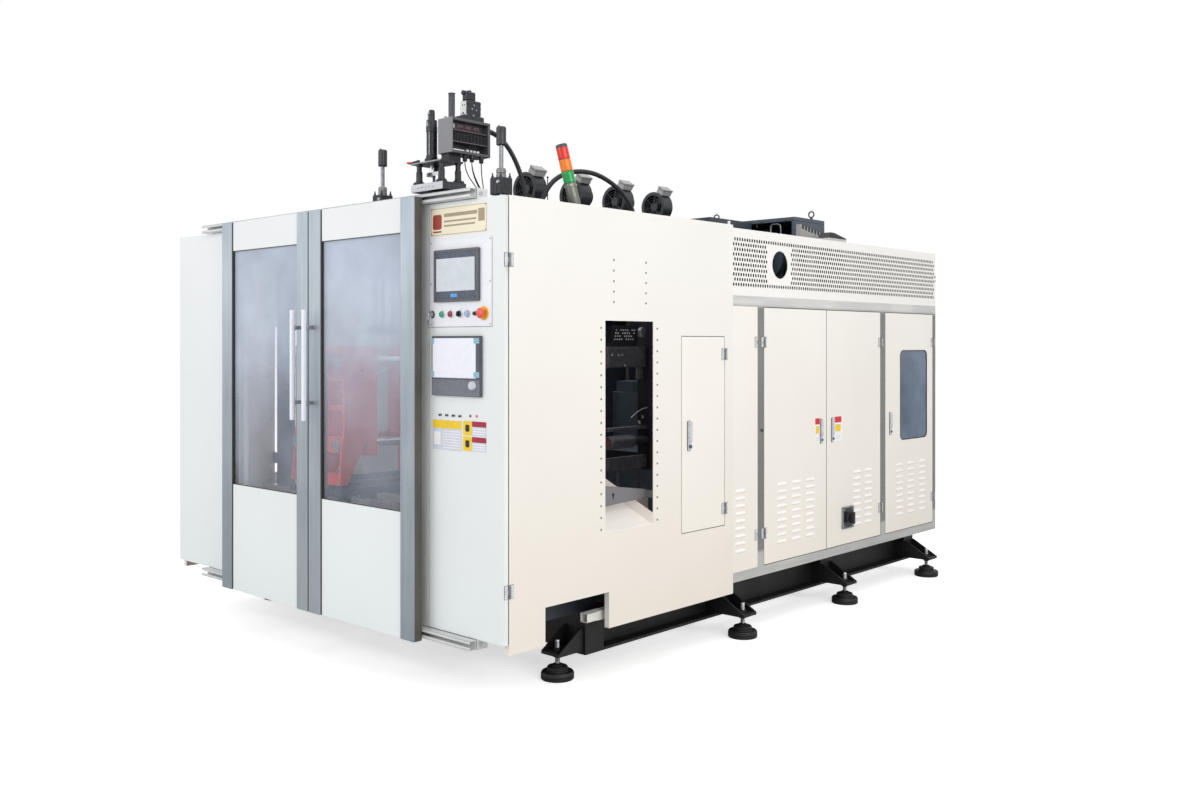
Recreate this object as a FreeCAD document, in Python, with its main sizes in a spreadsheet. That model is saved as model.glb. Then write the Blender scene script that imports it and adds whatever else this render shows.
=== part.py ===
import FreeCAD, Part
import math
import os
import Sketcher
from types import SimpleNamespace
from FreeCAD import Placement, Rotation, Vector

# Double-station extrusion blow moulding machine in its sheet-metal enclosure. Millimetres, +Z up.
# The sliding doors face -Y and the long service side faces +X. The origin lies on the floor, at the
# centre of the machine's outer box. Lengths measured from the front are taken from the face of the
# control door, and lengths measured from a side are taken from the outer face of the side covers.

SIZES = {
    # enclosure
    "machine_width": 2909, "machine_length": 4104, "cover_bottom": 250, "cover_top": 2245,
    "front_cover_length": 1671, "cover_depth": 30, "sheet": 3, "cabinet_recess": 12,
    "door_seam": 2,
    # base frame of two I-beams with box posts over the feet
    "base_bottom": 100, "base_top": 302, "beam_inset": 210, "beam_width": 150, "beam_flange": 14,
    "beam_web": 12, "base_front": 650, "box_post": 130, "cross_beam_width": 100,
    # levelling feet on gusseted brackets
    "side_foot_1": 1760, "side_foot_2": 2845, "rear_foot": 164, "front_foot": 535,
    "pad_radius": 80, "pad_height": 38, "pad_slope": 8, "pad_edge": 5, "pad_boss_radius": 50,
    "pad_boss_height": 24,
    "stud_radius": 12, "stud_clearance": 1, "stud_top": 186, "nut_radius": 20, "nut_height": 16,
    "bracket_plate": 15, "bracket_bottom": 118, "bracket_width": 120, "bracket_overhang": 50,
    "gusset": 10, "gusset_top": 232,
    # machine frame of square tube
    "tube": 80, "cover_rail": 43, "cover_rail_inset": 100, "cover_rail_length": 620, "frame_front": 260,
    "post_1": 560, "post_2": 1560, "rear_post": 144,
    "die_beam": 1010, "ring_bottom": 2150, "platform_cross": 1880, "platform_half": 240,
    "platform_front": 1100, "header_depth": 60, "header_plate": 20, "header_gap": 5, "rear_deck": 20,
    "deck_gap": 10,
    "hanger_near": 495, "hanger_far": 585, "hanger_depth": 50,
    "hanger_arm": 820, "arm_bottom": 1494, "arm_height": 110, "shelf_bottom": 890, "shelf_height": 92,
    "saddle": 40, "saddle_wall": 15, "saddle_foot": 12, "stand_place": 714, "stand_width": 60,
    "rear_box_bottom": 2250, "rear_box_width": 90, "rear_box_length": 250, "rear_box_height": 160,
    # sliding doors and their rails
    "rail_depth": 38, "rail_height": 43, "rail_left": 2568, "rail_right": 183, "rail_sheet": 3,
    "lower_rail_bottom": 250, "upper_rail_bottom": 2245, "roller_gap": 0.3, "roller_length": 30,
    "door_thickness": 44, "door_gap": 2, "door_right_edge": 515, "door_width": 868,
    "meeting_gap": 3, "door_bottom": 236, "door_top": 2276, "stile_width": 107,
    "pane_bottom": 821, "pane_top": 2116, "panel_setback": 8, "pane_setback": 10, "pane_thickness": 6,
    "handle_bottom": 1213, "handle_top": 1773, "handle_bar": 19, "handle_stand": 50,
    "handle_bracket": 90, "roller_inset": 60,
    # control column, its door and the fixed panel on the left
    "column_width": 620, "column_depth": 230, "control_door_width": 510, "column_door": 25,
    "column_bottom": 295,
    "column_top": 2228, "column_door_top": 2243, "left_panel_width": 750,
    # operator panel and switches, measured from the right side and from the floor
    "plate_right": 80, "plate_left": 505, "plate_bottom": 1678, "plate_top": 2071, "plate": 2,
    "screen_right": 154, "screen_width": 307, "screen_bottom": 1790, "screen_height": 236,
    "screen_depth": 14, "screen_frame": 16,
    "controller_right": 141, "controller_width": 333, "controller_bottom": 1366,
    "controller_height": 270, "controller_depth": 18, "knob_right": 184, "knob_height": 1416,
    "switch_row": 1735, "key_place": 485, "start_place": 412, "stop_place": 352,
    "selector_place": 290, "reset_place": 238, "emergency_place": 131, "stem_radius": 4,
    "stem_clearance": 0.05, "bezel_radius": 17, "bezel_depth": 6, "cap_radius": 13.5,
    "cap_depth": 8, "cap_gap": 0.5, "cap_stem": 12, "press_travel": 5, "press_clearance": 1,
    "mushroom_radius": 23, "guard_ring": 8, "guard_ring_depth": 3, "mushroom_neck": 12,
    "lever_half": 10, "lever_thick": 6, "key_half": 7, "key_thick": 2,
    "knob_radius": 20, "knob_depth": 15.5, "knob_gap": 0.5, "knob_stem": 22,
    "controller_edge": 12, "controller_keys": 80, "glass_depth": 3,
    # outlet window, hole columns and access door of the side cover
    "window_front": 645, "window_rear": 998, "window_bottom": 703, "window_top": 1711,
    "notch_front": 247, "notch_rear": 672, "notch_top": 422,
    "access_front": 1224, "access_rear": 1594, "access_bottom": 629, "access_top": 1639,
    "leaf_door": 22, "leaf_gap": 2, "lock_place": 1285, "lock_bottom": 1048, "lock_height": 156,
    "lock_width": 30, "lock_depth": 18,
    # service cabinet on each side
    "band_bottom": 302, "band_height": 52, "top_band_bottom": 1808, "top_band_height": 58,
    "cabinet_post": 60, "post_a": 1922, "rear_bay": 784, "end_post": 41,
    "frame_depth": 60, "rear_panel_depth": 8, "grip_height": 150, "grip_bottom": 1000,
    "grip_width": 24, "grip_depth": 16, "louvre_width": 97, "louvre_height": 16,
    "louvre_depth": 7, "louvre_pitch": 41, "louvre_bottom": 462, "louvre_rows": 9,
    "grip_place_1": 63, "grip_place_2": 66, "grip_place_3": 128, "sight_inset": 264,
    "sight_width": 390, "sight_bottom": 956, "sight_top": 1558,
    "switch_inset": 176, "switch_width": 130, "switch_bottom": 454, "switch_height": 135,
    "guard_bottom": 1866, "guard_top": 2232, "guard_depth": 27, "vent_place": 2144,
    "vent_height": 2052, "vent_radius": 80, "guard_hole": 24,
    # surface hinges
    "hinge_height": 57, "knuckle_radius": 6, "hinge_pin": 3, "hinge_leaf": 3, "leaf_width": 19,
    "leaf_start": 7, "curl_start": 3, "curl_end": 8, "curl_gap": 0.25,
    "control_hinge_low": 527, "control_hinge_high": 1965,
    "access_hinge_low": 720, "access_hinge_high": 1546,
    "service_hinge_low": 535, "service_hinge_high": 1610,
    # extruder
    "die_place": 822, "extruder_height": 2300, "barrel_radius": 55, "barrel_bore": 32.5,
    "barrel_flange": 85, "screw_core": 24, "drive_reach": 444, "gearbox_length": 510,
    "gearbox_half": 190, "gearbox_top": 2510, "throat_length": 190, "throat_half": 100,
    "throat_top": 2440, "throat_hole": 35, "hopper_bolt": 5, "hopper_spacing": 150,
    "cooling_front": 1545, "throat_gap": 14, "cooling_radius": 125, "cooling_gap": 82,
    "cooling_sheet": 3, "duct_half": 50, "duct_top": 2440,
    "blower_height": 2560, "blower_radius": 104, "blower_depth": 96, "blower_wall": 6,
    "inlet_radius": 79, "inlet_ring": 8, "blower_motor_radius": 60, "blower_motor_length": 62,
    "fan_radius": 70, "fan_disc": 6, "fan_hub": 32,
    "box_length": 100, "box_width": 62, "box_height": 45,
    "hood_right": 555, "hood_length": 408, "hood_setback": 8, "hood_top": 2530, "hood_plate": 30,
    "hood_box_width": 45, "hood_box_bottom": 2345, "hood_box_front": 130, "hood_box_rear": 70,
    "motor_place": 277, "motor_radius": 150, "eye_radius": 22, "eye_bar": 5, "eye_shank": 9, "eye_rise": 14,
    # die head
    "head_radius": 110, "head_bottom": 1980, "head_top": 2400, "head_bore": 32,
    "neck_radius": 60, "plate_1_bottom": 2469, "plate_1_height": 45, "plate_1_half": 142,
    "plate_1_depth": 174, "plate_2_bottom": 2630, "plate_2_height": 10, "column_radius": 17,
    "column_place": 100,
    "column_offset": 60, "port": 16, "piston_rod": 12,
    "mandrel_radius": 20, "parison_offset": 62, "parison_radius": 33,
    "parison_top": 2890, "parison_neck": 18, "parison_neck_top": 2949,
    "manifold_left": 33, "manifold_width": 121, "manifold_front": 789, "manifold_length": 292,
    "manifold_bottom": 2680, "manifold_top": 2880, "valve_top": 3065, "duct_depth": 60,
    # stations: blow units and clamps
    "station": 531, "cylinder_half": 44, "cylinder_bottom": 2250, "cylinder_top": 2498,
    "rod_radius": 12, "stop_bottom": 2675, "stop_top": 2775, "stop_radius": 27,
    "collar_top": 2550, "collar_radius": 27, "guide_radius": 15, "guide_half": 85,
    "guide_block_bottom": 2000, "guide_block_top": 2130, "guide_rod_top": 2350,
    "crosshead_bottom": 1660, "crosshead_height": 55, "pin_radius": 14, "pin_bottom": 1640,
    "running_clearance": 0.05,
    "bed_height": 700, "rail_front": 430, "rail_rear": 1230, "slide_rail_width": 40,
    "slide_rail_height": 40, "carriage_half": 250, "carriage_front": 340, "carriage_rear": 1330,
    "carriage_plate": 40, "lane_width": 40, "lane_height": 25, "shoe_length": 90, "shoe_wall": 15,
    "platen_half": 250, "platen_back": 377, "platen_web": 532,
    "platen_face": 600, "platen_top": 1589, "mould_plate_bottom": 960, "platen_knee": 1060,
    "platen_rib": 24, "platen_edge": 20, "bolt_half": 120, "bolt_radius": 7, "bolt_depth": 30,
    "bar_radius": 25, "nut_wall": 12, "bar_half": 200, "bar_low": 1030, "bar_high": 1500,
    "rear_platen": 110,
    "rear_crosshead_front": 1240, "rear_crosshead": 70, "clamp_radius": 70, "clamp_length": 230,
    "clamp_rod": 30,
    # discharge chute
    "chute_inner": 420, "chute_rise": 200, "chute_cheek": 60, "chute_gap": 0.3,
    # hydraulic unit
    "tank_left": -700, "tank_width": 1100, "tank_length": 1000, "tank_height": 500, "tank_lid": 12,
    "tank_gap": 460, "pump_motor_radius": 140, "pump_motor_height": 380, "pump_half": 80,
    "filter_radius": 60, "filter_height": 160,
    # signal tower
    "tower_right": 105, "tower_place": 548, "tower_radius": 29, "tower_lean": 13,
    "tower_base_height": 105, "lens_height": 58, "tower_cap": 18,
    # conduits and hose
    "conduit_radius": 15, "hose_radius": 6,
}

doc = FreeCAD.newDocument("blow_moulding_machine")
sheet = doc.addObject("Spreadsheet::Sheet", "Sizes")
for row, (size_name, size_value) in enumerate(SIZES.items(), start=1):
    sheet.set(f"A{row}", size_name)
    sheet.set(f"B{row}", str(size_value))
    sheet.setAlias(f"B{row}", size_name)
doc.recompute()


class Size:
    """A length that follows the sheet: its value now, and the expression that keeps it true."""

    def __init__(self, text, value):
        self.text, self.value = text, value

    def join(self, sign, other, value, swap=False):
        left, right = (other, self) if swap else (self, other)
        return Size(f"({left.text} {sign} {right.text})", value)

    def __add__(self, other):
        other = sized(other)
        return self.join("+", other, self.value + other.value)

    def __sub__(self, other):
        other = sized(other)
        return self.join("-", other, self.value - other.value)

    def __rsub__(self, other):
        other = sized(other)
        return self.join("-", other, other.value - self.value, swap=True)

    def __mul__(self, other):
        other = sized(other)
        return self.join("*", other, self.value * other.value)

    def __truediv__(self, other):
        other = sized(other)
        return self.join("/", other, self.value / other.value)

    def __neg__(self):
        return Size(f"(0 - {self.text})", -self.value)

    __radd__, __rmul__ = __add__, __mul__


def sized(value):
    return value if isinstance(value, Size) else Size(f"({value})", value)


def number(value):
    return value.value if isinstance(value, Size) else value


S = SimpleNamespace(**{n: Size(f"Sizes.{n}", sheet.get(n)) for n in SIZES})

# the main planes, in the machine's own frame
right = S.machine_width / 2
left = -right
door_reach = S.rail_depth + S.door_gap + S.door_thickness
front_reach = door_reach + S.handle_stand + S.handle_bar
front = (front_reach - S.machine_length) / 2
back = front + S.machine_length
cabinet_face = right - S.cabinet_recess
cover_back = right - S.cover_depth
die_y = front + S.die_place

# places that follow the machine's length, measured from the front
side_foot_3 = S.machine_length - S.rear_foot
post_3 = S.machine_length - S.rear_post
post_b = S.machine_length - S.rear_bay
door_split = (S.post_a + S.cabinet_post + post_b) / 2
gearbox_rear = S.machine_length - S.drive_reach
gearbox_front = gearbox_rear - S.gearbox_length
hood_rear = S.machine_length - S.hood_setback
hood_front = hood_rear - S.hood_length
cooling_rear = gearbox_front - S.throat_length - S.throat_gap
cooling_pitch = (cooling_rear - S.cooling_front + S.cooling_gap / 2) / 3.5
cooling_length = cooling_pitch - S.cooling_gap

counter = {}


def add(kind, name):
    counter[name] = counter.get(name, 0) + 1
    return doc.addObject(kind, f"{name}_{counter[name]}")


def bind(thing, name, value):
    if isinstance(value, Size):
        thing.setExpression(name, value.text)
    else:
        setattr(thing, name, value)


def place(thing, at, rotation=None):
    thing.Placement = Placement(Vector(*map(number, at)), rotation or Rotation())
    for axis, value in zip("xyz", at):
        if isinstance(value, Size):
            thing.setExpression(f"Placement.Base.{axis}", value.text)
    return thing


AXES = {
    "x": Rotation(Vector(0, 1, 0), 90),
    "y": Rotation(Vector(1, 0, 0), -90),
    "z": Rotation(),
}


def box(at, size):
    thing = add("Part::Box", "block")
    for name, value in zip(("Length", "Width", "Height"), size):
        bind(thing, name, value)
    return place(thing, at)


def rod(at, radius, length, axis="z"):
    thing = add("Part::Cylinder", "rod")
    bind(thing, "Radius", radius)
    bind(thing, "Height", length)
    return place(thing, at, AXES[axis])


def cone(at, radius_1, radius_2, length, axis="z"):
    thing = add("Part::Cone", "cone")
    bind(thing, "Radius1", radius_1)
    bind(thing, "Radius2", radius_2)
    bind(thing, "Height", length)
    return place(thing, at, AXES[axis])


def fuse(*things):
    if len(things) == 1:
        return things[0]
    thing = add("Part::MultiFuse", "fused")
    thing.Shapes = list(things)
    return thing


def cut(base, *tools):
    thing = add("Part::Cut", "cut")
    thing.Base = base
    thing.Tool = fuse(*tools)
    return thing


def group(*things):
    thing = add("Part::Compound", "group")
    thing.Links = list(things)
    return thing


def mirrored(source):
    """The same piece on the other side of the machine's long middle plane."""
    thing = add("Part::Mirroring", "mirrored")
    thing.Source = source
    thing.Base, thing.Normal = Vector(), Vector(1, 0, 0)
    return thing


def hold(sketch, point, value, kind):
    """Fix one coordinate of a sketch point from the sketch's origin."""
    index = sketch.addConstraint(Sketcher.Constraint(kind, -1, 1, *point, number(value)))
    if isinstance(value, Size):
        sketch.setExpression(f"Constraints[{index}]", value.text)


def outline(sketch, points):
    """A closed outline of straight edges, every corner held from the origin."""
    first = sketch.GeometryCount
    corners = [Vector(number(x), number(y), 0) for x, y in points]
    count = len(points)
    for i in range(count):
        sketch.addGeometry(Part.LineSegment(corners[i], corners[(i + 1) % count]), False)
    for i in range(count):
        after = first + (i + 1) % count
        sketch.addConstraint(Sketcher.Constraint("Coincident", first + i, 2, after, 1))
    for i, (x, y) in enumerate(points):
        hold(sketch, (first + i, 1), x, "DistanceX")
        hold(sketch, (first + i, 1), y, "DistanceY")


def ring(sketch, x, y, radius):
    """A round hole in a sketch, its centre held from the origin."""
    centre = Vector(number(x), number(y), 0)
    index = sketch.addGeometry(Part.Circle(centre, Vector(0, 0, 1), number(radius)), False)
    hold(sketch, (index, 3), x, "DistanceX")
    hold(sketch, (index, 3), y, "DistanceY")
    at = sketch.addConstraint(Sketcher.Constraint("Radius", index, number(radius)))
    if isinstance(radius, Size):
        sketch.setExpression(f"Constraints[{at}]", radius.text)


def sketch_in(body, plane):
    sketch = body.newObject("Sketcher::SketchObject", f"{body.Name}_sketch")
    features = body.Origin.OriginFeatures
    sketch.AttachmentSupport = [next(f for f in features if f.Role == f"{plane}_Plane"), ""]
    sketch.MapMode = "FlatFace"
    return sketch


def padded(plane, points, length, at=(0, 0, 0), circles=(), backwards=False):
    """A profile drawn on one of the three planes and drawn out square to it."""
    body = add("PartDesign::Body", "profile")
    sketch = sketch_in(body, plane)
    outline(sketch, points)
    for circle in circles:
        ring(sketch, *circle)
    pad = body.newObject("PartDesign::Pad", f"{body.Name}_pad")
    pad.Profile = sketch
    bind(pad, "Length", length)
    pad.Reversed = backwards
    return place(body, at)


def turned(points, at, axis="z"):
    """A turned piece: a profile of (radius, height) points revolved about its own axis."""
    body = add("PartDesign::Body", "turned")
    sketch = sketch_in(body, "XZ")
    outline(sketch, points)
    turn = body.newObject("PartDesign::Revolution", f"{body.Name}_turn")
    turn.Profile = sketch
    turn.ReferenceAxis = (sketch, ["V_Axis"])
    turn.Angle = 360
    return place(body, at, AXES[axis])


parts = {}


def keep(label, thing):
    thing.Label = label
    parts[label] = thing
    return thing


def tray(at, size, wall, open_side):
    """A folded sheet tray: a box of thin walls with one side open, given as '+x', '-y' and so on."""
    inner_at, inner_size = [], []
    for axis, start, length in zip("xyz", at, size):
        low = 0 if open_side == f"-{axis}" else wall
        high = 0 if open_side == f"+{axis}" else wall
        inner_at.append(start + low)
        inner_size.append(length - low - high)
    return cut(box(at, size), box(inner_at, inner_size))


def span(low, high):
    return high - low


# ---------------------------------------------------------------- base frame and feet
def base_side():
    """One I-beam with its box posts, and the foot brackets that stand out from it, on the right."""
    centre = right - S.beam_inset
    start = front + S.base_front
    half = S.beam_width / 2
    height = S.base_top - S.base_bottom
    web = S.beam_web / 2
    low, high = S.beam_flange, height - S.beam_flange
    section = [(-half, 0), (half, 0), (half, low), (web, low), (web, high), (half, high),
               (half, height), (-half, height), (-half, high), (-web, high), (-web, low), (-half, low)]
    beam = padded("XZ", section, back - start, (centre, back, S.base_bottom))
    posts = [box((centre - half, start, S.base_bottom), (S.beam_width, S.box_post, height))]
    brackets = []
    outer = centre + half
    reach = right + S.bracket_overhang - outer
    plate_top = S.bracket_bottom + S.bracket_plate
    rise = S.gusset_top - plate_top
    tip = S.gusset + 2
    for foot in (S.side_foot_1, S.side_foot_2, side_foot_3):
        y = front + foot
        posts.append(box((centre - half, y - S.box_post / 2, S.base_bottom),
                         (S.beam_width, S.box_post, height)))
        low_y = y - S.bracket_width / 2
        plate = box((outer, low_y, S.bracket_bottom), (reach, S.bracket_width, S.bracket_plate))
        hole = rod((right, y, S.bracket_bottom), S.stud_radius + S.stud_clearance, S.bracket_plate)
        profile = [(0, 0), (reach, 0), (tip, rise), (0, rise)]
        gussets = [padded("XZ", profile, S.gusset, (outer, side, plate_top))
                   for side in (low_y + S.gusset, low_y + S.bracket_width)]
        brackets.append(fuse(cut(plate, hole), *gussets))
    reach = S.base_front - S.front_foot + S.bracket_overhang
    low_x = centre - S.bracket_width / 2
    plate = box((low_x, start - reach, S.bracket_bottom), (S.bracket_width, reach, S.bracket_plate))
    hole = rod((centre, front + S.front_foot, S.bracket_bottom), S.stud_radius + S.stud_clearance,
               S.bracket_plate)
    profile = [(0, 0), (0, rise), (-tip, rise), (-reach, 0)]
    gussets = [padded("YZ", profile, S.gusset, (side, start, plate_top))
               for side in (low_x, low_x + S.bracket_width - S.gusset)]
    brackets.append(fuse(cut(plate, hole), *gussets))
    return [fuse(beam, *posts), *brackets]


def base_frame():
    side = base_side()
    inner = right - S.beam_inset - S.beam_width / 2
    crosses = [
        box((-inner, front + y, S.base_bottom + S.beam_flange),
            (inner * 2, S.cross_beam_width, S.base_top - S.base_bottom - S.beam_flange * 2))
        for y in (S.base_front, S.side_foot_1 - S.box_post / 2, S.side_foot_2 - S.box_post / 2,
                  side_foot_3 - S.box_post / 2)
    ]
    return group(*side, *[mirrored(piece) for piece in side], *crosses)


keep("base_frame", base_frame())


def hexagon(radius):
    low = radius * 0.866
    return [(radius, 0), (radius / 2, low), (-radius / 2, low), (-radius, 0), (-radius / 2, -low),
            (radius / 2, -low)]


def levelling_feet():
    pieces = []
    pad_top = S.pad_height + S.pad_boss_height
    centre = right - S.beam_inset
    spots = [(right, foot) for foot in (S.side_foot_1, S.side_foot_2, side_foot_3)]
    spots.append((centre, S.front_foot))
    for x, y in spots:
        at = (x, front + y, 0)
        profile = [(0, 0), (S.pad_radius, 0), (S.pad_radius, S.pad_height - S.pad_slope),
                   (S.pad_radius - S.pad_edge, S.pad_height),
                   (S.pad_boss_radius, S.pad_height), (S.pad_boss_radius, pad_top), (0, pad_top)]
        pad = turned(profile, at)
        low_nut = S.bracket_bottom - S.nut_height
        high_nut = S.bracket_bottom + S.bracket_plate
        pieces.append(fuse(
            pad, rod((x, front + y, pad_top), S.stud_radius, S.stud_top - pad_top),
            padded("XY", hexagon(S.nut_radius), S.nut_height, (x, front + y, low_nut)),
            padded("XY", hexagon(S.nut_radius), S.nut_height, (x, front + y, high_nut))))
    return group(*pieces, *[mirrored(piece) for piece in pieces])


keep("levelling_feet", levelling_feet())


# ---------------------------------------------------------------- machine frame
def cover_rail():
    """A light square tube behind the side cover's lower edge, on two blocks off the base frame."""
    beam_edge = right - S.beam_inset + S.beam_width / 2
    x = right - S.cover_rail_inset
    low = S.base_top - S.beam_flange / 2 * 3
    rail = box((x, front + S.base_front, low), (S.cover_rail, S.cover_rail_length, S.cover_rail))
    hollow = box((x + S.sheet, front + S.base_front, low + S.sheet),
                 (S.cover_rail - S.sheet * 2, S.cover_rail_length, S.cover_rail - S.sheet * 2))
    blocks = [box((beam_edge, front + S.base_front + along, low), (x - beam_edge, S.tube, S.base_top - low))
              for along in (S.box_post - S.tube, S.cover_rail_length - S.tube * 2)]
    return [cut(rail, hollow), *blocks]


def hanger():
    """A channel that hangs from the cross tube behind the clamps, with an arm and a low shelf beam."""
    y = front + S.post_2
    wall = S.sheet
    low = S.shelf_bottom
    channel = tray((right - S.hanger_far, y, low),
                   (S.hanger_far - S.hanger_near, S.hanger_depth, S.platform_cross - low), wall, "+y")
    reach = S.hanger_arm - S.hanger_far
    arms = [box((right - S.hanger_arm, y, z), (reach, wall * 2, height))
            for z, height in ((S.arm_bottom, S.arm_height), (S.shelf_bottom, S.shelf_height))]
    return fuse(channel, *arms)


def machine_frame():
    """Square tubes that butt against each other, and what they carry: headers, deck and saddles."""
    t = S.tube
    inner = right - S.beam_inset - t / 2
    outer = cover_back - t
    lower = S.base_top
    lower_top = lower + t
    ring_top = S.ring_bottom + t
    bed_low = S.bed_height - t
    deck = S.platform_cross + t * 2

    def along_y(x, y0, y1, z):
        return box((x, front + y0, z), (t, y1 - y0, t))

    def upright(x, y, z0, z1):
        return box((x, front + y, z0), (t, t, z1 - z0))

    def across(x0, x1, y, z):
        return box((x0, front + y, z), (x1 - x0, t, t))

    bed_places = (S.rail_front - t / 2, S.rail_rear - t / 2)
    lower_end = S.rail_rear + t / 2
    side = [
        along_y(inner, S.frame_front, lower_end, lower),
        along_y(outer, S.frame_front, S.post_2 + t, S.ring_bottom),
        upright(inner, S.post_1, lower_top, S.ring_bottom),
        upright(inner, S.post_2, lower, S.ring_bottom),
        upright(inner, post_3, lower, S.platform_cross),
        *cover_rail(),
        hanger(),
        across(inner, outer, S.post_2, S.ring_bottom),
        along_y(S.platform_half - t, S.platform_front, post_3 + t, S.platform_cross + t),
        *[upright(inner, y, lower_top, bed_low) for y in bed_places],
    ]
    middle = [
        *[across(-inner, inner, y, lower) for y in (S.frame_front, *bed_places)],
        *[across(-inner - t, inner + t, y, bed_low) for y in bed_places],
        *[upright(-t / 2, y, lower_top, bed_low) for y in bed_places],
        *[across(-outer, outer, y, S.ring_bottom) for y in (S.frame_front, S.post_1, S.die_beam)],
        across(-inner, inner, S.post_2, S.platform_cross),
        across(-inner - t, inner + t, post_3, S.platform_cross),
    ]
    # headers and brackets that carry the door rails
    rail_x = right - S.rail_left
    rail_length = S.rail_left - S.rail_right
    header_top = S.upper_rail_bottom + S.rail_height
    top_low = ring_top + S.header_plate
    low_high = S.column_bottom - S.header_gap
    middle += [
        box((rail_x, front, S.lower_rail_bottom), (rail_length, S.header_depth,
                                                   low_high - S.lower_rail_bottom)),
        box((rail_x, front, top_low), (rail_length, S.header_depth, header_top - top_low)),
    ]
    reach = S.frame_front + t - S.header_depth
    for x in (left + S.left_panel_width + t, -t / 2, right - S.column_width - t * 2):
        middle.append(box((x, front + S.header_depth, S.lower_rail_bottom),
                          (t, reach, lower - S.lower_rail_bottom)))
        middle.append(box((x, front + S.header_depth / 2, ring_top),
                          (t, reach + S.header_depth / 2, S.header_plate)))
    # rear deck for the drive with its prop, and the stand of the rear terminal box
    deck_front = gearbox_rear + S.deck_gap
    middle += [
        box((-S.platform_half, front + deck_front, deck),
            (S.platform_half + S.hood_right, hood_rear - deck_front, S.rear_deck)),
        upright(S.hood_right - t, post_3, S.platform_cross + t, deck),
        box((S.stand_place, front + post_3, S.platform_cross + t),
            (S.stand_width, S.stand_width, S.rear_box_bottom - S.platform_cross - t)),
    ]
    # saddles that hold the barrel between its cooling covers
    for index in (0, 2):
        y = front + S.cooling_front + cooling_pitch * (index + 0.5) - S.saddle / 2
        foot_top = deck + S.saddle_foot
        half = S.barrel_radius + S.saddle_wall
        block = box((-half, y, foot_top), (half * 2, S.saddle, S.extruder_height - foot_top))
        bore = rod((0, y, S.extruder_height), S.barrel_radius + S.roller_gap, S.saddle, "y")
        middle.append(cut(block, bore))
        middle.append(box((-S.platform_half, y, deck), (S.platform_half * 2, S.saddle, S.saddle_foot)))
    return group(*side, *[mirrored(piece) for piece in side], *middle)


keep("machine_frame", machine_frame())


# ---------------------------------------------------------------- side covers and access door
def side_cover(with_access):
    start = front + S.column_door + S.door_seam
    size = (S.cover_depth, front + S.front_cover_length - start, S.cover_top - S.cover_bottom)
    body = tray((cover_back, start, S.cover_bottom), size, S.sheet, "-x")
    deep = S.cover_depth + 2
    holes = [
        box((cover_back - 1, front + S.window_front, S.window_bottom),
            (deep, span(S.window_front, S.window_rear), span(S.window_bottom, S.window_top))),
        box((cover_back - 1, front + S.notch_front, S.cover_bottom - 1),
            (deep, span(S.notch_front, S.notch_rear), span(S.cover_bottom, S.notch_top) + 1)),
    ]
    if with_access:
        gap = S.leaf_gap
        holes.append(box((right - S.sheet - 1, front + S.access_front - gap, S.access_bottom - gap),
                         (S.sheet + 2, span(S.access_front, S.access_rear) + gap * 2,
                          span(S.access_bottom, S.access_top) + gap * 2)))
    return cut(body, *holes)


keep("right_side_cover", side_cover(True))
keep("left_side_cover", mirrored(side_cover(False)))


# Surface hinges on the right side. 'way' is +1 where the moving leaf points to +Y, else -1.
def hinge_box(axis_y, way, near, far, x, depth, z, height):
    y = axis_y + near if way > 0 else axis_y - far
    return box((x, y, z), (depth, far - near, height))


def fixed_hinge(face, axis_y, middle, way):
    low = middle - S.hinge_height / 2
    third = S.hinge_height / 3
    x = face + S.knuckle_radius + S.roller_gap
    far = S.leaf_width + S.leaf_start
    pieces = [hinge_box(axis_y, -way, S.leaf_start, far, face, S.hinge_leaf, low, S.hinge_height)]
    for z in (low, low + third * 2):
        pieces.append(hinge_box(axis_y, -way, S.curl_start, S.curl_end, face + S.roller_gap,
                                S.hinge_leaf - S.roller_gap, z, third))
        pieces.append(rod((x, axis_y, z), S.knuckle_radius, third))
    pieces.append(rod((x, axis_y, low), S.hinge_pin, S.hinge_height))
    return fuse(*pieces)


def moving_hinge(face, axis_y, middle, way):
    low = middle - S.hinge_height / 2
    third = S.hinge_height / 3
    x = face + S.knuckle_radius + S.roller_gap
    far = S.leaf_width + S.leaf_start
    z = low + third + S.curl_gap
    height = third - S.curl_gap * 2
    leaf = fuse(
        hinge_box(axis_y, way, S.leaf_start, far, face, S.hinge_leaf, low, S.hinge_height),
        hinge_box(axis_y, way, S.curl_start, S.curl_end, face + S.roller_gap, S.hinge_leaf - S.roller_gap,
                  z, height),
        rod((x, axis_y, z), S.knuckle_radius, height))
    return cut(leaf, rod((x, axis_y, z), S.hinge_pin + S.running_clearance, height))


access_seam = front + S.access_rear + S.leaf_gap / 2
control_seam = front + S.column_door + S.door_seam / 2
door_1_seam = front + S.post_a + S.cabinet_post + S.leaf_gap / 2
door_2_seam = front + post_b - S.leaf_gap / 2
door_3_seam = back - S.end_post - S.leaf_gap / 2
service_heights = (S.service_hinge_low, S.service_hinge_high)
HINGES = {
    "control": (right, control_seam, (S.control_hinge_low, S.control_hinge_high), -1),
    "access": (right, access_seam, (S.access_hinge_low, S.access_hinge_high), -1),
    "door_1": (cabinet_face, door_1_seam, service_heights, 1),
    "door_2": (cabinet_face, door_2_seam, service_heights, -1),
    "door_3": (cabinet_face, door_3_seam, service_heights, -1),
}
keep("door_hinges", group(*[
    fixed_hinge(face, axis_y, z, way)
    for face, axis_y, heights, way in HINGES.values() for z in heights]))


def moving_leaves(name):
    face, axis_y, heights, way = HINGES[name]
    return [moving_hinge(face, axis_y, z, way) for z in heights]


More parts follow.
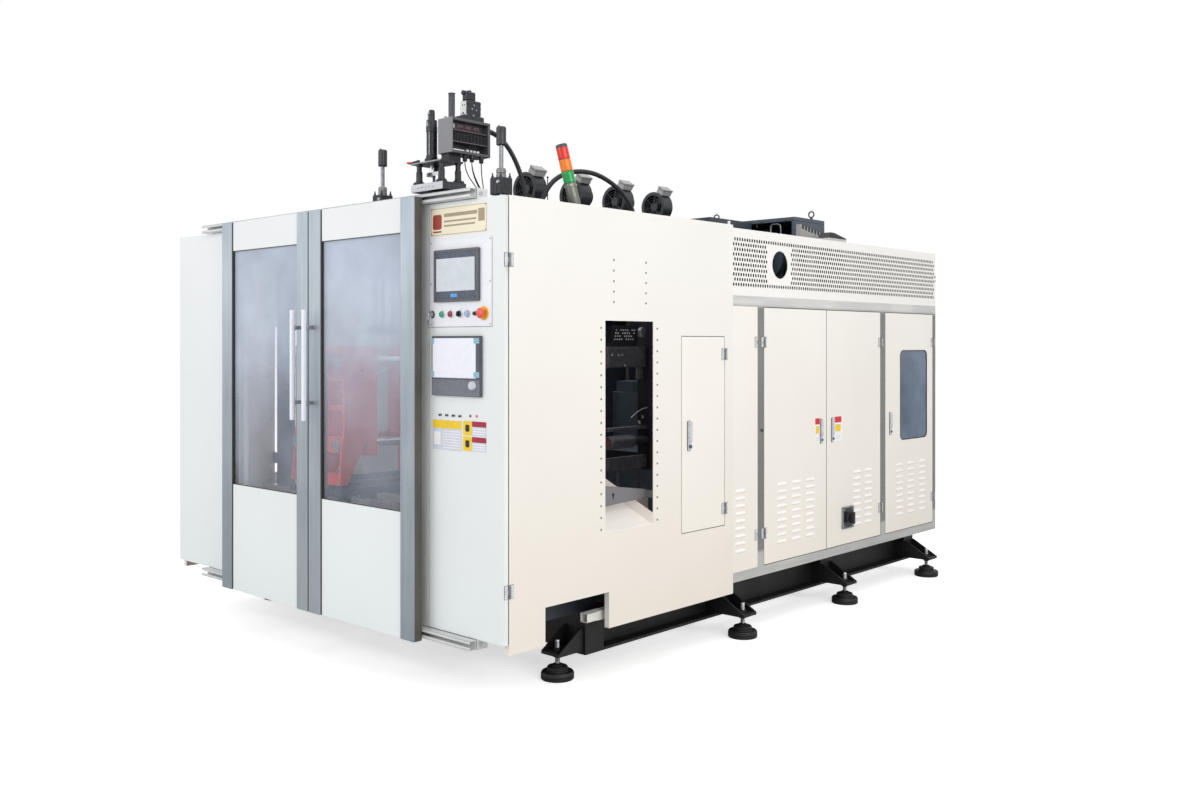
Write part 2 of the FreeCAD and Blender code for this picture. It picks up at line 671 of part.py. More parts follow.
def access_door():
    y = front + S.access_front
    width = span(S.access_front, S.access_rear)
    height = span(S.access_bottom, S.access_top)
    leaf = tray((right - S.leaf_door, y, S.access_bottom), (S.leaf_door, width, height), S.sheet, "-x")
    lock = box((right, front + S.lock_place - S.lock_width / 2, S.lock_bottom),
               (S.lock_depth, S.lock_width, S.lock_height))
    return fuse(leaf, lock, *moving_leaves("access"))


keep("access_door", access_door())

# ---------------------------------------------------------------- front panels, column and rails
column_front = S.column_door + S.door_seam
keep("front_left_panel", tray(
    (left, front, S.column_bottom),
    (S.left_panel_width, column_front, S.column_door_top - S.column_bottom), S.sheet, "+y"))
keep("control_column", fuse(
    tray((right - S.column_width, front + column_front, S.column_bottom),
         (S.column_width - S.cover_depth, S.column_depth, S.column_top - S.column_bottom), S.sheet, "-y"),
    tray((right - S.column_width, front, S.column_bottom),
         (S.column_width - S.control_door_width - S.meeting_gap, column_front,
          S.column_door_top - S.column_bottom),
         S.sheet, "+y")))


def door_rails():
    """Two C-channels, open towards the doors, that the door rollers run in."""
    length = S.rail_left - S.rail_right
    depth, high, wall = S.rail_depth, S.rail_height, S.rail_sheet
    profile = [(0, 0), (0, high), (-depth, high), (-depth, high - wall), (-wall, high - wall),
               (-wall, wall), (-depth, wall), (-depth, 0)]
    return group(*[
        padded("YZ", profile, length, (right - S.rail_left, front, z))
        for z in (S.lower_rail_bottom, S.upper_rail_bottom)])


keep("door_rails", door_rails())


def sliding_door(x, handle_x):
    """A door leaf: steel stiles, painted panels set back between them, rollers and a grab bar."""
    outer = front - door_reach
    inner = front - S.rail_depth - S.door_gap
    width = S.door_width - S.meeting_gap / 2
    height = S.door_top - S.door_bottom
    panel_depth = S.door_thickness - S.panel_setback * 2
    inside = width - S.stile_width * 2
    pieces = []
    for stile in (x, x + width - S.stile_width):
        pieces.append(box((stile, outer, S.door_bottom), (S.stile_width, S.door_thickness, height)))
    for low, high in ((S.door_bottom, S.pane_bottom), (S.pane_top, S.door_top)):
        pieces.append(box((x + S.stile_width, outer + S.panel_setback, low),
                          (inside, panel_depth, high - low)))
    roller = S.rail_height / 2 - S.rail_sheet - S.roller_gap
    for z in (S.lower_rail_bottom, S.upper_rail_bottom):
        for spot in (x + S.roller_inset, x + width - S.roller_inset):
            pieces.append(rod((spot, inner, z + S.rail_height / 2), roller, S.roller_length, "y"))
    bar_y = outer - S.handle_stand - S.handle_bar
    bar_x = handle_x - S.handle_bar / 2
    pieces.append(box((bar_x, bar_y, S.handle_bottom),
                      (S.handle_bar, S.handle_bar, S.handle_top - S.handle_bottom)))
    for z in (S.handle_bottom + S.handle_bracket, S.handle_top - S.handle_bracket):
        pieces.append(box((bar_x, bar_y + S.handle_bar, z - S.handle_bar / 2),
                          (S.handle_bar, S.handle_stand, S.handle_bar)))
    return group(*pieces)


def door_pane(x):
    inside = S.door_width - S.meeting_gap / 2 - S.stile_width * 2
    y = front - door_reach + S.panel_setback + S.pane_setback
    return box((x + S.stile_width, y, S.pane_bottom),
               (inside, S.pane_thickness, S.pane_top - S.pane_bottom))


meeting = right - S.door_right_edge - S.door_width
door_spots = {
    "right": meeting + S.meeting_gap / 2,
    "left": meeting - S.door_width,
}
keep("right_door", sliding_door(door_spots["right"], meeting + S.stile_width / 2))
keep("right_door_pane", door_pane(door_spots["right"]))
keep("left_door", sliding_door(door_spots["left"], meeting - S.stile_width / 2))
keep("left_door_pane", door_pane(door_spots["left"]))


# ---------------------------------------------------------------- control door and its switches
def stem_hole(x, z, radius):
    return rod((x, front - 20, z), radius + S.stem_clearance, 60, "y")


plate_front = front - S.plate
switches = {
    "key_switch": S.key_place, "start_button": S.start_place, "stop_button": S.stop_place,
    "selector_switch": S.selector_place, "reset_button": S.reset_place,
    "emergency_stop": S.emergency_place,
}
knob_spot = (right - S.knob_right, S.knob_height)


def control_door():
    width = S.control_door_width
    height = S.column_door_top - S.column_bottom
    leaf = tray((right - width, front, S.column_bottom), (width, S.column_door, height), S.sheet, "+y")
    plate = box((right - S.plate_left, plate_front, S.plate_bottom),
                (S.plate_left - S.plate_right, S.plate, S.plate_top - S.plate_bottom))
    bezels, holes = [], []
    for name, spot in switches.items():
        mushroom = name == "emergency_stop"
        radius = S.mushroom_radius + S.guard_ring if mushroom else S.bezel_radius
        depth = S.guard_ring_depth if mushroom else S.bezel_depth
        bezels.append(rod((right - spot, plate_front - depth, S.switch_row), radius, depth, "y"))
        holes.append(stem_hole(right - spot, S.switch_row, S.stem_radius))
        if not mushroom:
            holes.append(rod((right - spot, plate_front - depth, S.switch_row),
                             S.cap_radius + S.cap_gap, S.bezel_depth, "y"))
    holes.append(stem_hole(*knob_spot, S.stem_radius))
    return cut(fuse(leaf, plate, *bezels, *moving_leaves("control")), *holes)


keep("control_door", control_door())


def operator_panel():
    """The touch screen: a bezel with a sunk screen."""
    x = right - S.screen_right - S.screen_width
    y = plate_front - S.screen_depth
    edge = S.screen_frame
    bezel = box((x, y, S.screen_bottom), (S.screen_width, S.screen_depth, S.screen_height))
    glass = box((x + edge, y, S.screen_bottom + edge * 2),
                (S.screen_width - edge * 2, S.glass_depth, S.screen_height - edge * 4))
    return cut(bezel, glass)


keep("operator_panel", operator_panel())


def parison_controller():
    x = right - S.controller_right - S.controller_width
    y = front - S.controller_depth
    case = box((x, y, S.controller_bottom), (S.controller_width, S.controller_depth, S.controller_height))
    edge = S.controller_edge
    glass = box((x + edge, y, S.controller_bottom + S.controller_keys),
                (S.controller_width - edge * 2, S.glass_depth,
                 S.controller_height - S.controller_keys - edge))
    hole = rod((knob_spot[0], y, knob_spot[1]), S.stem_radius + S.stem_clearance, S.controller_depth, "y")
    return cut(case, glass, hole)


keep("parison_controller", parison_controller())
knob_face = front - S.controller_depth - S.knob_gap
keep("controller_knob", fuse(
    rod((knob_spot[0], knob_face - S.knob_depth, knob_spot[1]), S.knob_radius, S.knob_depth, "y"),
    rod((knob_spot[0], knob_face, knob_spot[1]), S.stem_radius, S.knob_stem + S.knob_gap, "y")))


def switch_cap(name, extra):
    """A cap that floats in its bezel on a stem through the door."""
    x = right - switches[name]
    y = plate_front - S.press_travel - S.press_clearance
    cap = rod((x, y - S.cap_depth, S.switch_row), S.cap_radius, S.cap_depth, "y")
    stem = rod((x, y, S.switch_row), S.stem_radius, S.cap_stem, "y")
    return fuse(cap, stem, *[shape(x, y - S.cap_depth) for shape in extra])


def selector_lever(x, y):
    half = S.lever_half
    return box((x - S.lever_thick / 2, y - half, S.switch_row - half), (S.lever_thick, half, half * 2))


def key_blade(x, y):
    half = S.key_half
    return box((x - S.key_thick / 2, y - half * 2, S.switch_row - half), (S.key_thick, half * 2, half * 2))


for button in ("start_button", "stop_button", "reset_button"):
    keep(button, switch_cap(button, []))
keep("selector_switch", switch_cap("selector_switch", [selector_lever]))
keep("key_switch", switch_cap("key_switch", [key_blade]))


def emergency_stop():
    x = right - S.emergency_place
    y = plate_front - S.guard_ring_depth - S.press_travel - S.press_clearance
    neck = S.mushroom_neck
    profile = [(0, 0), (neck, 0), (neck, 7), (S.mushroom_radius, 10), (S.mushroom_radius, 17),
               (neck + 2, 22), (0, 23)]
    mushroom = turned(profile, (x, y, S.switch_row), "y")
    mushroom.Placement = Placement(Vector(number(x), number(y), number(S.switch_row)),
                                   Rotation(Vector(1, 0, 0), 90))
    return fuse(mushroom, rod((x, y, S.switch_row), S.stem_radius, S.cap_stem + S.guard_ring_depth, "y"))


keep("emergency_stop", emergency_stop())


# ---------------------------------------------------------------- service cabinet
def cabinet_side():
    """Posts and bands on one side, flush with the service doors."""
    x = cabinet_face - S.frame_depth
    deep = S.frame_depth
    y = front + S.front_cover_length
    post_low = S.band_bottom + S.band_height
    post_height = S.top_band_bottom - post_low
    return [
        box((x, y, S.band_bottom), (deep, back - y, S.band_height)),
        box((x, y, S.top_band_bottom), (deep, back - y, S.top_band_height)),
        box((x, front + S.post_a, post_low), (deep, S.cabinet_post, post_height)),
        box((x, front + post_b, post_low), (deep, S.cabinet_post, post_height)),
        box((x, back - S.end_post, post_low), (deep, S.end_post, post_height)),
    ]


def cabinet_frame():
    side = cabinet_side()
    inner = cabinet_face - S.frame_depth
    crosses = [box((-inner, front + y, S.band_bottom), (inner * 2, S.cabinet_post, S.band_height))
               for y in (S.front_cover_length, door_split)]
    crosses.append(box((-inner, back - S.cabinet_post, S.band_bottom),
                       (inner * 2, S.cabinet_post, S.band_height)))
    return group(*side, *[mirrored(piece) for piece in side], *crosses)


keep("cabinet_frame", cabinet_frame())

door_low = S.band_bottom + S.band_height + S.leaf_gap
door_high = S.top_band_bottom - S.leaf_gap


def louvres(face, *centres):
    """Columns of pressed louvre hoods, one column to each centre."""
    hoods = []
    for centre in centres:
        for i in range(SIZES["louvre_rows"]):
            profile = [(0, 0), (S.louvre_depth, 0), (0, S.louvre_height)]
            at = (face, front + centre + S.louvre_width / 2, S.louvre_bottom + S.louvre_pitch * i)
            hoods.append(padded("XZ", profile, S.louvre_width, at))
    return hoods


def leaf(start, end):
    size = (S.leaf_door, end - start, door_high - door_low)
    return tray((cabinet_face - S.leaf_door, start, door_low), size, S.sheet, "-x")


def grip(y):
    return box((cabinet_face, front + y - S.grip_width / 2, S.grip_bottom),
               (S.grip_depth, S.grip_width, S.grip_height))


gap = S.leaf_gap
door_1_start = S.post_a + S.cabinet_post
door_1_middle = (door_1_start + door_split) / 2
louvre_step = (door_split - door_1_start) * 0.224
door_1_louvres = [door_1_middle + louvre_step * step for step in (-1, 0, 1)]
keep("service_door_1", fuse(
    leaf(front + door_1_start + gap, front + door_split - gap / 2),
    grip(door_split - S.grip_place_1), *louvres(cabinet_face, *door_1_louvres), *moving_leaves("door_1")))

switch_front = door_split + S.switch_inset
switch_y = front + switch_front + S.switch_width / 2
switch_z = S.switch_bottom + S.switch_height / 2
switch_plate = box((cabinet_face, front + switch_front, S.switch_bottom),
                   (12, S.switch_width, S.switch_height))
switch_hole = rod((cabinet_face - 30, switch_y, switch_z), S.stem_radius * 2 + S.stem_clearance, 60, "x")
door_2 = fuse(
    leaf(front + door_split + gap / 2, front + post_b - gap),
    grip(door_split + S.grip_place_2), *louvres(cabinet_face, post_b - 303, post_b - 160),
    switch_plate, *moving_leaves("door_2"))
keep("service_door_2", cut(door_2, switch_hole))
sight_front = post_b + S.sight_inset
sight = box((cabinet_face - S.leaf_door - 1, front + sight_front, S.sight_bottom),
            (S.leaf_door + 2, S.sight_width, span(S.sight_bottom, S.sight_top)))
lap = S.sheet * 5
sight_pane = box((cabinet_face - S.sheet - S.pane_thickness, front + sight_front - lap,
                  S.sight_bottom - lap),
                 (S.pane_thickness, S.sight_width + lap * 2, span(S.sight_bottom, S.sight_top) + lap * 2))
door_3 = fuse(
    cut(leaf(front + post_b + S.cabinet_post + gap, back - S.end_post - gap), sight),
    grip(post_b + S.grip_place_3), *louvres(cabinet_face, post_b + 259, post_b + 418, post_b + 584),
    *moving_leaves("door_3"))
keep("service_door_3", group(door_3, sight_pane))
keep("main_switch", fuse(
    rod((cabinet_face - 6, switch_y, switch_z), S.stem_radius * 2, 19, "x"),
    rod((cabinet_face + 12.5, switch_y, switch_z), 34, 14, "x"),
    box((cabinet_face + 26, switch_y - 9, switch_z - 38), (30, 18, 76))))


def fixed_panels():
    """The cabinet panels that do not open: front end, far side, rear and the perforated guards."""
    face = cabinet_face
    low, high = door_low - gap, door_high + gap
    height = high - low
    deep = S.leaf_door
    first = tray((face - deep, front + S.front_cover_length, low),
                 (deep, span(S.front_cover_length, S.post_a), height), S.sheet, "-x")
    far_spans = ((S.front_cover_length, S.post_a), (S.post_a + S.cabinet_post, post_b),
                 (post_b + S.cabinet_post, S.machine_length - S.end_post))
    far = [tray((-face, front + a, low), (deep, b - a, height), S.sheet, "+x") for a, b in far_spans]
    inner = face - S.frame_depth
    rear = tray((-inner, back - S.rear_panel_depth, S.band_bottom + S.band_height),
                (inner * 2, S.rear_panel_depth, S.guard_top - S.band_bottom - S.band_height), S.sheet, "-y")
    start = front + S.front_cover_length
    guard_size = (S.guard_depth, back - start, S.guard_top - S.guard_bottom)
    plain_guard = tray((-face, start, S.guard_bottom), guard_size, S.sheet, "+x")
    return [first, *far, rear, plain_guard]


def guard():
    """The perforated guard: a folded tray with rows of square holes and one large round vent."""
    rows, holes_in_row = 4, 30
    start = front + S.front_cover_length
    at = (cabinet_face - S.guard_depth, start, S.guard_bottom)
    size = (S.guard_depth, back - start, S.guard_top - S.guard_bottom)
    holes = [rod((cabinet_face - S.sheet - 1, front + S.vent_place, S.vent_height), S.vent_radius,
                 S.sheet + 2, "x")]
    pitch = (S.machine_length - S.front_cover_length) / (holes_in_row + 1)
    rise = (S.guard_top - S.guard_bottom) / (rows + 1)
    for line in range(rows):
        shift = 0.5 if line % 2 else 0
        for i in range(holes_in_row):
            y = S.front_cover_length + pitch * (i + 0.5 + shift)
            if abs(number(y) - number(S.vent_place)) > number(S.vent_radius) + 60:
                holes.append(box((cabinet_face - S.sheet - 1, front + y,
                                  S.guard_bottom + rise * (line + 0.9)),
                                 (S.sheet + 2, S.guard_hole, S.guard_hole)))
    return cut(tray(at, size, S.sheet, "-x"), *holes)


keep("cabinet_panels", group(*fixed_panels(), guard()))


# ---------------------------------------------------------------- extruder
ext_z = S.extruder_height
barrel_front = die_y + S.head_radius
throat_rear = front + gearbox_front
throat_mid = throat_rear - S.throat_length / 2


def extruder_barrel():
    throat = box((-S.throat_half, throat_rear - S.throat_length, ext_z - S.throat_half),
                 (S.throat_half * 2, S.throat_length, S.throat_top - ext_z + S.throat_half))
    body = fuse(
        rod((0, barrel_front, ext_z), S.barrel_radius, throat_rear - barrel_front, "y"),
        rod((0, barrel_front, ext_z), S.barrel_flange, 40, "y"),
        throat)
    holes = [rod((0, barrel_front, ext_z), S.barrel_bore, throat_rear - barrel_front, "y"),
             rod((0, throat_mid, ext_z), S.throat_hole, S.throat_top - ext_z)]
    for x in (-1, 1):
        for y in (-1, 1):
            holes.append(rod((S.hopper_spacing / 2 * x, throat_mid + S.hopper_spacing / 2 * y,
                              S.throat_top - 40),
                             S.hopper_bolt, 40))
    return cut(body, *holes)


keep("extruder_barrel", extruder_barrel())
screw_root = barrel_front + 60
keep("extruder_screw", fuse(
    cone((0, barrel_front + 20, ext_z), 2, S.screw_core, 40, "y"),
    rod((0, screw_root, ext_z), S.screw_core, throat_rear - screw_root + 60, "y"),
    *[rod((0, screw_root + 40 + i * 320, ext_z), S.barrel_bore - S.running_clearance, 22, "y")
      for i in range(6)]))


def cooling_cover(y):
    x = S.duct_half
    shell = fuse(rod((0, y - cooling_length / 2, ext_z), S.cooling_radius, cooling_length, "y"),
                 box((-x, y - 45, ext_z), (x * 2, 90, S.duct_top - ext_z)))
    wall = S.cooling_sheet
    inside = rod((0, y - cooling_length / 2 + wall, ext_z), S.cooling_radius - wall,
                 cooling_length - wall * 2, "y")
    duct = box((-x + wall, y - 45 + wall, ext_z), (x * 2 - wall * 2, 90 - wall * 2, S.duct_top - ext_z))
    ends = rod((0, y - cooling_length / 2, ext_z), S.barrel_radius + 0.3, cooling_length, "y")
    return cut(shell, inside, duct, ends)


cooling_places = [front + S.cooling_front + cooling_pitch * i for i in range(4)]
keep("barrel_covers", group(*[cooling_cover(y) for y in cooling_places]))


def blower(y):
    """A drum housing with an inlet ring, a fan on its motor shaft and an outlet neck below."""
    z = S.blower_height
    low = y - S.blower_depth / 2
    drum = fuse(
        rod((0, low, z), S.blower_radius, S.blower_depth, "y"),
        box((-S.duct_half, y - 45, S.duct_top), (S.duct_half * 2, 90, z - S.duct_top)))
    inside = rod((0, low + S.inlet_ring, z), S.blower_radius - S.blower_wall,
                 S.blower_depth - S.inlet_ring - S.blower_wall, "y")
    inlet = rod((0, low, z), S.inlet_radius, S.inlet_ring, "y")
    neck = box((-S.duct_half + 4, y - 32, S.duct_top), (S.duct_half * 2 - 8, 64, z - S.duct_top))
    shell = cut(drum, inside, inlet, neck)
    back_face = low + S.blower_depth
    motor = rod((0, back_face - S.blower_wall, z), S.blower_motor_radius, S.blower_motor_length, "y")
    hub = rod((0, low + 12, z), S.fan_hub, S.blower_depth - 12, "y")
    disc = rod((0, back_face - S.blower_wall - 26, z), S.fan_radius, S.fan_disc, "y")
    return fuse(shell, motor, hub, disc)


keep("blower_housings", group(*[blower(y) for y in cooling_places]))


def terminal_box(y):
    """A box seated on the drum's upper right, turned to lie square on it."""
    turn = math.radians(33)
    reach = S.blower_radius + S.roller_gap
    thing = add("Part::Box", "block")
    for name, value in zip(("Length", "Width", "Height"), (S.box_width, S.box_length, S.box_height)):
        bind(thing, name, value)
    x = reach * math.sin(turn) - S.box_width / 2 * math.cos(turn)
    z = S.blower_height + reach * math.cos(turn) + S.box_width / 2 * math.sin(turn)
    return place(thing, (x, y - S.box_length / 2, z), Rotation(Vector(0, 1, 0), 33))


hood_x = S.hood_right
hood_box = hood_rear - hood_front - S.hood_setback * 2
box_profile = [(0, 0), (hood_box, 0), (hood_box, S.hood_box_rear), (0, S.hood_box_front)]
keep("terminal_boxes", group(
    *[terminal_box(y) for y in cooling_places],
    padded("YZ", box_profile, S.hood_box_width, (hood_x, front + hood_front + 10, S.hood_box_bottom)),
    box((S.stand_place + S.stand_width - S.rear_box_width,
         front + post_3 + S.tube - S.rear_box_length, S.rear_box_bottom),
        (S.rear_box_width, S.rear_box_length, S.rear_box_height))))


def gearbox():
    deck = S.platform_cross + S.tube * 2
    y = front + gearbox_front
    length = gearbox_rear - gearbox_front
    case = box((-S.gearbox_half, y, deck), (S.gearbox_half * 2, length, S.gearbox_top - deck))
    transfer = box((S.gearbox_half, y + length - 100, deck + 110),
                   (S.motor_place + 90 - S.gearbox_half, 100, 200))
    lid = box((-S.gearbox_half - 12, y, ext_z - 12), (S.gearbox_half * 2 + 24, length - 100, 24))
    eye_y = y + length * 0.65
    eye = fuse(rod((0, eye_y, S.gearbox_top), S.eye_shank, S.eye_rise + 2),
               eye_ring(0, eye_y, S.gearbox_top))
    body = fuse(case, transfer, lid, eye)
    return cut(body, rod((0, y, ext_z), S.screw_core + S.running_clearance, 61, "y"))


def eye_ring(x, y, z):
    """A lifting eye: an octagonal bar turned into a ring that faces along the machine."""
    bar = S.eye_bar
    half = bar * 0.414
    ways = ((-bar, -half), (-half, -bar), (half, -bar), (bar, -half),
            (bar, half), (half, bar), (-half, bar), (-bar, half))
    profile = [(S.eye_radius + out, along) for out, along in ways]
    return turned(profile, (x, y, z + S.eye_rise + S.eye_radius), "y")


keep("gearbox", gearbox())
deck_top = S.platform_cross + S.tube * 2 + S.rear_deck


def drive_motor():
    y = front + hood_front + 30
    length = hood_rear - hood_front - 40
    z = deck_top + S.motor_radius + 30
    foot = box((S.motor_place - 110, y + 60, deck_top), (220, length - 120, S.motor_radius))
    body = rod((S.motor_place, y, z), S.motor_radius, length, "y")
    shaft = rod((S.motor_place, front + gearbox_rear, z), 24, y - front - gearbox_rear, "y")
    return fuse(foot, body, shaft)


keep("drive_motor", drive_motor())


def drive_hood():
    y = front + hood_front
    hood_rear_face = front + hood_rear
    length = hood_rear - hood_front
    thick = S.hood_plate
    roof = box((0, y, S.hood_top - thick), (hood_x, length, thick))
    legs = [box((x, y, deck_top), (thick, length, S.hood_top - deck_top))
            for x in (sized(0), hood_x - thick)]
    rear = box((thick, hood_rear_face - S.sheet, deck_top),
               (hood_x - thick * 2, S.sheet, S.hood_top - thick - deck_top))
    eye_y = y + length * 0.6
    eye_x = hood_x - S.hood_plate / 2
    eye = fuse(rod((eye_x, eye_y, S.hood_top), S.eye_shank, S.eye_rise + 2),
               eye_ring(eye_x, eye_y, S.hood_top))
    return fuse(roof, *legs, rear, eye)


keep("drive_hood", drive_hood())


# ---------------------------------------------------------------- die head
def die_head():
    z0, z1 = S.head_bottom, S.head_top
    r = S.head_radius
    profile = [
        (S.head_bore, z0 - 50), (62, z0 - 50), (70, z0 - 40), (70, z0), (r - 14, z0), (r, z0 + 14),
        (r, z1 - 14), (r - 14, z1), (S.neck_radius, z1), (S.neck_radius, S.plate_1_bottom),
        (S.head_bore, S.plate_1_bottom)]
    body = turned(profile, (0, die_y, 0))
    inlet = box((-80, die_y + 60, ext_z - 85), (160, S.head_radius - 60, 170))
    core = rod((0, die_y, z0), S.head_bore, z1 - z0)
    return fuse(body, cut(inlet, core))


keep("die_head", die_head())
plate_2_top = S.plate_2_bottom + S.plate_2_height
plate_1_top = S.plate_1_bottom + S.plate_1_height


def head_plates():
    half = S.plate_1_half
    y = die_y - S.plate_1_depth / 2
    lower = cut(box((-half, y, S.plate_1_bottom), (half * 2, S.plate_1_depth, S.plate_1_height)),
                rod((0, die_y, S.plate_1_bottom), S.mandrel_radius + 1, S.plate_1_height))
    columns = []
    for x in (-S.column_place, S.column_place):
        for along in (-S.column_offset, S.column_offset):
            columns.append(rod((x, die_y + along, plate_1_top), S.column_radius,
                               S.plate_2_bottom - plate_1_top))
    upper = cut(box((-half - 8, y + 3, S.plate_2_bottom),
                    (half * 2 - 14, S.plate_1_depth - 6, S.plate_2_height)),
                rod((-S.parison_offset, die_y, S.plate_2_bottom), S.piston_rod + 1, S.plate_2_height))
    port = S.port
    fittings = [box((-105, die_y + along - port / 2, plate_2_top), (port, port, port))
                for along in (-70, 68)]
    return fuse(lower, *columns, upper, *fittings)


keep("head_plates", head_plates())
keep("parison_cylinder", cut(
    fuse(rod((-S.parison_offset, die_y, plate_2_top), S.parison_radius, S.parison_top - plate_2_top),
         rod((-S.parison_offset, die_y, S.parison_top), S.parison_neck, S.parison_neck_top - S.parison_top),
         box((-S.parison_offset - 30, die_y - 30, plate_2_top), (60, 60, 30))),
    rod((-S.parison_offset, die_y, plate_2_top), S.piston_rod + S.running_clearance, 80)))
yoke_z = plate_1_top + 50
keep("mandrel_rod", fuse(
    rod((0, die_y, S.head_bottom - 40), S.mandrel_radius, yoke_z - S.head_bottom + 40),
    cone((0, die_y, S.head_bottom - 46), 28, S.mandrel_radius, 30),
    box((-S.parison_offset - 20, die_y - 22, yoke_z), (S.parison_offset + 45, 44, 22)),
    rod((-S.parison_offset, die_y, yoke_z + 10), S.piston_rod, plate_2_top + 50 - yoke_z)))


def valve_manifold():
    """The manifold block with its open wiring duct, servo valve and position transducer."""
    x, y, z = S.manifold_left, front + S.manifold_front, S.manifold_bottom
    width, length, height = S.manifold_width, S.manifold_length, S.manifold_top - S.manifold_bottom
    duct = S.duct_depth
    case = cut(box((x, y, z), (width, length, height)),
               box((x + width - duct, y + 12, z + 16), (duct + 1, length - 30, height - 32)))
    fins = [box((x + width - duct, y + 22 + i * 22, z + 70), (duct * 0.8, 10, 50)) for i in range(12)]
    foot = box((x + 10, y + 15, plate_2_top), (70, 90, z - plate_2_top))
    valve = [
        box((x + 17, y + 112, S.manifold_top), (90, 145, 30)),
        box((x + 27, y + 142, S.manifold_top + 30), (70, 100, 90)),
        box((x + 37, y + 147, S.manifold_top + 120), (50, 65, S.valve_top - S.manifold_top - 120)),
        box((x + 86, y + 5, S.manifold_top), (28, 28, 136)),
    ]
    return fuse(case, foot, *fins, *valve)


keep("valve_manifold", valve_manifold())


# ---------------------------------------------------------------- blow units
def blow_frame(x):
    """Plate across the frame beams, cylinder above it, guide block hung below on two struts."""
    y0 = front + S.post_1 + S.tube / 2
    depth = S.die_beam + S.tube / 2 - S.post_1 - S.tube / 2
    ring_top = S.ring_bottom + S.tube
    half = S.cylinder_half
    clear = S.running_clearance
    plate = box((x - 130, y0, ring_top), (260, depth, S.cylinder_bottom - ring_top))
    cylinder = fuse(rod((x, die_y, S.cylinder_bottom), half - 8, S.cylinder_top - S.cylinder_bottom),
                    box((x - half, die_y - half, S.cylinder_top - 92), (half * 2, half * 2, 92)),
                    box((x - half, die_y - half, S.cylinder_bottom), (half * 2, half * 2, 40)),
                    rod((x, die_y, S.cylinder_top), S.collar_radius, S.collar_top - S.cylinder_top))
    block = box((x - 120, die_y - 60, S.guide_block_bottom),
                (240, 120, S.guide_block_top - S.guide_block_bottom))
    struts = [box((sx, die_y - 60, S.guide_block_top), (15, 120, ring_top - S.guide_block_top))
              for sx in (x - 120, x + 105)]
    holes = [rod((x, die_y, S.guide_block_bottom), S.rod_radius + clear,
                 S.collar_top - S.guide_block_bottom)]
    for side in (-1, 1):
        holes.append(rod((x + S.guide_half * side, die_y, S.guide_block_bottom), S.guide_radius + clear,
                         S.cylinder_bottom - S.guide_block_bottom))
    return cut(fuse(plate, cylinder, block, *struts), *holes)


def blow_pin(x):
    """What moves: stop head, rod, crosshead, two guide rods and the blow pin."""
    low = S.crosshead_bottom
    top = S.crosshead_bottom + S.crosshead_height
    pieces = [
        rod((x, die_y, S.stop_bottom), S.stop_radius, S.stop_top - S.stop_bottom),
        rod((x, die_y, top), S.rod_radius, S.stop_bottom - top),
        box((x - 115, die_y - 40, low), (230, 80, S.crosshead_height)),
        rod((x, die_y, S.pin_bottom - 90), S.pin_radius, low - S.pin_bottom + 90),
    ]
    for side in (-1, 1):
        pieces.append(rod((x + S.guide_half * side, die_y, top), S.guide_radius, S.guide_rod_top - top))
    return fuse(*pieces)


keep("blow_unit_frames", group(blow_frame(-S.station), blow_frame(S.station)))
keep("left_blow_pin", blow_pin(-S.station))
keep("right_blow_pin", blow_pin(S.station))


# ---------------------------------------------------------------- clamp units
def slide_rails():
    half = right - S.beam_inset - S.tube / 2
    return group(*[
        box((-half, front + y - S.slide_rail_width / 2, S.bed_height),
            (half * 2, S.slide_rail_width, S.slide_rail_height))
        for y in (S.rail_front, S.rail_rear)])


keep("slide_rails", slide_rails())
carriage_low = S.bed_height + S.slide_rail_height + S.roller_gap
carriage_top = carriage_low + S.carriage_plate
lane_top = carriage_top + S.lane_height


def carriage(x):
    """A base plate on shoes that straddle the rails, with two lanes for the platens."""
    half = S.carriage_half
    plate = box((x - half, front + S.carriage_front, carriage_low),
                (half * 2, S.carriage_rear - S.carriage_front, S.carriage_plate))
    grip_half = S.slide_rail_width / 2 + S.roller_gap
    shoe_low = S.bed_height + 8
    shoes = []
    for y in (S.rail_front, S.rail_rear):
        for side in (-half, half - S.shoe_length):
            for edge in (-grip_half - S.shoe_wall, grip_half):
                shoes.append(box((x + side, front + y + edge, shoe_low),
                                 (S.shoe_length, S.shoe_wall, carriage_low - shoe_low)))
    lane_length = S.carriage_rear - S.carriage_front - 40
    lanes = [box((x + side, front + S.carriage_front + 20, carriage_top),
                 (S.lane_width, lane_length, S.lane_height)) for side in (-160, 120)]
    return fuse(plate, *shoes, *lanes)


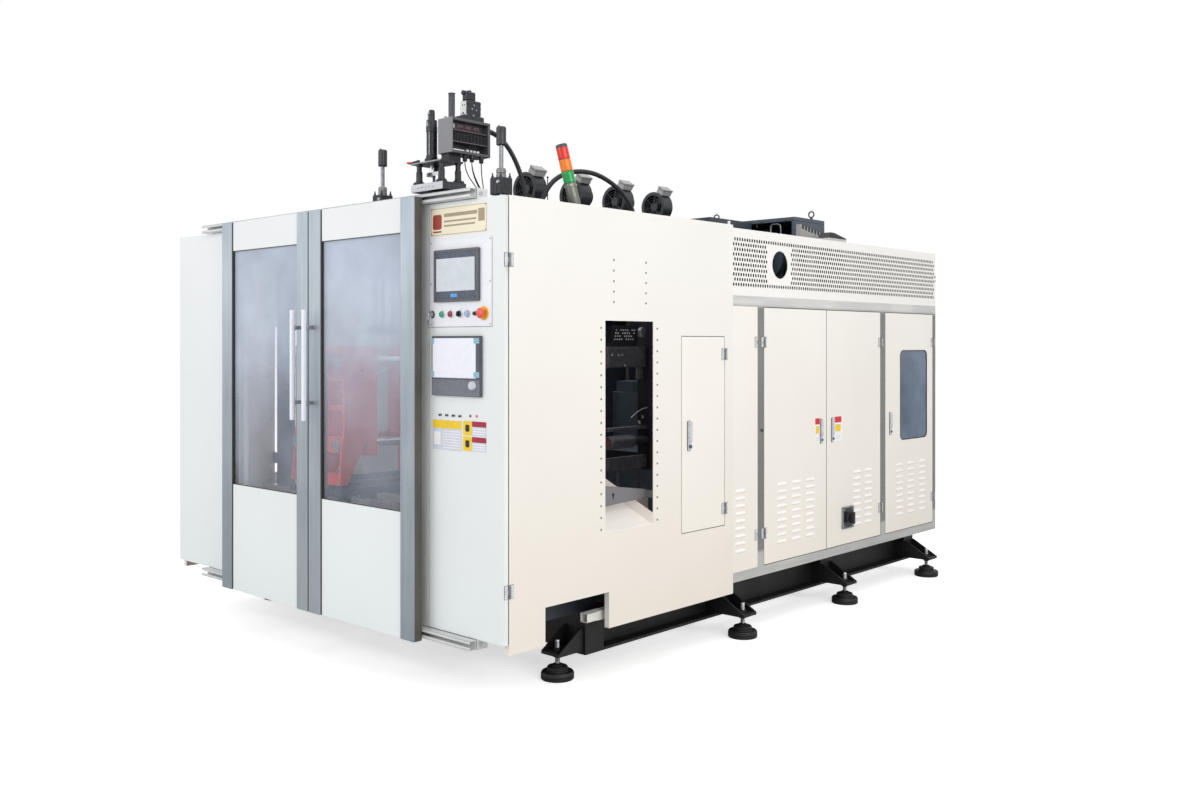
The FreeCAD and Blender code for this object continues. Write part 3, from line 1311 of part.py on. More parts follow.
def front_platen(x):
    """The ribbed front platen: a web with pockets open to the front, legs sloping to the front."""
    half = S.platen_half
    back_y, web_y, face_y = front + S.platen_back, front + S.platen_web, front + S.platen_face
    foot = lane_top + S.roller_gap
    depth = S.platen_web - S.platen_back
    knee = S.platen_knee
    profile = [(0, S.platen_top), (depth, S.platen_top), (depth, knee), (20, foot), (-30, foot),
               (-10, knee), (0, knee + 60)]
    body = padded("YZ", profile, half * 2, (x - half, back_y, 0))
    pockets = []
    edge, rib = S.platen_edge, S.platen_rib
    wide = (half * 2 - edge * 2 - rib * 2) / 3
    for column in range(3):
        for low, high in ((foot + 60, 985), (1075, 1225), (1250, 1390), (1415, 1550)):
            start = x - half + edge + (wide + rib) * column
            pockets.append(box((start, back_y - 60, low), (wide, depth + 20, high - low)))
    mould_plate = box((x - half, web_y, S.mould_plate_bottom),
                      (half * 2, face_y - web_y, S.platen_top - S.mould_plate_bottom))
    shape = fuse(cut(body, *pockets), mould_plate)
    holes = [rod((x + bx, back_y - 60, z), S.bar_radius, S.platen_face - S.platen_back + 61, "y") for bx,
             z in bars()]
    holes += [rod((x + bx, back_y - 60, z), S.bar_radius + S.nut_wall + S.roller_gap, 60, "y") for bx,
              z in bars()]
    return cut(shape, *holes, *mould_bolts(x, face_y - S.bolt_depth))


def mould_bolts(x, y):
    """The four threaded holes that a mould half is bolted to."""
    return [rod((x + side, y, z), S.bolt_radius, S.bolt_depth + 1, "y")
            for side in (-S.bolt_half, S.bolt_half) for z in (1120, 1420)]


def bars():
    return [(S.bar_half * side, z) for side in (-1, 1) for z in (S.bar_low, S.bar_high)]


def tie_bars(x):
    """Four bars from the front platen to the rear crosshead, which carries the clamp cylinder."""
    start = front + S.platen_back
    rear = front + S.rear_crosshead_front
    pieces = [rod((x + bx, start - 25, z), S.bar_radius, rear - start + 25 + S.rear_crosshead + 20, "y")
              for bx, z in bars()]
    pieces += [rod((x + bx, start - 25, z), S.bar_radius + S.nut_wall, 25, "y") for bx, z in bars()]
    head = box((x - S.platen_half, rear, S.mould_plate_bottom),
               (S.platen_half * 2, S.rear_crosshead, S.platen_top - S.mould_plate_bottom))
    middle = (S.bar_low + S.bar_high) / 2
    cylinder = rod((x, rear + S.rear_crosshead, middle), S.clamp_radius, S.clamp_length, "y")
    hole = rod((x, rear, middle), S.clamp_rod + S.running_clearance,
               S.rear_crosshead + S.clamp_length - 20, "y")
    return cut(fuse(*pieces, head, cylinder), hole)


def rear_platen(x):
    face = die_y * 2 - front - S.platen_face
    middle = (S.bar_low + S.bar_high) / 2
    rear = front + S.rear_crosshead_front
    rod_end = rear + S.rear_crosshead + S.clamp_length - 30
    low = lane_top + S.roller_gap
    body = fuse(
        box((x - S.platen_half, face, S.mould_plate_bottom),
            (S.platen_half * 2, S.rear_platen, S.platen_top - S.mould_plate_bottom)),
        box((x - 170, face + 20, low), (340, S.rear_platen - 20, S.mould_plate_bottom - low)),
        rod((x, face + S.rear_platen, middle), S.clamp_rod, rod_end - face - S.rear_platen, "y"))
    holes = [rod((x + bx, face, z), S.bar_radius + S.running_clearance, S.rear_platen, "y") for bx,
             z in bars()]
    return cut(body, *holes, *mould_bolts(x, face - 1))


for side_name, station_x in (("left", -S.station), ("right", S.station)):
    keep(f"{side_name}_carriage", carriage(station_x))
    keep(f"{side_name}_front_platen", front_platen(station_x))
    keep(f"{side_name}_tie_bars", tie_bars(station_x))
    keep(f"{side_name}_rear_platen", rear_platen(station_x))


# ---------------------------------------------------------------- chutes, hydraulic unit
def chute():
    """A sheet slope between two cheeks that leads a moulded container out of the window."""
    x = cover_back - S.chute_inner
    y = front + S.window_front + S.chute_gap
    width = span(S.window_front, S.window_rear) - S.chute_gap * 2
    low = S.window_bottom + S.chute_gap
    rise = S.chute_rise
    length = S.chute_inner + S.cover_depth - S.sheet
    profile = [(0, rise), (length, 0), (length, S.sheet), (0, rise + S.sheet)]
    slope = padded("XZ", profile, width - S.sheet * 2, (x, y + width - S.sheet, low))
    cheek = [(0, rise), (length, 0), (length, S.chute_cheek), (0, rise + S.chute_cheek)]
    cheeks = [padded("XZ", cheek, S.sheet, (x, yy, low)) for yy in (y + S.sheet, y + width)]
    return [slope, *cheeks]


right_chute = chute()
keep("outlet_chutes", group(*right_chute, *[mirrored(piece) for piece in right_chute]))


def hydraulic_unit():
    """Oil tank on the cabinet's cross-members with a pump motor on its lid."""
    low = S.band_bottom + S.band_height
    y = front + post_3 - S.tank_gap - S.tank_length
    middle = y + S.tank_length / 2
    lid_top = low + S.tank_height + S.tank_lid
    tank = box((S.tank_left, y, low), (S.tank_width, S.tank_length, S.tank_height))
    lid = box((S.tank_left - S.tank_lid, y - S.tank_lid, low + S.tank_height),
              (S.tank_width + S.tank_lid * 2, S.tank_length + S.tank_lid * 2, S.tank_lid))
    motor_x = S.tank_left + S.tank_width / 4
    motor = rod((motor_x, middle, lid_top), S.pump_motor_radius, S.pump_motor_height)
    pump = box((motor_x - S.pump_half, middle - S.pump_half, lid_top + S.pump_motor_height),
               (S.pump_half * 2, S.pump_half * 2, S.pump_half))
    filter_can = rod((S.tank_left + S.tank_width * 0.75, middle, lid_top), S.filter_radius, S.filter_height)
    return fuse(tank, lid, motor, pump, filter_can)


keep("hydraulic_unit", hydraulic_unit())


# ---------------------------------------------------------------- signal tower
tower_x = right - S.tower_right
tower_y = front + S.tower_place
lean_axis = Vector(0.6769, -0.7361, 0)
lean = Rotation(lean_axis, SIZES["tower_lean"])
lean_way = lean.multVec(Vector(0, 0, 1))


def tower_piece(low, radius, height):
    at = [tower_x + low * lean_way.x, tower_y + low * lean_way.y, S.cover_top + 10 + low * lean_way.z]
    thing = add("Part::Cylinder", "tower")
    bind(thing, "Radius", radius)
    bind(thing, "Height", height)
    return place(thing, at, lean)


base_h = S.tower_base_height
lens_h = S.lens_height
ring_top = S.ring_bottom + S.tube
foot_plate = box((tower_x - 45, tower_y - 45, ring_top), (90, 90, S.cover_top + 12 - ring_top))
foot_hub = rod((tower_x, tower_y, S.cover_top + 10), 24, 14)
keep("tower_body", group(
    fuse(foot_plate, foot_hub, tower_piece(sized(0), S.tower_radius - 1, base_h)),
    tower_piece(base_h + lens_h * 3, S.tower_radius - 1, S.tower_cap)))
keep("tower_lenses", group(*[tower_piece(base_h + lens_h * i, S.tower_radius, lens_h) for i in range(3)]))


# ---------------------------------------------------------------- conduits and hose
def routed_tube(points, radius):
    """A round tube along straight runs joined by tangent arcs, each as large as its runs allow."""
    corners = [Vector(*p) for p in points]
    edges = []
    start = corners[0]
    radii = []
    for before, corner, after in zip(corners, corners[1:], corners[2:]):
        into = (corner - before).normalize()
        out = (after - corner).normalize()
        half_turn = into.getAngle(out) / 2
        reach = 0.45 * min(before.distanceToPoint(corner), corner.distanceToPoint(after))
        bend = reach / math.tan(half_turn)
        radii.append(round(bend))
        a, b = corner - into * reach, corner + out * reach
        centre_way = (out - into).normalize()
        middle = corner + centre_way * (bend / math.cos(half_turn) - bend)
        edges.append(Part.LineSegment(start, a).toShape())
        edges.append(Part.Arc(a, middle, b).toShape())
        start = b
    edges.append(Part.LineSegment(start, corners[-1]).toShape())
    path = Part.Wire(edges)
    first = (corners[1] - corners[0]).normalize()
    section = Part.Wire(Part.Circle(corners[0], first, radius).toShape())
    tube = path.makePipeShell([section], True, False)
    print("tube", "radii", radii, "volume ratio", round(tube.Volume / (math.pi * radius**2 * path.Length),
                                                        4))
    return tube


def feature(name, shape):
    thing = add("Part::Feature", name)
    thing.Shape = shape
    return thing


fy = number(front)
manifold_end = fy + number(S.manifold_front) + number(S.manifold_length)
beam_top = number(S.platform_cross + S.tube * 2)
main_conduit = [
    (94, manifold_end, 2850), (94, manifold_end + 90, 2850), (114, manifold_end + 190, 2764),
    (146, manifold_end + 250, 2622), (178, manifold_end + 262, 2480), (194, manifold_end + 262, 2330),
    (200, manifold_end + 250, 2190), (200, manifold_end + 250, beam_top)]
cross_conduit = [
    (214, fy + 1384, beam_top), (214, fy + 1384, 2190), (220, fy + 1396, 2340), (222, fy + 1436, 2480),
    (222, fy + 1530, 2600), (222, fy + 1690, 2668), (222, fy + 1880, 2682), (222, fy + 2050, 2640),
    (222, fy + 2200, 2560), (222, fy + 2290, 2440), (222, fy + 2305, 2300), (213, fy + 2305, 2170),
    (213, fy + 2305, beam_top)]
conduit_r = number(S.conduit_radius)
hose_z = number(plate_2_top) + number(S.hose_radius)
hose_y = fy + number(S.die_place)
red_route = [
    (-105, hose_y - 70, hose_z), (-150, hose_y - 70, hose_z), (-200, hose_y - 66, hose_z + 6),
    (-238, hose_y - 40, hose_z + 12), (-246, hose_y, hose_z + 14), (-228, hose_y + 40, hose_z + 12),
    (-190, hose_y + 62, hose_z + 6), (-150, hose_y + 68, hose_z), (-105, hose_y + 68, hose_z)]
keep("conduits_and_hose", group(
    feature("conduit", routed_tube(main_conduit, conduit_r)),
    feature("conduit", routed_tube(cross_conduit, conduit_r)),
    feature("hose", routed_tube(red_route, number(S.hose_radius)))))


# ---------------------------------------------------------------- checks and export
doc.recompute()
faults = []
for thing in doc.Objects:
    if {"Invalid", "Error"} & set(thing.State):
        faults.append(f"{thing.Name} {thing.State}")
for label, thing in parts.items():
    shape = thing.Shape
    if shape.isNull() or not shape.isValid() or not shape.Solids:
        faults.append(f"{label} has no valid solid")
if faults:
    raise SystemExit("\n".join(faults))
if len(parts) > 60:
    raise SystemExit(f"{len(parts)} parts, more than 60")
os.makedirs("parts", exist_ok=True)
for label, thing in parts.items():
    thing.Shape.exportStep(f"parts/{label}.step")
print(len(parts), "parts written")
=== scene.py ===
import math

import bmesh
import bpy
from mathutils import Matrix, Vector


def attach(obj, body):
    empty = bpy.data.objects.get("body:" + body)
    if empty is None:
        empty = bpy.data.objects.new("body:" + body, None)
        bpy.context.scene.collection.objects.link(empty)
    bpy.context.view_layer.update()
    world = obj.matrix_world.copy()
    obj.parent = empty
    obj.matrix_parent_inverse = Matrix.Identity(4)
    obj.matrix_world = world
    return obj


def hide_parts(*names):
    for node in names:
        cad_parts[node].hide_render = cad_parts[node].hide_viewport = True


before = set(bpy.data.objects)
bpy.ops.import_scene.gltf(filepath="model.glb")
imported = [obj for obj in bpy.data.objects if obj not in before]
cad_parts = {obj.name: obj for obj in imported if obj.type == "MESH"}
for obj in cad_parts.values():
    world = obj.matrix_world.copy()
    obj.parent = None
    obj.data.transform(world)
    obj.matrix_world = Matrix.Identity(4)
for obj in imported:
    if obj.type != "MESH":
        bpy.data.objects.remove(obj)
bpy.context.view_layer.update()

# Main planes of the machine in metres, as the frame has them.
RIGHT = 1.4545
FRONT = -1.9755
BACK = 2.1285
CABINET_FACE = 1.4425
COVER_BACK = 1.4245
DIE_Y = FRONT + 0.822


# ------------------------------------------------------------------ materials
def linear(colour):
    """An 0 to 255 display colour as the linear colour that shaders use."""
    values = []
    for part in colour:
        part = part / 255
        values.append(part / 12.92 if part <= 0.04045 else ((part + 0.055) / 1.055) ** 2.4)
    return (*values, 1.0)


def shade(colour, factor):
    return tuple(min(255, part * factor) for part in colour)


class Nodes:
    """Small helper that adds and links shader nodes."""

    def __init__(self, name):
        self.material = bpy.data.materials.new(name)
        self.material.use_nodes = True
        self.tree = self.material.node_tree
        self.shader = self.tree.nodes["Principled BSDF"]
        self.place = self.add("ShaderNodeTexCoord").outputs["Object"]

    def add(self, kind, **values):
        node = self.tree.nodes.new(kind)
        for key, value in values.items():
            setattr(node, key, value)
        return node

    def link(self, start, end):
        self.tree.links.new(start, end)

    def noise(self, scale, detail=3.0, stretch=None, roughness=0.5):
        node = self.add("ShaderNodeTexNoise")
        node.inputs["Scale"].default_value = scale
        node.inputs["Detail"].default_value = detail
        node.inputs["Roughness"].default_value = roughness
        if stretch:
            mapping = self.add("ShaderNodeMapping")
            mapping.inputs["Scale"].default_value = stretch
            self.link(self.place, mapping.inputs["Vector"])
            self.link(mapping.outputs["Vector"], node.inputs["Vector"])
        else:
            self.link(self.place, node.inputs["Vector"])
        return node.outputs["Fac"]

    def ramp(self, source, stops):
        node = self.add("ShaderNodeValToRGB")
        ramp = node.color_ramp
        while len(ramp.elements) < len(stops):
            ramp.elements.new(0.5)
        for element, (position, colour) in zip(ramp.elements, stops):
            element.position = position
            element.color = linear(colour)
        self.link(source, node.inputs["Fac"])
        return node.outputs["Color"]

    def spread(self, source, low, high, start=0.35, end=0.65):
        node = self.add("ShaderNodeMapRange")
        node.inputs["From Min"].default_value = start
        node.inputs["From Max"].default_value = end
        node.inputs["To Min"].default_value = low
        node.inputs["To Max"].default_value = high
        self.link(source, node.inputs["Value"])
        return node.outputs["Result"]

    def bump(self, source, strength, distance):
        node = self.add("ShaderNodeBump")
        node.inputs["Strength"].default_value = strength
        node.inputs["Distance"].default_value = distance
        self.link(source, node.inputs["Height"])
        self.link(node.outputs["Normal"], self.shader.inputs["Normal"])


def powder_paint(name, colour, rough=0.42, tone=0.02, peel=0.25, coat=0.0, low=None):
    """Sprayed paint: faint clouds in its tone, orange peel, and a slightly uneven sheen.
    'low' is painted shade: the darker colour that it drifts to near the floor."""
    n = Nodes(name)
    clouds = n.noise(1.3, 4.0)
    stops = [(0.3, shade(colour, 1 - tone)), (0.7, shade(colour, 1 + tone))]
    base = n.ramp(clouds, stops)
    # painted shade: blend towards the darker 'low' colour near the floor
    if low:
        split = n.add("ShaderNodeSeparateXYZ")
        n.link(n.place, split.inputs["Vector"])
        height = n.spread(split.outputs["Z"], 0.0, 1.0, 0.3, 2.0)
        mix = n.add("ShaderNodeMix", data_type="RGBA")
        n.link(height, mix.inputs["Factor"])
        n.link(n.ramp(clouds, [(0.3, shade(low, 1 - tone)), (0.7, shade(low, 1 + tone))]), mix.inputs["A"])
        n.link(base, mix.inputs["B"])
        base = mix.outputs["Result"]
    n.link(base, n.shader.inputs["Base Color"])
    n.link(n.spread(n.noise(6.0), rough - 0.05, rough + 0.06), n.shader.inputs["Roughness"])
    n.bump(n.noise(420.0, 2.0), peel, 0.0002)
    n.shader.inputs["Coat Weight"].default_value = coat
    n.shader.inputs["Coat Roughness"].default_value = 0.25
    return n.material


def brushed_steel(name, colour, stretch, rough=0.34, metallic=0.75, tone=0.10, low=None, span=(0.3, 2.2)):
    """Ground sheet steel: fine streaks along one way, slow clouds, and a streaky roughness.
    'low' is painted shade: the factor that its tone falls by towards the foot of the height span, or a list of (height,
    factor) stops."""
    n = Nodes(name)
    streaks = n.noise(1.0, 6.0, stretch, 0.7)
    clouds = n.noise(1.7, 3.0)
    mix = n.add("ShaderNodeMix", data_type="RGBA", blend_type="MULTIPLY")
    mix.inputs["Factor"].default_value = 1.0
    n.link(n.ramp(streaks, [(0.3, shade(colour, 1 - tone)), (0.7, shade(colour, 1 + tone))]), mix.inputs["A"])
    n.link(n.ramp(clouds, [(0.3, (222, 224, 229)), (0.7, (255, 255, 255))]), mix.inputs["B"])
    result = mix.outputs["Result"]
    # painted shade: darken the tone by height
    if low:
        stops = low if isinstance(low, list) else [(0.0, low), (1.0, 1.0)]
        split = n.add("ShaderNodeSeparateXYZ")
        n.link(n.place, split.inputs["Vector"])
        height = n.spread(split.outputs["Z"], 0.0, 1.0, *span)
        fall = n.add("ShaderNodeMix", data_type="RGBA", blend_type="MULTIPLY")
        fall.inputs["Factor"].default_value = 1.0
        n.link(result, fall.inputs["A"])
        n.link(n.ramp(height, [(at, shade((255, 255, 255), tone)) for at, tone in stops]), fall.inputs["B"])
        result = fall.outputs["Result"]
    n.link(result, n.shader.inputs["Base Color"])
    n.shader.inputs["Metallic"].default_value = metallic
    n.link(n.spread(streaks, rough - 0.08, rough + 0.10), n.shader.inputs["Roughness"])
    n.bump(streaks, 0.10, 0.0001)
    return n.material


def worked_metal(name, colour, rough=0.35, metallic=1.0, tone=0.12, scale=30.0):
    """Turned, milled or plated metal with small uneven patches."""
    n = Nodes(name)
    patches = n.noise(scale, 5.0)
    n.link(n.ramp(patches, [(0.3, shade(colour, 1 - tone)), (0.7, shade(colour, 1 + tone))]), n.shader.inputs["Base Color"])
    n.shader.inputs["Metallic"].default_value = metallic
    n.link(n.spread(n.noise(scale * 3), rough - 0.08, rough + 0.1), n.shader.inputs["Roughness"])
    n.bump(n.noise(scale * 12), 0.12, 0.0001)
    return n.material


def moulded(name, colour, rough=0.4, tone=0.05, grain=900.0, strength=0.2, scale=25.0):
    """Moulded plastic or rubber with a fine grain."""
    n = Nodes(name)
    n.link(n.ramp(n.noise(scale), [(0.3, shade(colour, 1 - tone)), (0.7, shade(colour, 1 + tone))]), n.shader.inputs["Base Color"])
    n.link(n.spread(n.noise(scale * 4), rough - 0.06, rough + 0.08), n.shader.inputs["Roughness"])
    n.bump(n.noise(grain, 2.0), strength, 0.0001)
    return n.material


def clear_sheet(name, colour, alpha, rough=0.06, tone=0.1, top=None):
    """Clear sheet with a faint milky veil in slow patches, partly its own haze and partly painted reflection; 'top' is
    the veil at head height and above, a painted reflection that grows with height.
    """
    n = Nodes(name)
    clouds = n.noise(2.2, 4.0)
    n.link(n.ramp(clouds, [(0.3, shade(colour, 1 - tone)), (0.7, shade(colour, 1 + tone))]), n.shader.inputs["Base Color"])
    veil = n.spread(clouds, alpha - 0.05, alpha + 0.05)
    # painted reflection: the veil grows with height up to 'top'
    if top:
        split = n.add("ShaderNodeSeparateXYZ")
        n.link(n.place, split.inputs["Vector"])
        rise = n.spread(split.outputs["Z"], 0.0, top - alpha, 0.8, 2.1)
        both = n.add("ShaderNodeMath", operation="ADD")
        n.link(veil, both.inputs[0])
        n.link(rise, both.inputs[1])
        veil = both.outputs["Value"]
    n.link(veil, n.shader.inputs["Alpha"])
    n.link(n.spread(n.noise(9.0), rough, rough + 0.06), n.shader.inputs["Roughness"])
    return n.material


def lens(name, colour, glow):
    """Coloured lens plastic with moulded ribs inside."""
    n = Nodes(name)
    wave = n.add("ShaderNodeTexWave", wave_type="BANDS", bands_direction="Z")
    wave.inputs["Scale"].default_value = 60.0
    wave.inputs["Distortion"].default_value = 0.4
    n.link(n.place, wave.inputs["Vector"])
    shader_colour = n.ramp(wave.outputs["Fac"], [(0.1, shade(colour, 0.86)), (0.9, shade(colour, 1.06))])
    n.link(shader_colour, n.shader.inputs["Base Color"])
    n.link(n.spread(n.noise(30.0), 0.12, 0.22), n.shader.inputs["Roughness"])
    n.shader.inputs["Emission Color"].default_value = linear(colour)
    n.shader.inputs["Emission Strength"].default_value = glow
    n.shader.inputs["Transmission Weight"].default_value = 0.15
    return n.material


# side, front and door-leaf paints turn darker near the floor as painted shade
side_paint = powder_paint("side_paint", (243, 241, 237), 0.45, 0.008, low=(234, 227, 217))
front_paint = powder_paint("front_paint", (236, 238, 238), 0.42, 0.010, low=(231, 236, 236))
guard_paint = powder_paint("guard_paint", (246, 244, 241), 0.45, 0.008)
leaf_paint = powder_paint("leaf_paint", (246, 243, 238), 0.45, 0.010, low=(238, 232, 223))
inside_paint = powder_paint("inside_paint", (214, 210, 202), 0.55, 0.03)
# door stiles: painted shade, their tone falls to 0.80 towards the floor
upright_steel = brushed_steel("upright_steel", (196, 206, 213), (70, 70, 2.0), 0.36, 0.5, 0.05, 0.80)
# cabinet frame: painted shade by height, darkest on the posts between the service doors, lighter on the low band, full
# tone on the top band
band_steel = brushed_steel("band_steel", (228, 227, 223), (70, 2.0, 70), 0.4, 0.4, 0.06,
                           [(0.172, 0.88), (0.180, 0.62), (0.720, 0.62), (0.728, 1.0)], (0.0, 2.5))
post_steel = brushed_steel("post_steel", (138, 145, 147), (70, 70, 2.0), 0.4, 0.55)
# side walls of the door stiles: the same steel as their faces, painted dark brown-grey as painted shade
shaded_return_steel = brushed_steel("shaded_return_steel", (96, 91, 86), (60, 60, 2.0), 0.5, 0.2)
rail_steel = brushed_steel("rail_steel", (222, 224, 234), (2.0, 60, 60), 0.32, 0.35)
bright_steel = worked_metal("bright_steel", (214, 216, 220), 0.22, 0.95, 0.05)
grey_metal = worked_metal("grey_metal", (150, 152, 156), 0.4, 0.8)
zinc = worked_metal("zinc", (186, 188, 192), 0.35, 0.85, 0.10, 60.0)
black_frame = powder_paint("black_frame", (5, 5, 6), 0.55, 0.10, 0.5)
foot_black = powder_paint("foot_black", (4, 4, 5), 0.55, 0.12, 0.4)
machine_black = powder_paint("machine_black", (28, 33, 44), 0.46, 0.12, 0.4)
blower_black = powder_paint("blower_black", (50, 54, 60), 0.40, 0.12, 0.4)
box_grey = powder_paint("box_grey", (158, 158, 158), 0.38, 0.06, 0.3)
drive_blue = powder_paint("drive_blue", (66, 76, 86), 0.42, 0.08, 0.4)
clamp_red = powder_paint("clamp_red", (252, 70, 44), 0.40, 0.05, 0.4)
chute_steel = powder_paint("chute_steel", (252, 247, 241), 0.50, 0.01)
plate_white = powder_paint("plate_white", (240, 242, 248), 0.30, 0.010, 0.1)
plate_cream = powder_paint("plate_cream", (244, 234, 208), 0.35, 0.02, 0.1)
screen_dark = moulded("screen_dark", (78, 84, 100), 0.25)
screen_frame = worked_metal("screen_frame", (96, 97, 101), 0.35, 0.4, 0.04)
screen_glass = moulded("screen_glass", (212, 218, 226), 0.12, 0.02)
screen_blue = moulded("screen_blue", (88, 168, 232), 0.2)
controller_grey = moulded("controller_grey", (80, 83, 92), 0.42)
controller_band = moulded("controller_band", (112, 116, 126), 0.42)
display_white = moulded("display_white", (242, 243, 252), 0.2, 0.008)
knob_grey = moulded("knob_grey", (198, 203, 210), 0.35)
black_plastic = moulded("black_plastic", (34, 35, 40), 0.35)
rubber = moulded("rubber", (28, 28, 30), 0.6)
green_plastic = moulded("green_plastic", (22, 156, 116), 0.25)
dark_red_plastic = moulded("dark_red_plastic", (150, 44, 66), 0.25)
pale_blue_plastic = moulded("pale_blue_plastic", (158, 178, 214), 0.25)
mushroom_red = moulded("mushroom_red", (226, 84, 76), 0.3)
ring_yellow = moulded("ring_yellow", (246, 182, 52), 0.35)
white_plastic = moulded("white_plastic", (240, 240, 240), 0.35)
hose_red = moulded("hose_red", (222, 62, 48), 0.35)
conduit_black = moulded("conduit_black", (38, 39, 44), 0.5)
field_red = moulded("field_red", (214, 36, 44), 0.4, 0.02)
field_yellow = moulded("field_yellow", (244, 206, 40), 0.4, 0.02)
field_silver = moulded("field_silver", (212, 215, 224), 0.35, 0.02)
field_crimson = moulded("field_crimson", (166, 32, 58), 0.4, 0.02)
unit_black = worked_metal("unit_black", (52, 53, 58), 0.42, 0.35, 0.14, 40.0)
collar_grey = worked_metal("collar_grey", (132, 132, 132), 0.45, 0.5, 0.10, 60.0)
rod_grey = worked_metal("rod_grey", (120, 122, 126), 0.28, 0.9, 0.08, 40.0)
stop_black = worked_metal("stop_black", (62, 62, 66), 0.42, 0.4, 0.10, 40.0)
plate_dark = worked_metal("plate_dark", (66, 68, 74), 0.38, 0.45, 0.12, 30.0)
milled_face = brushed_steel("milled_face", (222, 224, 228), (3.0, 90, 90), 0.34, 0.35, 0.08)
manifold_end = powder_paint("manifold_end", (142, 142, 146), 0.42, 0.03, 0.3)
manifold_grey = powder_paint("manifold_grey", (88, 87, 90), 0.42, 0.05, 0.3)
transducer_grey = worked_metal("transducer_grey", (84, 86, 92), 0.4, 0.5, 0.08, 50.0)
tower_grey = worked_metal("tower_grey", (120, 122, 112), 0.35, 0.5, 0.05, 20.0)
cap_grey = moulded("cap_grey", (72, 74, 74), 0.4)
lens_red = lens("lens_red", (226, 44, 24), 0.12)
lens_orange = lens("lens_orange", (246, 128, 8), 0.12)
lens_green = lens("lens_green", (4, 158, 74), 0.12)
# door panes: the milky veil is mostly painted reflection, strongest at the top
door_sheet = clear_sheet("door_sheet", (210, 221, 238), 0.09, 0.05, 0.05, top=0.60)
sight_sheet = clear_sheet("sight_sheet", (98, 114, 134), 0.90, 0.10, 0.2)
# dark colour for the gaps round the doors: painted shade
seam_shade = moulded("seam_shade", (70, 62, 56), 0.6)
# navy black for the dim inside of the cabinet and the blower drums: painted shade; also the plate behind the terminal
# strips
lining = moulded("lining", (24, 28, 38), 0.8, 0.1)
hinge_zinc = worked_metal("hinge_zinc", (220, 221, 223), 0.35, 0.4, 0.08, 60.0)
louvre_shadow = moulded("louvre_shadow", (222, 214, 205), 0.6, 0.02)
# louvre hoods a little whiter than the leaf paint: painted highlight
louvre_highlight_paint = powder_paint("louvre_highlight_paint", (252, 250, 246), 0.42, 0.006)
cream_steel = brushed_steel("cream_steel", (226, 227, 224), (2.0, 60, 60), 0.36, 0.15, 0.03)
# mid grey for the flap over the chute: painted shade
flap_shade_grey = powder_paint("flap_shade_grey", (116, 114, 118), 0.4, 0.06, 0.3)
tube_grey = powder_paint("tube_grey", (226, 225, 220), 0.42, 0.03, 0.3)
apron_paint = powder_paint("apron_paint", (224, 218, 210), 0.5, 0.02)
# hinge knuckles: the same zinc as the leaves, darker as painted shade
shaded_knuckle_zinc = worked_metal("shaded_knuckle_zinc", (128, 129, 132), 0.35, 0.4, 0.08, 60.0)
grip_grey = worked_metal("grip_grey", (206, 209, 218), 0.3, 0.2, 0.03)
lock_teal = moulded("lock_teal", (64, 88, 96), 0.3)
field_white = moulded("field_white", (243, 243, 246), 0.4, 0.01)
emblem_brown = moulded("emblem_brown", (160, 62, 50), 0.4, 0.02)
line_brown = moulded("line_brown", (166, 150, 122), 0.4, 0.02)
tape_blue = moulded("tape_blue", (138, 188, 204), 0.4, 0.02)
# dark rubber for real gaskets, also painted shade along door gaps and round hinge leaves
gasket_and_edge_shade = moulded("gasket_and_edge_shade", (44, 40, 44), 0.6)
drum_black = moulded("drum_black", (42, 45, 50), 0.35, 0.08, 300.0)
rim_grey = moulded("rim_grey", (84, 88, 92), 0.35)
hood_grey = powder_paint("hood_grey", (176, 176, 176), 0.4, 0.04, 0.3)
hood_slot = moulded("hood_slot", (38, 38, 40), 0.5)
hood_blue = powder_paint("hood_blue", (74, 84, 97), 0.42, 0.06, 0.4)
rear_white = powder_paint("rear_white", (226, 224, 220), 0.42, 0.02, 0.3)
fitting_grey = worked_metal("fitting_grey", (96, 98, 106), 0.4, 0.3, 0.1, 30.0)
screw_dark = worked_metal("screw_dark", (120, 118, 114), 0.4, 0.3, 0.1, 60.0)


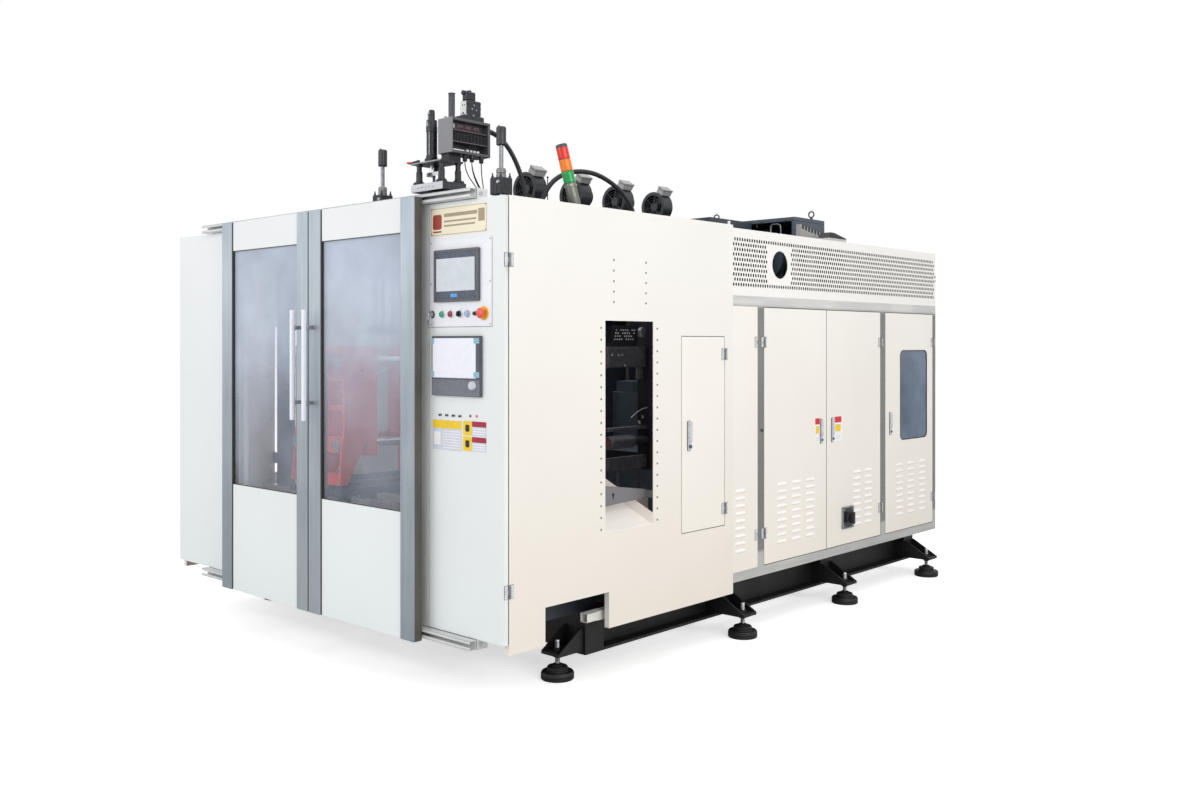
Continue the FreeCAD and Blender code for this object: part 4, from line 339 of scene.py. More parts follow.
# ------------------------------------------------------------------ mesh code
class Shape:
    """Collects faces in world metres and turns them into one object."""

    def __init__(self):
        self.verts, self.faces, self.marks, self.materials = [], [], [], []

    def add(self, verts, faces, material):
        if material not in self.materials:
            self.materials.append(material)
        mark = self.materials.index(material)
        start = len(self.verts)
        self.verts.extend(tuple(v) for v in verts)
        for face in faces:
            self.faces.append([start + i for i in face])
            self.marks.append(mark)

    def block(self, low, high, material, bevel=0.0015, turn=None):
        """A box with chamfered edges, turned by a matrix about its own middle if one is given."""
        low, high = Vector(low), Vector(high)
        low, high = Vector(map(min, low, high)), Vector(map(max, low, high))
        size = high - low
        b = min(bevel, min(size) * 0.45)
        corner = {}
        verts = []
        for i in (0, 1):
            for j in (0, 1):
                for k in (0, 1):
                    at = Vector((high.x if i else low.x, high.y if j else low.y, high.z if k else low.z))
                    inward = Vector((-b if i else b, -b if j else b, -b if k else b))
                    for axis in range(3):
                        point = at + inward
                        point[axis] = at[axis]
                        corner[i, j, k, axis] = len(verts)
                        verts.append(point)
        faces = []
        for axis in range(3):
            u, v = (axis + 1) % 3, (axis + 2) % 3
            for side in (0, 1):
                loop = []
                for a, c in ((0, 0), (1, 0), (1, 1), (0, 1)):
                    key = [0, 0, 0]
                    key[axis], key[u], key[v] = side, a, c
                    loop.append(corner[(*key, axis)])
                faces.append(loop)
            for a in (0, 1):
                for c in (0, 1):
                    ends = []
                    for along in (0, 1):
                        key = [0, 0, 0]
                        key[axis], key[u], key[v] = along, a, c
                        ends.append((corner[(*key, u)], corner[(*key, v)]))
                    faces.append([ends[0][0], ends[0][1], ends[1][1], ends[1][0]])
        for i in (0, 1):
            for j in (0, 1):
                for k in (0, 1):
                    faces.append([corner[i, j, k, axis] for axis in range(3)])
        if turn:
            middle = (low + high) / 2
            verts = [middle + turn @ (v - middle) for v in verts]
        self.add(verts, faces, material)

    def lathe(self, profile, at, way, material, sides=32):
        """A turned form: (radius, height) points turned about an axis from 'at' along 'way'."""
        way = Vector(way).normalized()
        across = way.orthogonal().normalized()
        third = way.cross(across)
        verts, faces, rings = [], [], []
        for radius, height in profile:
            centre = Vector(at) + way * height
            if radius < 1e-6:
                rings.append([len(verts)])
                verts.append(centre)
                continue
            rings.append(list(range(len(verts), len(verts) + sides)))
            for i in range(sides):
                angle = math.tau * i / sides
                verts.append(centre + across * (radius * math.cos(angle)) + third * (radius * math.sin(angle)))
        for first, second in zip(rings, rings[1:]):
            for i in range(sides):
                j = (i + 1) % sides
                if len(first) == 1 and len(second) == 1:
                    continue
                if len(first) == 1:
                    faces.append([first[0], second[i], second[j]])
                elif len(second) == 1:
                    faces.append([first[i], first[j], second[0]])
                else:
                    faces.append([first[i], first[j], second[j], second[i]])
        self.add(verts, faces, material)

    def rod(self, at, radius, length, way, material, bevel=0.001, sides=32):
        b = min(bevel, radius * 0.3, length * 0.3)
        self.lathe([(0, 0), (radius - b, 0), (radius, b), (radius, length - b), (radius - b, length), (0, length)],
                   at, way, material, sides)

    def pipe(self, at, radius, bore, length, way, material, bevel=0.001, sides=32):
        """A tube open at both ends."""
        b = bevel
        self.lathe([(bore, b), (bore + b, 0), (radius - b, 0), (radius, b), (radius, length - b),
                    (radius - b, length), (bore + b, length), (bore, length - b), (bore, b)],
                   at, way, material, sides)

    def prism(self, outline, axis, low, high, material, bevel=0.0):
        """An outline in the two other axes, in their order, drawn out along one axis."""
        others = [i for i in range(3) if i != axis]

        def ring(points, height):
            out = []
            for a, c in points:
                p = [0.0, 0.0, 0.0]
                p[axis], p[others[0]], p[others[1]] = height, a, c
                out.append(p)
            return out

        rings = []
        if bevel:
            small = inset(outline, bevel)
            rings = [ring(small, low), ring(outline, low + bevel), ring(outline, high - bevel), ring(small, high)]
        else:
            rings = [ring(outline, low), ring(outline, high)]
        n = len(outline)
        verts = [p for r in rings for p in r]
        faces = [list(range(n)), list(range(n * (len(rings) - 1), n * len(rings)))]
        for r in range(len(rings) - 1):
            for i in range(n):
                j = (i + 1) % n
                faces.append([r * n + i, r * n + j, (r + 1) * n + j, (r + 1) * n + i])
        self.add(verts, faces, material)

    def sweep(self, path, radii, material, sides=16):
        """A round tube through close points, with its own radius at each."""
        verts, faces = [], []
        normal = None
        for i, point in enumerate(path):
            ahead = path[min(i + 1, len(path) - 1)] - path[max(i - 1, 0)]
            tangent = ahead.normalized()
            if normal is None:
                normal = tangent.orthogonal().normalized()
            normal = (normal - tangent * normal.dot(tangent)).normalized()
            other = tangent.cross(normal)
            for k in range(sides):
                angle = math.tau * k / sides
                verts.append(point + (normal * math.cos(angle) + other * math.sin(angle)) * radii[i])
        for i in range(len(path) - 1):
            for k in range(sides):
                m = (k + 1) % sides
                faces.append([i * sides + k, i * sides + m, (i + 1) * sides + m, (i + 1) * sides + k])
        faces.append(list(range(sides)))
        faces.append([(len(path) - 1) * sides + k for k in range(sides)])
        self.add(verts, faces, material)

    def hole_cell(self, x, back, low, high, centre, radius, material, sides=8, tall=1.0):
        """A rectangular piece of sheet facing +X, from x back to 'back', with one round hole."""
        (y0, z0), (y1, z1) = low, high
        cy, cz = centre
        angles = [math.tau * (i + 0.5) / sides for i in range(sides)]
        for y in (y0, y1):
            for z in (z0, z1):
                angles.append(math.atan2(z - cz, y - cy) % math.tau)
        angles = sorted(set(round(a % math.tau, 6) for a in angles))
        outer, inner = [], []
        for a in angles:
            c, s = math.cos(a), math.sin(a)
            reach = []
            if abs(c) > 1e-9:
                reach.append(((y1 if c > 0 else y0) - cy) / c)
            if abs(s) > 1e-9:
                reach.append(((z1 if s > 0 else z0) - cz) / s)
            t = min(reach)
            outer.append((cy + c * t, cz + s * t))
            inner.append((cy + c * radius, cz + s * radius * tall))
        n = len(angles)
        verts = [(x, *p) for p in outer] + [(x, *p) for p in inner]
        verts += [(back, *p) for p in inner] + [(back, *p) for p in outer]
        faces = []
        for i in range(n):
            j = (i + 1) % n
            faces.append([i, j, n + j, n + i])
            faces.append([n + i, n + j, 2 * n + j, 2 * n + i])
            faces.append([2 * n + i, 2 * n + j, 3 * n + j, 3 * n + i])
        self.add(verts, faces, material)

    def sheet_piece(self, x, back, low, high, material):
        """A plain rectangular piece of sheet that goes between the cells."""
        (y0, z0), (y1, z1) = low, high
        corners = ((y0, z0), (y1, z0), (y1, z1), (y0, z1))
        self.add([(x, *c) for c in corners] + [(back, *c) for c in corners], [[0, 1, 2, 3], [7, 6, 5, 4]], material)

    def tray(self, low, high, wall, open_side, material, bevel=0.0015, inner=None):
        """A folded sheet tray with one side open, such as '+y', each wall a bevelled plate."""
        inner = inner or material
        axis = "xyz".index(open_side[1])
        low, high = list(low), list(high)
        face_low, face_high = low[:], high[:]
        if open_side[0] == "+":
            face_high[axis] = low[axis] + wall
        else:
            face_low[axis] = high[axis] - wall
        self.block(face_low, face_high, material, bevel)
        for other in range(3):
            if other == axis:
                continue
            for side in (0, 1):
                a, b = low[:], high[:]
                if side:
                    a[other] = high[other] - wall
                else:
                    b[other] = low[other] + wall
                if open_side[0] == "+":
                    a[axis] = low[axis] + wall * 0.6
                else:
                    b[axis] = high[axis] - wall * 0.6
                self.block(a, b, material, min(bevel, wall * 0.3))

    def make(self, name, body, replaces=(), slot=None, angle=32):
        mesh = bpy.data.meshes.new(name)
        mesh.from_pydata(self.verts, [], self.faces)
        for material in self.materials:
            mesh.materials.append(material)
        mesh.polygons.foreach_set("material_index", self.marks)
        bm = bmesh.new()
        bm.from_mesh(mesh)
        bmesh.ops.remove_doubles(bm, verts=bm.verts, dist=1e-6)
        bmesh.ops.recalc_face_normals(bm, faces=bm.faces)
        bm.to_mesh(mesh)
        bm.free()
        mesh.polygons.foreach_set("use_smooth", [True] * len(mesh.polygons))
        mesh.set_sharp_from_angle(angle=math.radians(angle))
        piece = bpy.data.objects.new(name, mesh)
        bpy.context.scene.collection.objects.link(piece)
        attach(piece, body)
        if replaces:
            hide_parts(*replaces)
        return piece


def inset(outline, distance):
    """The outline moved inwards by a distance at every corner."""
    n = len(outline)
    area = sum(outline[i][0] * outline[(i + 1) % n][1] - outline[(i + 1) % n][0] * outline[i][1] for i in range(n))
    sign = 1 if area > 0 else -1
    result = []
    for i in range(n):
        before, here, after = (Vector(outline[k % n]) for k in (i - 1, i, i + 1))
        a, b = (here - before).normalized(), (after - here).normalized()
        na, nb = Vector((-a.y, a.x)) * sign, Vector((-b.y, b.x)) * sign
        way = na + nb
        way = way / max(0.2, way.dot(na)) if way.length > 1e-6 else na
        result.append(tuple(here + way * distance))
    return result


def rounded(y0, z0, y1, z1, radius, steps=6):
    """A rectangle with round corners."""
    points = []
    for cy, cz, start in ((y1 - radius, z1 - radius, 0), (y0 + radius, z1 - radius, 90),
                          (y0 + radius, z0 + radius, 180), (y1 - radius, z0 + radius, 270)):
        for i in range(steps + 1):
            angle = math.radians(start + 90 * i / steps)
            points.append((cy + radius * math.cos(angle), cz + radius * math.sin(angle)))
    return points


def smooth_path(points, steps=None):
    """Close points along the NURBS line that has the given points as its control points."""
    curve = bpy.data.curves.new("route", "CURVE")
    curve.dimensions = "3D"
    spline = curve.splines.new("NURBS")
    spline.points.add(len(points) - 1)
    for point, at in zip(spline.points, points):
        point.co = (*at, 1.0)
    spline.order_u = 3
    spline.use_endpoint_u = True
    curve.resolution_u = steps or 24
    holder = bpy.data.objects.new("route", curve)
    mesh = bpy.data.meshes.new_from_object(holder)
    path = [v.co.copy() for v in mesh.vertices]
    bpy.data.objects.remove(holder)
    bpy.data.curves.remove(curve)
    bpy.data.meshes.remove(mesh)
    return path


def even(path, step):
    """The same line with points a fixed step apart."""
    result, carried = [path[0]], 0.0
    for start, end in zip(path, path[1:]):
        length = (end - start).length
        if length < 1e-9:
            continue
        at = step - carried
        while at <= length:
            result.append(start.lerp(end, at / length))
            at += step
        carried = length - (at - step)
    result.append(path[-1])
    return result


UP, OUT_X, OUT_Y = (0, 0, 1), (1, 0, 0), (0, -1, 0)


def screw_head(shape, at, way, radius, material=zinc, height=0.003):
    """A pan head with a small hollow in its top."""
    shape.lathe([(0, 0), (radius, 0), (radius, height * 0.45), (radius * 0.72, height * 0.95),
                 (radius * 0.34, height), (radius * 0.26, height * 0.55), (0, height * 0.5)],
                at, way, material, 12)


# ------------------------------------------------------------------ sliding doors
DOOR_OUT = FRONT - 0.084
DOOR_IN = FRONT - 0.040
DOOR_LOW, DOOR_HIGH = 0.236, 2.276
PANE_LOW, PANE_HIGH = 0.821, 2.116
STILE = 0.107
DOOR_WIDTH = 0.8665
MEETING = 0.0715
GRAB_OFF = 0.0535


def sliding_door(name, x, grab_x):
    shape = Shape()
    for stile in (x, x + DOOR_WIDTH - STILE):
        shape.block((stile + 0.0015, DOOR_OUT, DOOR_LOW), (stile + STILE - 0.0015, DOOR_OUT + 0.005, DOOR_HIGH), upright_steel, 0.002)
        # side walls of the stile, darker as painted shade
        shape.block((stile + 0.0001, DOOR_OUT + 0.003, DOOR_LOW + 0.002),
                    (stile + STILE - 0.0001, DOOR_IN, DOOR_HIGH - 0.002), shaded_return_steel, 0.0010)
        if abs(stile + STILE / 2 - MEETING) < STILE:
            # dark strip at the meeting edge: painted shade for the gap between the doors
            edge = stile + (0.0001 if stile > MEETING else STILE - 0.0025)
            shape.block((edge, DOOR_OUT - 0.0002, DOOR_LOW + 0.002), (edge + 0.0024, DOOR_OUT + 0.004, DOOR_HIGH - 0.002),
                        gasket_and_edge_shade, 0.0004)
    a, b = x + STILE, x + DOOR_WIDTH - STILE
    for low, high in ((DOOR_LOW, PANE_LOW), (PANE_HIGH, DOOR_HIGH)):
        shape.block((a, DOOR_OUT + 0.008, low), (b, DOOR_IN - 0.008, high), front_paint, 0.0015)
        # dark line along the panel's edge by the stile: painted shade
        shape.block((a, DOOR_OUT + 0.0075, low), (a + 0.004, DOOR_OUT + 0.010, high), gasket_and_edge_shade, 0.0005)
    # rubber strip round the pane and the dark seam beside each stile
    for edge in (a, b - 0.005):
        shape.block((edge, DOOR_OUT + 0.010, PANE_LOW), (edge + 0.005, DOOR_OUT + 0.024, PANE_HIGH), rubber, 0.001)
    for z in (PANE_LOW, PANE_HIGH - 0.002):
        shape.block((a, DOOR_OUT + 0.010, z), (b, DOOR_OUT + 0.024, z + 0.002), rubber, 0.0005)
    # grab bar: a square bar on two clamped brackets
    bar_y = DOOR_OUT - 0.069
    half = 0.0095
    shape.block((grab_x - half, bar_y, 1.213), (grab_x + half, bar_y + 0.019, 1.773), display_white, 0.003)
    for z in (1.303, 1.683):
        shape.block((grab_x - half * 0.8, bar_y + 0.018, z - half), (grab_x + half * 0.8, DOOR_OUT, z + half), grey_metal, 0.002)
        shape.block((grab_x - half * 1.0, bar_y + 0.017, z - 0.014), (grab_x + half * 1.0, bar_y + 0.030, z + 0.014), zinc, 0.002)
        shape.rod((grab_x, DOOR_OUT, z), 0.013, 0.006, OUT_Y, zinc, 0.001, 20)
    for z in (0.2715, 2.2665):
        for spot in (x + 0.060, x + DOOR_WIDTH - 0.060):
            shape.rod((spot, DOOR_IN + 0.006, z), 0.018, 0.022, (0, 1, 0), zinc, 0.002, 20)
            shape.rod((spot, DOOR_IN - 0.0005, z), 0.0065, 0.030, (0, 1, 0), grey_metal, 0.001, 12)
    return shape.make(name, name, (name,), "brushed")


sliding_door_right = sliding_door("right_door", MEETING + 0.0015, MEETING + GRAB_OFF)
sliding_door_left = sliding_door("left_door", MEETING - 0.868, MEETING - GRAB_OFF)


# ------------------------------------------------------------------ control door
def bezel(shape, x, z, radius, depth, material, y=FRONT - 0.002):
    """A round bezel with a rolled edge and a bore for its cap."""
    bore = 0.0140
    shape.lathe([(bore, 0), (radius - 0.001, 0), (radius, depth * 0.4), (radius - 0.003, depth),
                 (bore + 0.001, depth), (bore, depth * 0.8), (bore, 0)], (x, y, z), OUT_Y, material, 28)


def hinge(shape, face, axis_y, z, way, height=0.057, material=hinge_zinc):
    """The moving half of a surface hinge: a screwed leaf and the middle knuckle."""
    low = z - height / 2
    y0, y1 = sorted((axis_y + way * 0.007, axis_y + way * 0.026))
    # dark rim round the leaf: painted shade at its edges
    shape.block((face - 0.0005, y0 - 0.0016, low - 0.0016), (face + 0.0012, y1 + 0.0016, low + height + 0.0016), gasket_and_edge_shade, 0.0003)
    shape.block((face, y0, low), (face + 0.003, y1, low + height), material, 0.0008)
    y2, y3 = sorted((axis_y + way * 0.003, axis_y + way * 0.008))
    third = height / 3
    shape.block((face + 0.0003, y2, low + third + 0.0003), (face + 0.003, y3, low + third * 2 - 0.0003), material, 0.0005)
    # knuckle darker than the leaf: painted shade on its round barrel
    shape.rod((face + 0.0063, axis_y, low + third + 0.0003), 0.006, third - 0.0006, UP, shaded_knuckle_zinc, 0.0008, 20)
    for dz in (0.012, height - 0.012):
        screw_head(shape, (face + 0.003, (y0 + y1) / 2, low + dz), OUT_X, 0.0042, material, 0.0022)


def fixed_hinge(shape, face, axis_y, z, way, height=0.057, material=hinge_zinc):
    """The half that stays: its leaf, the two outer knuckles and the pin through them."""
    low = z - height / 2
    y0, y1 = sorted((axis_y - way * 0.007, axis_y - way * 0.026))
    # dark rim round the leaf: painted shade at its edges
    shape.block((face - 0.0005, y0 - 0.0016, low - 0.0016), (face + 0.0012, y1 + 0.0016, low + height + 0.0016), gasket_and_edge_shade, 0.0003)
    shape.block((face, y0, low), (face + 0.003, y1, low + height), material, 0.0008)
    y2, y3 = sorted((axis_y - way * 0.003, axis_y - way * 0.008))
    third = height / 3
    for start in (low, low + third * 2):
        shape.block((face + 0.0003, y2, start), (face + 0.003, y3, start + third), material, 0.0005)
        # knuckles darker than the leaf: painted shade on their round barrels
        shape.rod((face + 0.0063, axis_y, start), 0.006, third, UP, shaded_knuckle_zinc, 0.0008, 20)
    shape.rod((face + 0.0063, axis_y, low), 0.0028, height, UP, material, 0.0003, 12)
    for dz in (0.012, height - 0.012):
        screw_head(shape, (face + 0.003, (y0 + y1) / 2, low + dz), OUT_X, 0.0042, material, 0.0022)


def door_hinges():
    shape = Shape()
    for face, axis_y, heights, way in (
            (RIGHT, 0.026, (0.527, 1.965), -1), (RIGHT, 1.595, (0.720, 1.546), -1),
            (CABINET_FACE, 1.983, (0.535, 1.610), 1), (CABINET_FACE, 3.319, (0.535, 1.610), -1),
            (CABINET_FACE, 4.062, (0.535, 1.610), -1)):
        for z in heights:
            fixed_hinge(shape, face, FRONT + axis_y, z, way)
    return shape.make("door_hinges", "machine", ("door_hinges",), "zinc")


door_hinges_piece = door_hinges()

SWITCH_Z = 1.735
SWITCHES = {"key_switch": 0.485, "start_button": 0.412, "stop_button": 0.352, "selector_switch": 0.290,
            "reset_button": 0.238, "emergency_stop": 0.131}


def control_door():
    shape = Shape()
    left = RIGHT - 0.510
    shape.tray((left, FRONT, 0.295), (RIGHT, FRONT + 0.025, 2.243), 0.003, "+y", front_paint, 0.0012)
    # switch plate with a folded rim and its screws
    x0, x1, z0, z1 = RIGHT - 0.505, RIGHT - 0.080, 1.678, 2.071
    shape.block((x0, FRONT - 0.002, z0), (x1, FRONT - 0.0002, z1), plate_white, 0.0008)
    shape.block((x1 + 0.0002, FRONT - 0.0014, z0 - 0.0026), (x1 + 0.0028, FRONT - 0.0002, z1), grey_metal, 0.0004)
    shape.block((x0, FRONT - 0.0014, z0 - 0.0026), (x1, FRONT - 0.0002, z0 - 0.0002), grey_metal, 0.0004)
    for x in (x0 + 0.010, x1 - 0.010):
        for z in (z0 + 0.010, (z0 + z1) / 2, z1 - 0.010):
            screw_head(shape, (x, FRONT - 0.002, z), OUT_Y, 0.0035, grey_metal, 0.002)
    for name, spot in SWITCHES.items():
        x = RIGHT - spot
        if name == "emergency_stop":
            shape.lathe([(0.0046, 0), (0.031, 0), (0.031, 0.0020), (0.0295, 0.003), (0.0046, 0.003), (0.0046, 0)],
                        (x, FRONT - 0.002, SWITCH_Z), OUT_Y, ring_yellow, 40)
        else:
            bezel(shape, x, SWITCH_Z, 0.017, 0.006, black_plastic if name == "key_switch" else bright_steel)
    # small black push switch beside the mushroom
    shape.rod((RIGHT - 0.188, FRONT - 0.002, SWITCH_Z), 0.011, 0.004, OUT_Y, grey_metal, 0.001, 24)
    shape.rod((RIGHT - 0.188, FRONT - 0.006, SWITCH_Z), 0.008, 0.008, OUT_Y, black_plastic, 0.0015, 24)
    # blank nameplate on four screws
    shape.block((RIGHT - 0.498, FRONT - 0.0015, 2.094), (RIGHT - 0.112, FRONT - 0.0002, 2.221), plate_cream, 0.0006)
    for x in (RIGHT - 0.490, RIGHT - 0.120):
        for z in (2.102, 2.213):
            screw_head(shape, (x, FRONT - 0.0015, z), OUT_Y, 0.0035, grey_metal, 0.002)
    border = FRONT - 0.0019
    for z in (2.096, 2.216):
        shape.block((RIGHT - 0.496, border, z), (RIGHT - 0.114, FRONT - 0.0010, z + 0.0022), line_brown, 0.0003)
    for x in (RIGHT - 0.496, RIGHT - 0.1162):
        shape.block((x, border, 2.096), (x + 0.0022, FRONT - 0.0010, 2.218), line_brown, 0.0003)
    shape.prism(rounded(RIGHT - 0.483, 2.122, RIGHT - 0.420, 2.190, 0.012, 4), 1, border, FRONT - 0.001, emblem_brown, 0.0002)
    shape.block((RIGHT - 0.481, border, 2.108), (RIGHT - 0.422, FRONT - 0.001, 2.115), emblem_brown, 0.0002)
    for z, high, x in ((2.176, 0.016, 0.176), (2.152, 0.008, 0.182), (2.132, 0.008, 0.190)):
        shape.block((RIGHT - 0.404, border, z), (RIGHT - x, FRONT - 0.001, z + high), line_brown, 0.0002)
    shape.block((RIGHT - 0.168, border, 2.142), (RIGHT - 0.126, FRONT - 0.001, 2.198), line_brown, 0.0002)
    # row of small toggles and two pilot dots
    for spot in (0.425, 0.378, 0.332, 0.286):
        shape.rod((RIGHT - spot, FRONT, 1.277), 0.0055, 0.004, OUT_Y, grey_metal, 0.001, 16)
        shape.rod((RIGHT - spot, FRONT - 0.003, 1.277), 0.0032, 0.009, OUT_Y, black_plastic, 0.001, 12)
        shape.block((RIGHT - spot - 0.019, FRONT - 0.0012, 1.271), (RIGHT - spot - 0.009, FRONT - 0.0002, 1.281), black_plastic, 0.0004)
    shape.lathe([(0, 0), (0.0055, 0), (0.005, 0.003), (0, 0.0045)], (RIGHT - 0.222, FRONT, 1.280), OUT_Y, black_plastic, 16)
    shape.lathe([(0, 0), (0.0060, 0), (0.0055, 0.003), (0, 0.0045)], (RIGHT - 0.179, FRONT, 1.281), OUT_Y, mushroom_red, 16)
    # plain colour fields under them
    field = FRONT - 0.0009
    shape.block((RIGHT - 0.486, field, 1.118), (RIGHT - 0.280, FRONT - 0.0001, 1.255), field_silver, 0.0003)
    shape.block((RIGHT - 0.484, field - 0.0004, 1.217), (RIGHT - 0.282, field + 0.0002, 1.253), field_yellow, 0.0002)
    for low in (1.124, 1.193):
        shape.block((RIGHT - 0.272, field, low), (RIGHT - 0.116, FRONT - 0.0001, low + 0.064), field_silver, 0.0003)
        shape.block((RIGHT - 0.272, field - 0.0004, low), (RIGHT - 0.212, field + 0.0002, low + 0.064), field_yellow, 0.0002)
        shape.block((RIGHT - 0.211, field - 0.0004, low + 0.040), (RIGHT - 0.116, field + 0.0002, low + 0.064), field_crimson, 0.0002)
    line = field - 0.0004
    for i in range(7):
        shape.block((RIGHT - 0.410, line, 1.128 + 0.0125 * i), (RIGHT - 0.292, field + 0.0002, 1.1315 + 0.0125 * i), field_white, 0.0001)
    shape.block((RIGHT - 0.476, line, 1.140), (RIGHT - 0.430, field + 0.0002, 1.200), field_white, 0.0001)
    for low in (1.124, 1.193):
        for i in range(3):
            shape.block((RIGHT - 0.205, line, low + 0.007 + 0.011 * i), (RIGHT - 0.124, field + 0.0002, low + 0.011 + 0.011 * i), field_white, 0.0001)
        shape.prism(rounded(RIGHT - 0.256, low + 0.016, RIGHT - 0.228, low + 0.048, 0.008, 3), 1, line - 0.0003, field, black_plastic, 0.0001)
    for z in (0.527, 1.965):
        hinge(shape, RIGHT, FRONT + 0.026, z, -1)
    # dark strip in the corner seam beside the side cover: painted shade
    shape.block((RIGHT - 0.0030, FRONT + 0.0215, 0.300), (RIGHT + 0.0003, FRONT + 0.0252, 2.240), seam_shade, 0.0002)
    return shape.make("control_door", "control_door", ("control_door",), "cover_paint")


control_door_piece = control_door()


def operator_panel():
    """Touch screen: grey frame, dark glass with lit field, a row of soft keys and a blue key."""
    shape = Shape()
    x0, x1 = RIGHT - 0.461, RIGHT - 0.154
    z0, z1 = 1.790, 2.026
    y = FRONT - 0.002
    out = y - 0.014
    outline = rounded(x0, z0, x1, z1, 0.006, 3)
    shape.prism(outline, 1, out + 0.002, y, screen_frame, 0.001)
    rim = 0.012
    for low, high in (((x0, z0), (x1, z0 + rim)), ((x0, z1 - rim), (x1, z1)), ((x0, z0 + rim), (x0 + rim, z1 - rim)),
                      ((x1 - rim, z0 + rim), (x1, z1 - rim))):
        shape.block((low[0], out, low[1]), (high[0], out + 0.003, high[1]), screen_frame, 0.0008)
    shape.block((x0 + rim, out + 0.0012, z0 + rim), (x1 - rim, out + 0.0028, z1 - rim), screen_dark, 0.0003)
    shape.block((x0 + 0.018, out + 0.0006, z0 + 0.048), (x1 - 0.024, out + 0.002, z1 - 0.040), screen_glass, 0.0003)
    shape.block((x0 + 0.118, out + 0.0006, z0 + 0.020), (x0 + 0.164, out + 0.002, z0 + 0.036), screen_blue, 0.0005)
    for i in range(4):
        at = x0 + 0.026 + i * 0.020
        shape.block((at, out + 0.0008, z0 + 0.024), (at + 0.011, out + 0.002, z0 + 0.031), screen_frame, 0.0003)
    for i in range(3):
        at = x0 + 0.030 + i * 0.030
        shape.block((at, out + 0.0008, z1 - 0.028), (at + 0.020, out + 0.002, z1 - 0.024), screen_frame, 0.0003)
    return shape.make("operator_panel", "control_door", ("operator_panel",), "screen_plastic")


operator_panel_piece = operator_panel()


def parison_controller():
    """Controller case: wide pale display, plain lower band and the seat of its knob."""
    shape = Shape()
    x0, x1 = RIGHT - 0.474, RIGHT - 0.141
    z0, z1 = 1.366, 1.636
    out = FRONT - 0.018
    shape.prism(rounded(x0, z0, x1, z1, 0.005, 3), 1, out + 0.0015, FRONT, controller_grey, 0.0008)
    shape.block((x0 + 0.002, out, z0 + 0.002), (x1 - 0.002, out + 0.002, z0 + 0.074), controller_band, 0.0006)
    shape.block((x0 + 0.002, out, z0 + 0.074), (x1 - 0.002, out + 0.002, z1 - 0.002), controller_grey, 0.0006)
    shape.block((x0 + 0.009, out - 0.0006, z0 + 0.082), (x1 - 0.026, out + 0.0022, z1 - 0.010), display_white, 0.0004)
    shape.block((x0 + 0.009, out - 0.0003, z0 + 0.0790), (x1 - 0.026, out + 0.001, z0 + 0.084), controller_band, 0.0002)
    shape.rod((x0 + 0.205, out, z0 + 0.056), 0.003, 0.001, OUT_Y, black_plastic, 0.0003, 12)
    for x in (x0 + 0.002, x1 - 0.040):
        for z in (z0 + 0.086, z1 - 0.034):
            wide = 0.020 if x == x0 + 0.002 else 0.038
            shape.block((x, out - 0.0009, z), (x + wide, out - 0.0004, z + 0.024), tape_blue, 0.0002)
    return shape.make("parison_controller", "control_door", ("parison_controller",), "controller_plastic")


parison_controller_piece = parison_controller()


def cap(name, profile, material, extra=None):
    """A switch cap turned from a profile, on its stem."""
    shape = Shape()
    x = RIGHT - SWITCHES[name]
    base = FRONT - 0.002 - 0.006
    shape.lathe(profile, (x, base, SWITCH_Z), OUT_Y, material, 32)
    shape.rod((x, base + 0.0119, SWITCH_Z), 0.0039, 0.0119, OUT_Y, grey_metal, 0.0005, 12)
    if extra:
        extra(shape, x, base)
    return shape.make(name, name, (name,), None)


DOME = [(0, 0), (0.0133, 0), (0.0135, 0.0005), (0.0135, 0.0050), (0.0122, 0.0069), (0.0075, 0.0079), (0, 0.0080)]
FLAT = [(0, 0), (0.0133, 0), (0.0135, 0.0005), (0.0135, 0.0070), (0.0125, 0.0080), (0, 0.0080)]


def lever(shape, x, base):
    shape.block((x - 0.003, base - 0.018, SWITCH_Z - 0.010), (x + 0.003, base - 0.007, SWITCH_Z + 0.010), black_plastic, 0.0012)
    shape.block((x - 0.0008, base - 0.0182, SWITCH_Z + 0.002), (x + 0.0008, base - 0.0175, SWITCH_Z + 0.0095), white_plastic, 0.0002)


def key_and_ring(shape, x, base):
    shape.block((x - 0.0009, base - 0.022, SWITCH_Z - 0.0068), (x + 0.0009, base - 0.0078, SWITCH_Z + 0.0068), bright_steel, 0.0006)
    shape.lathe([(0.0050, 0), (0.0066, 0), (0.0066, 0.0012), (0.0050, 0.0012), (0.0050, 0)],
                (x - 0.0006, base - 0.0155, SWITCH_Z - 0.0005), OUT_X, grey_metal, 20)
    ring = [Vector((x + 0.0120 * math.sin(k * math.tau / 20), base - 0.0165, SWITCH_Z - 0.0150 - 0.0120 * math.cos(k * math.tau / 20)))
            for k in range(21)]
    shape.sweep(ring, [0.0009] * len(ring), bright_steel, 6)
    shape.block((x - 0.0080, base - 0.0178, SWITCH_Z - 0.0460), (x + 0.0050, base - 0.0160, SWITCH_Z - 0.0270), bright_steel, 0.0006)
    shape.block((x - 0.0040, base - 0.0176, SWITCH_Z - 0.0640), (x + 0.0012, base - 0.0162, SWITCH_Z - 0.0455), grey_metal, 0.0005)


cap_start = cap("start_button", DOME, green_plastic)
cap_stop = cap("stop_button", DOME, dark_red_plastic)
cap_reset = cap("reset_button", DOME, pale_blue_plastic)
cap_selector = cap("selector_switch", FLAT, black_plastic, lever)
cap_key = cap("key_switch", FLAT, grey_metal, key_and_ring)


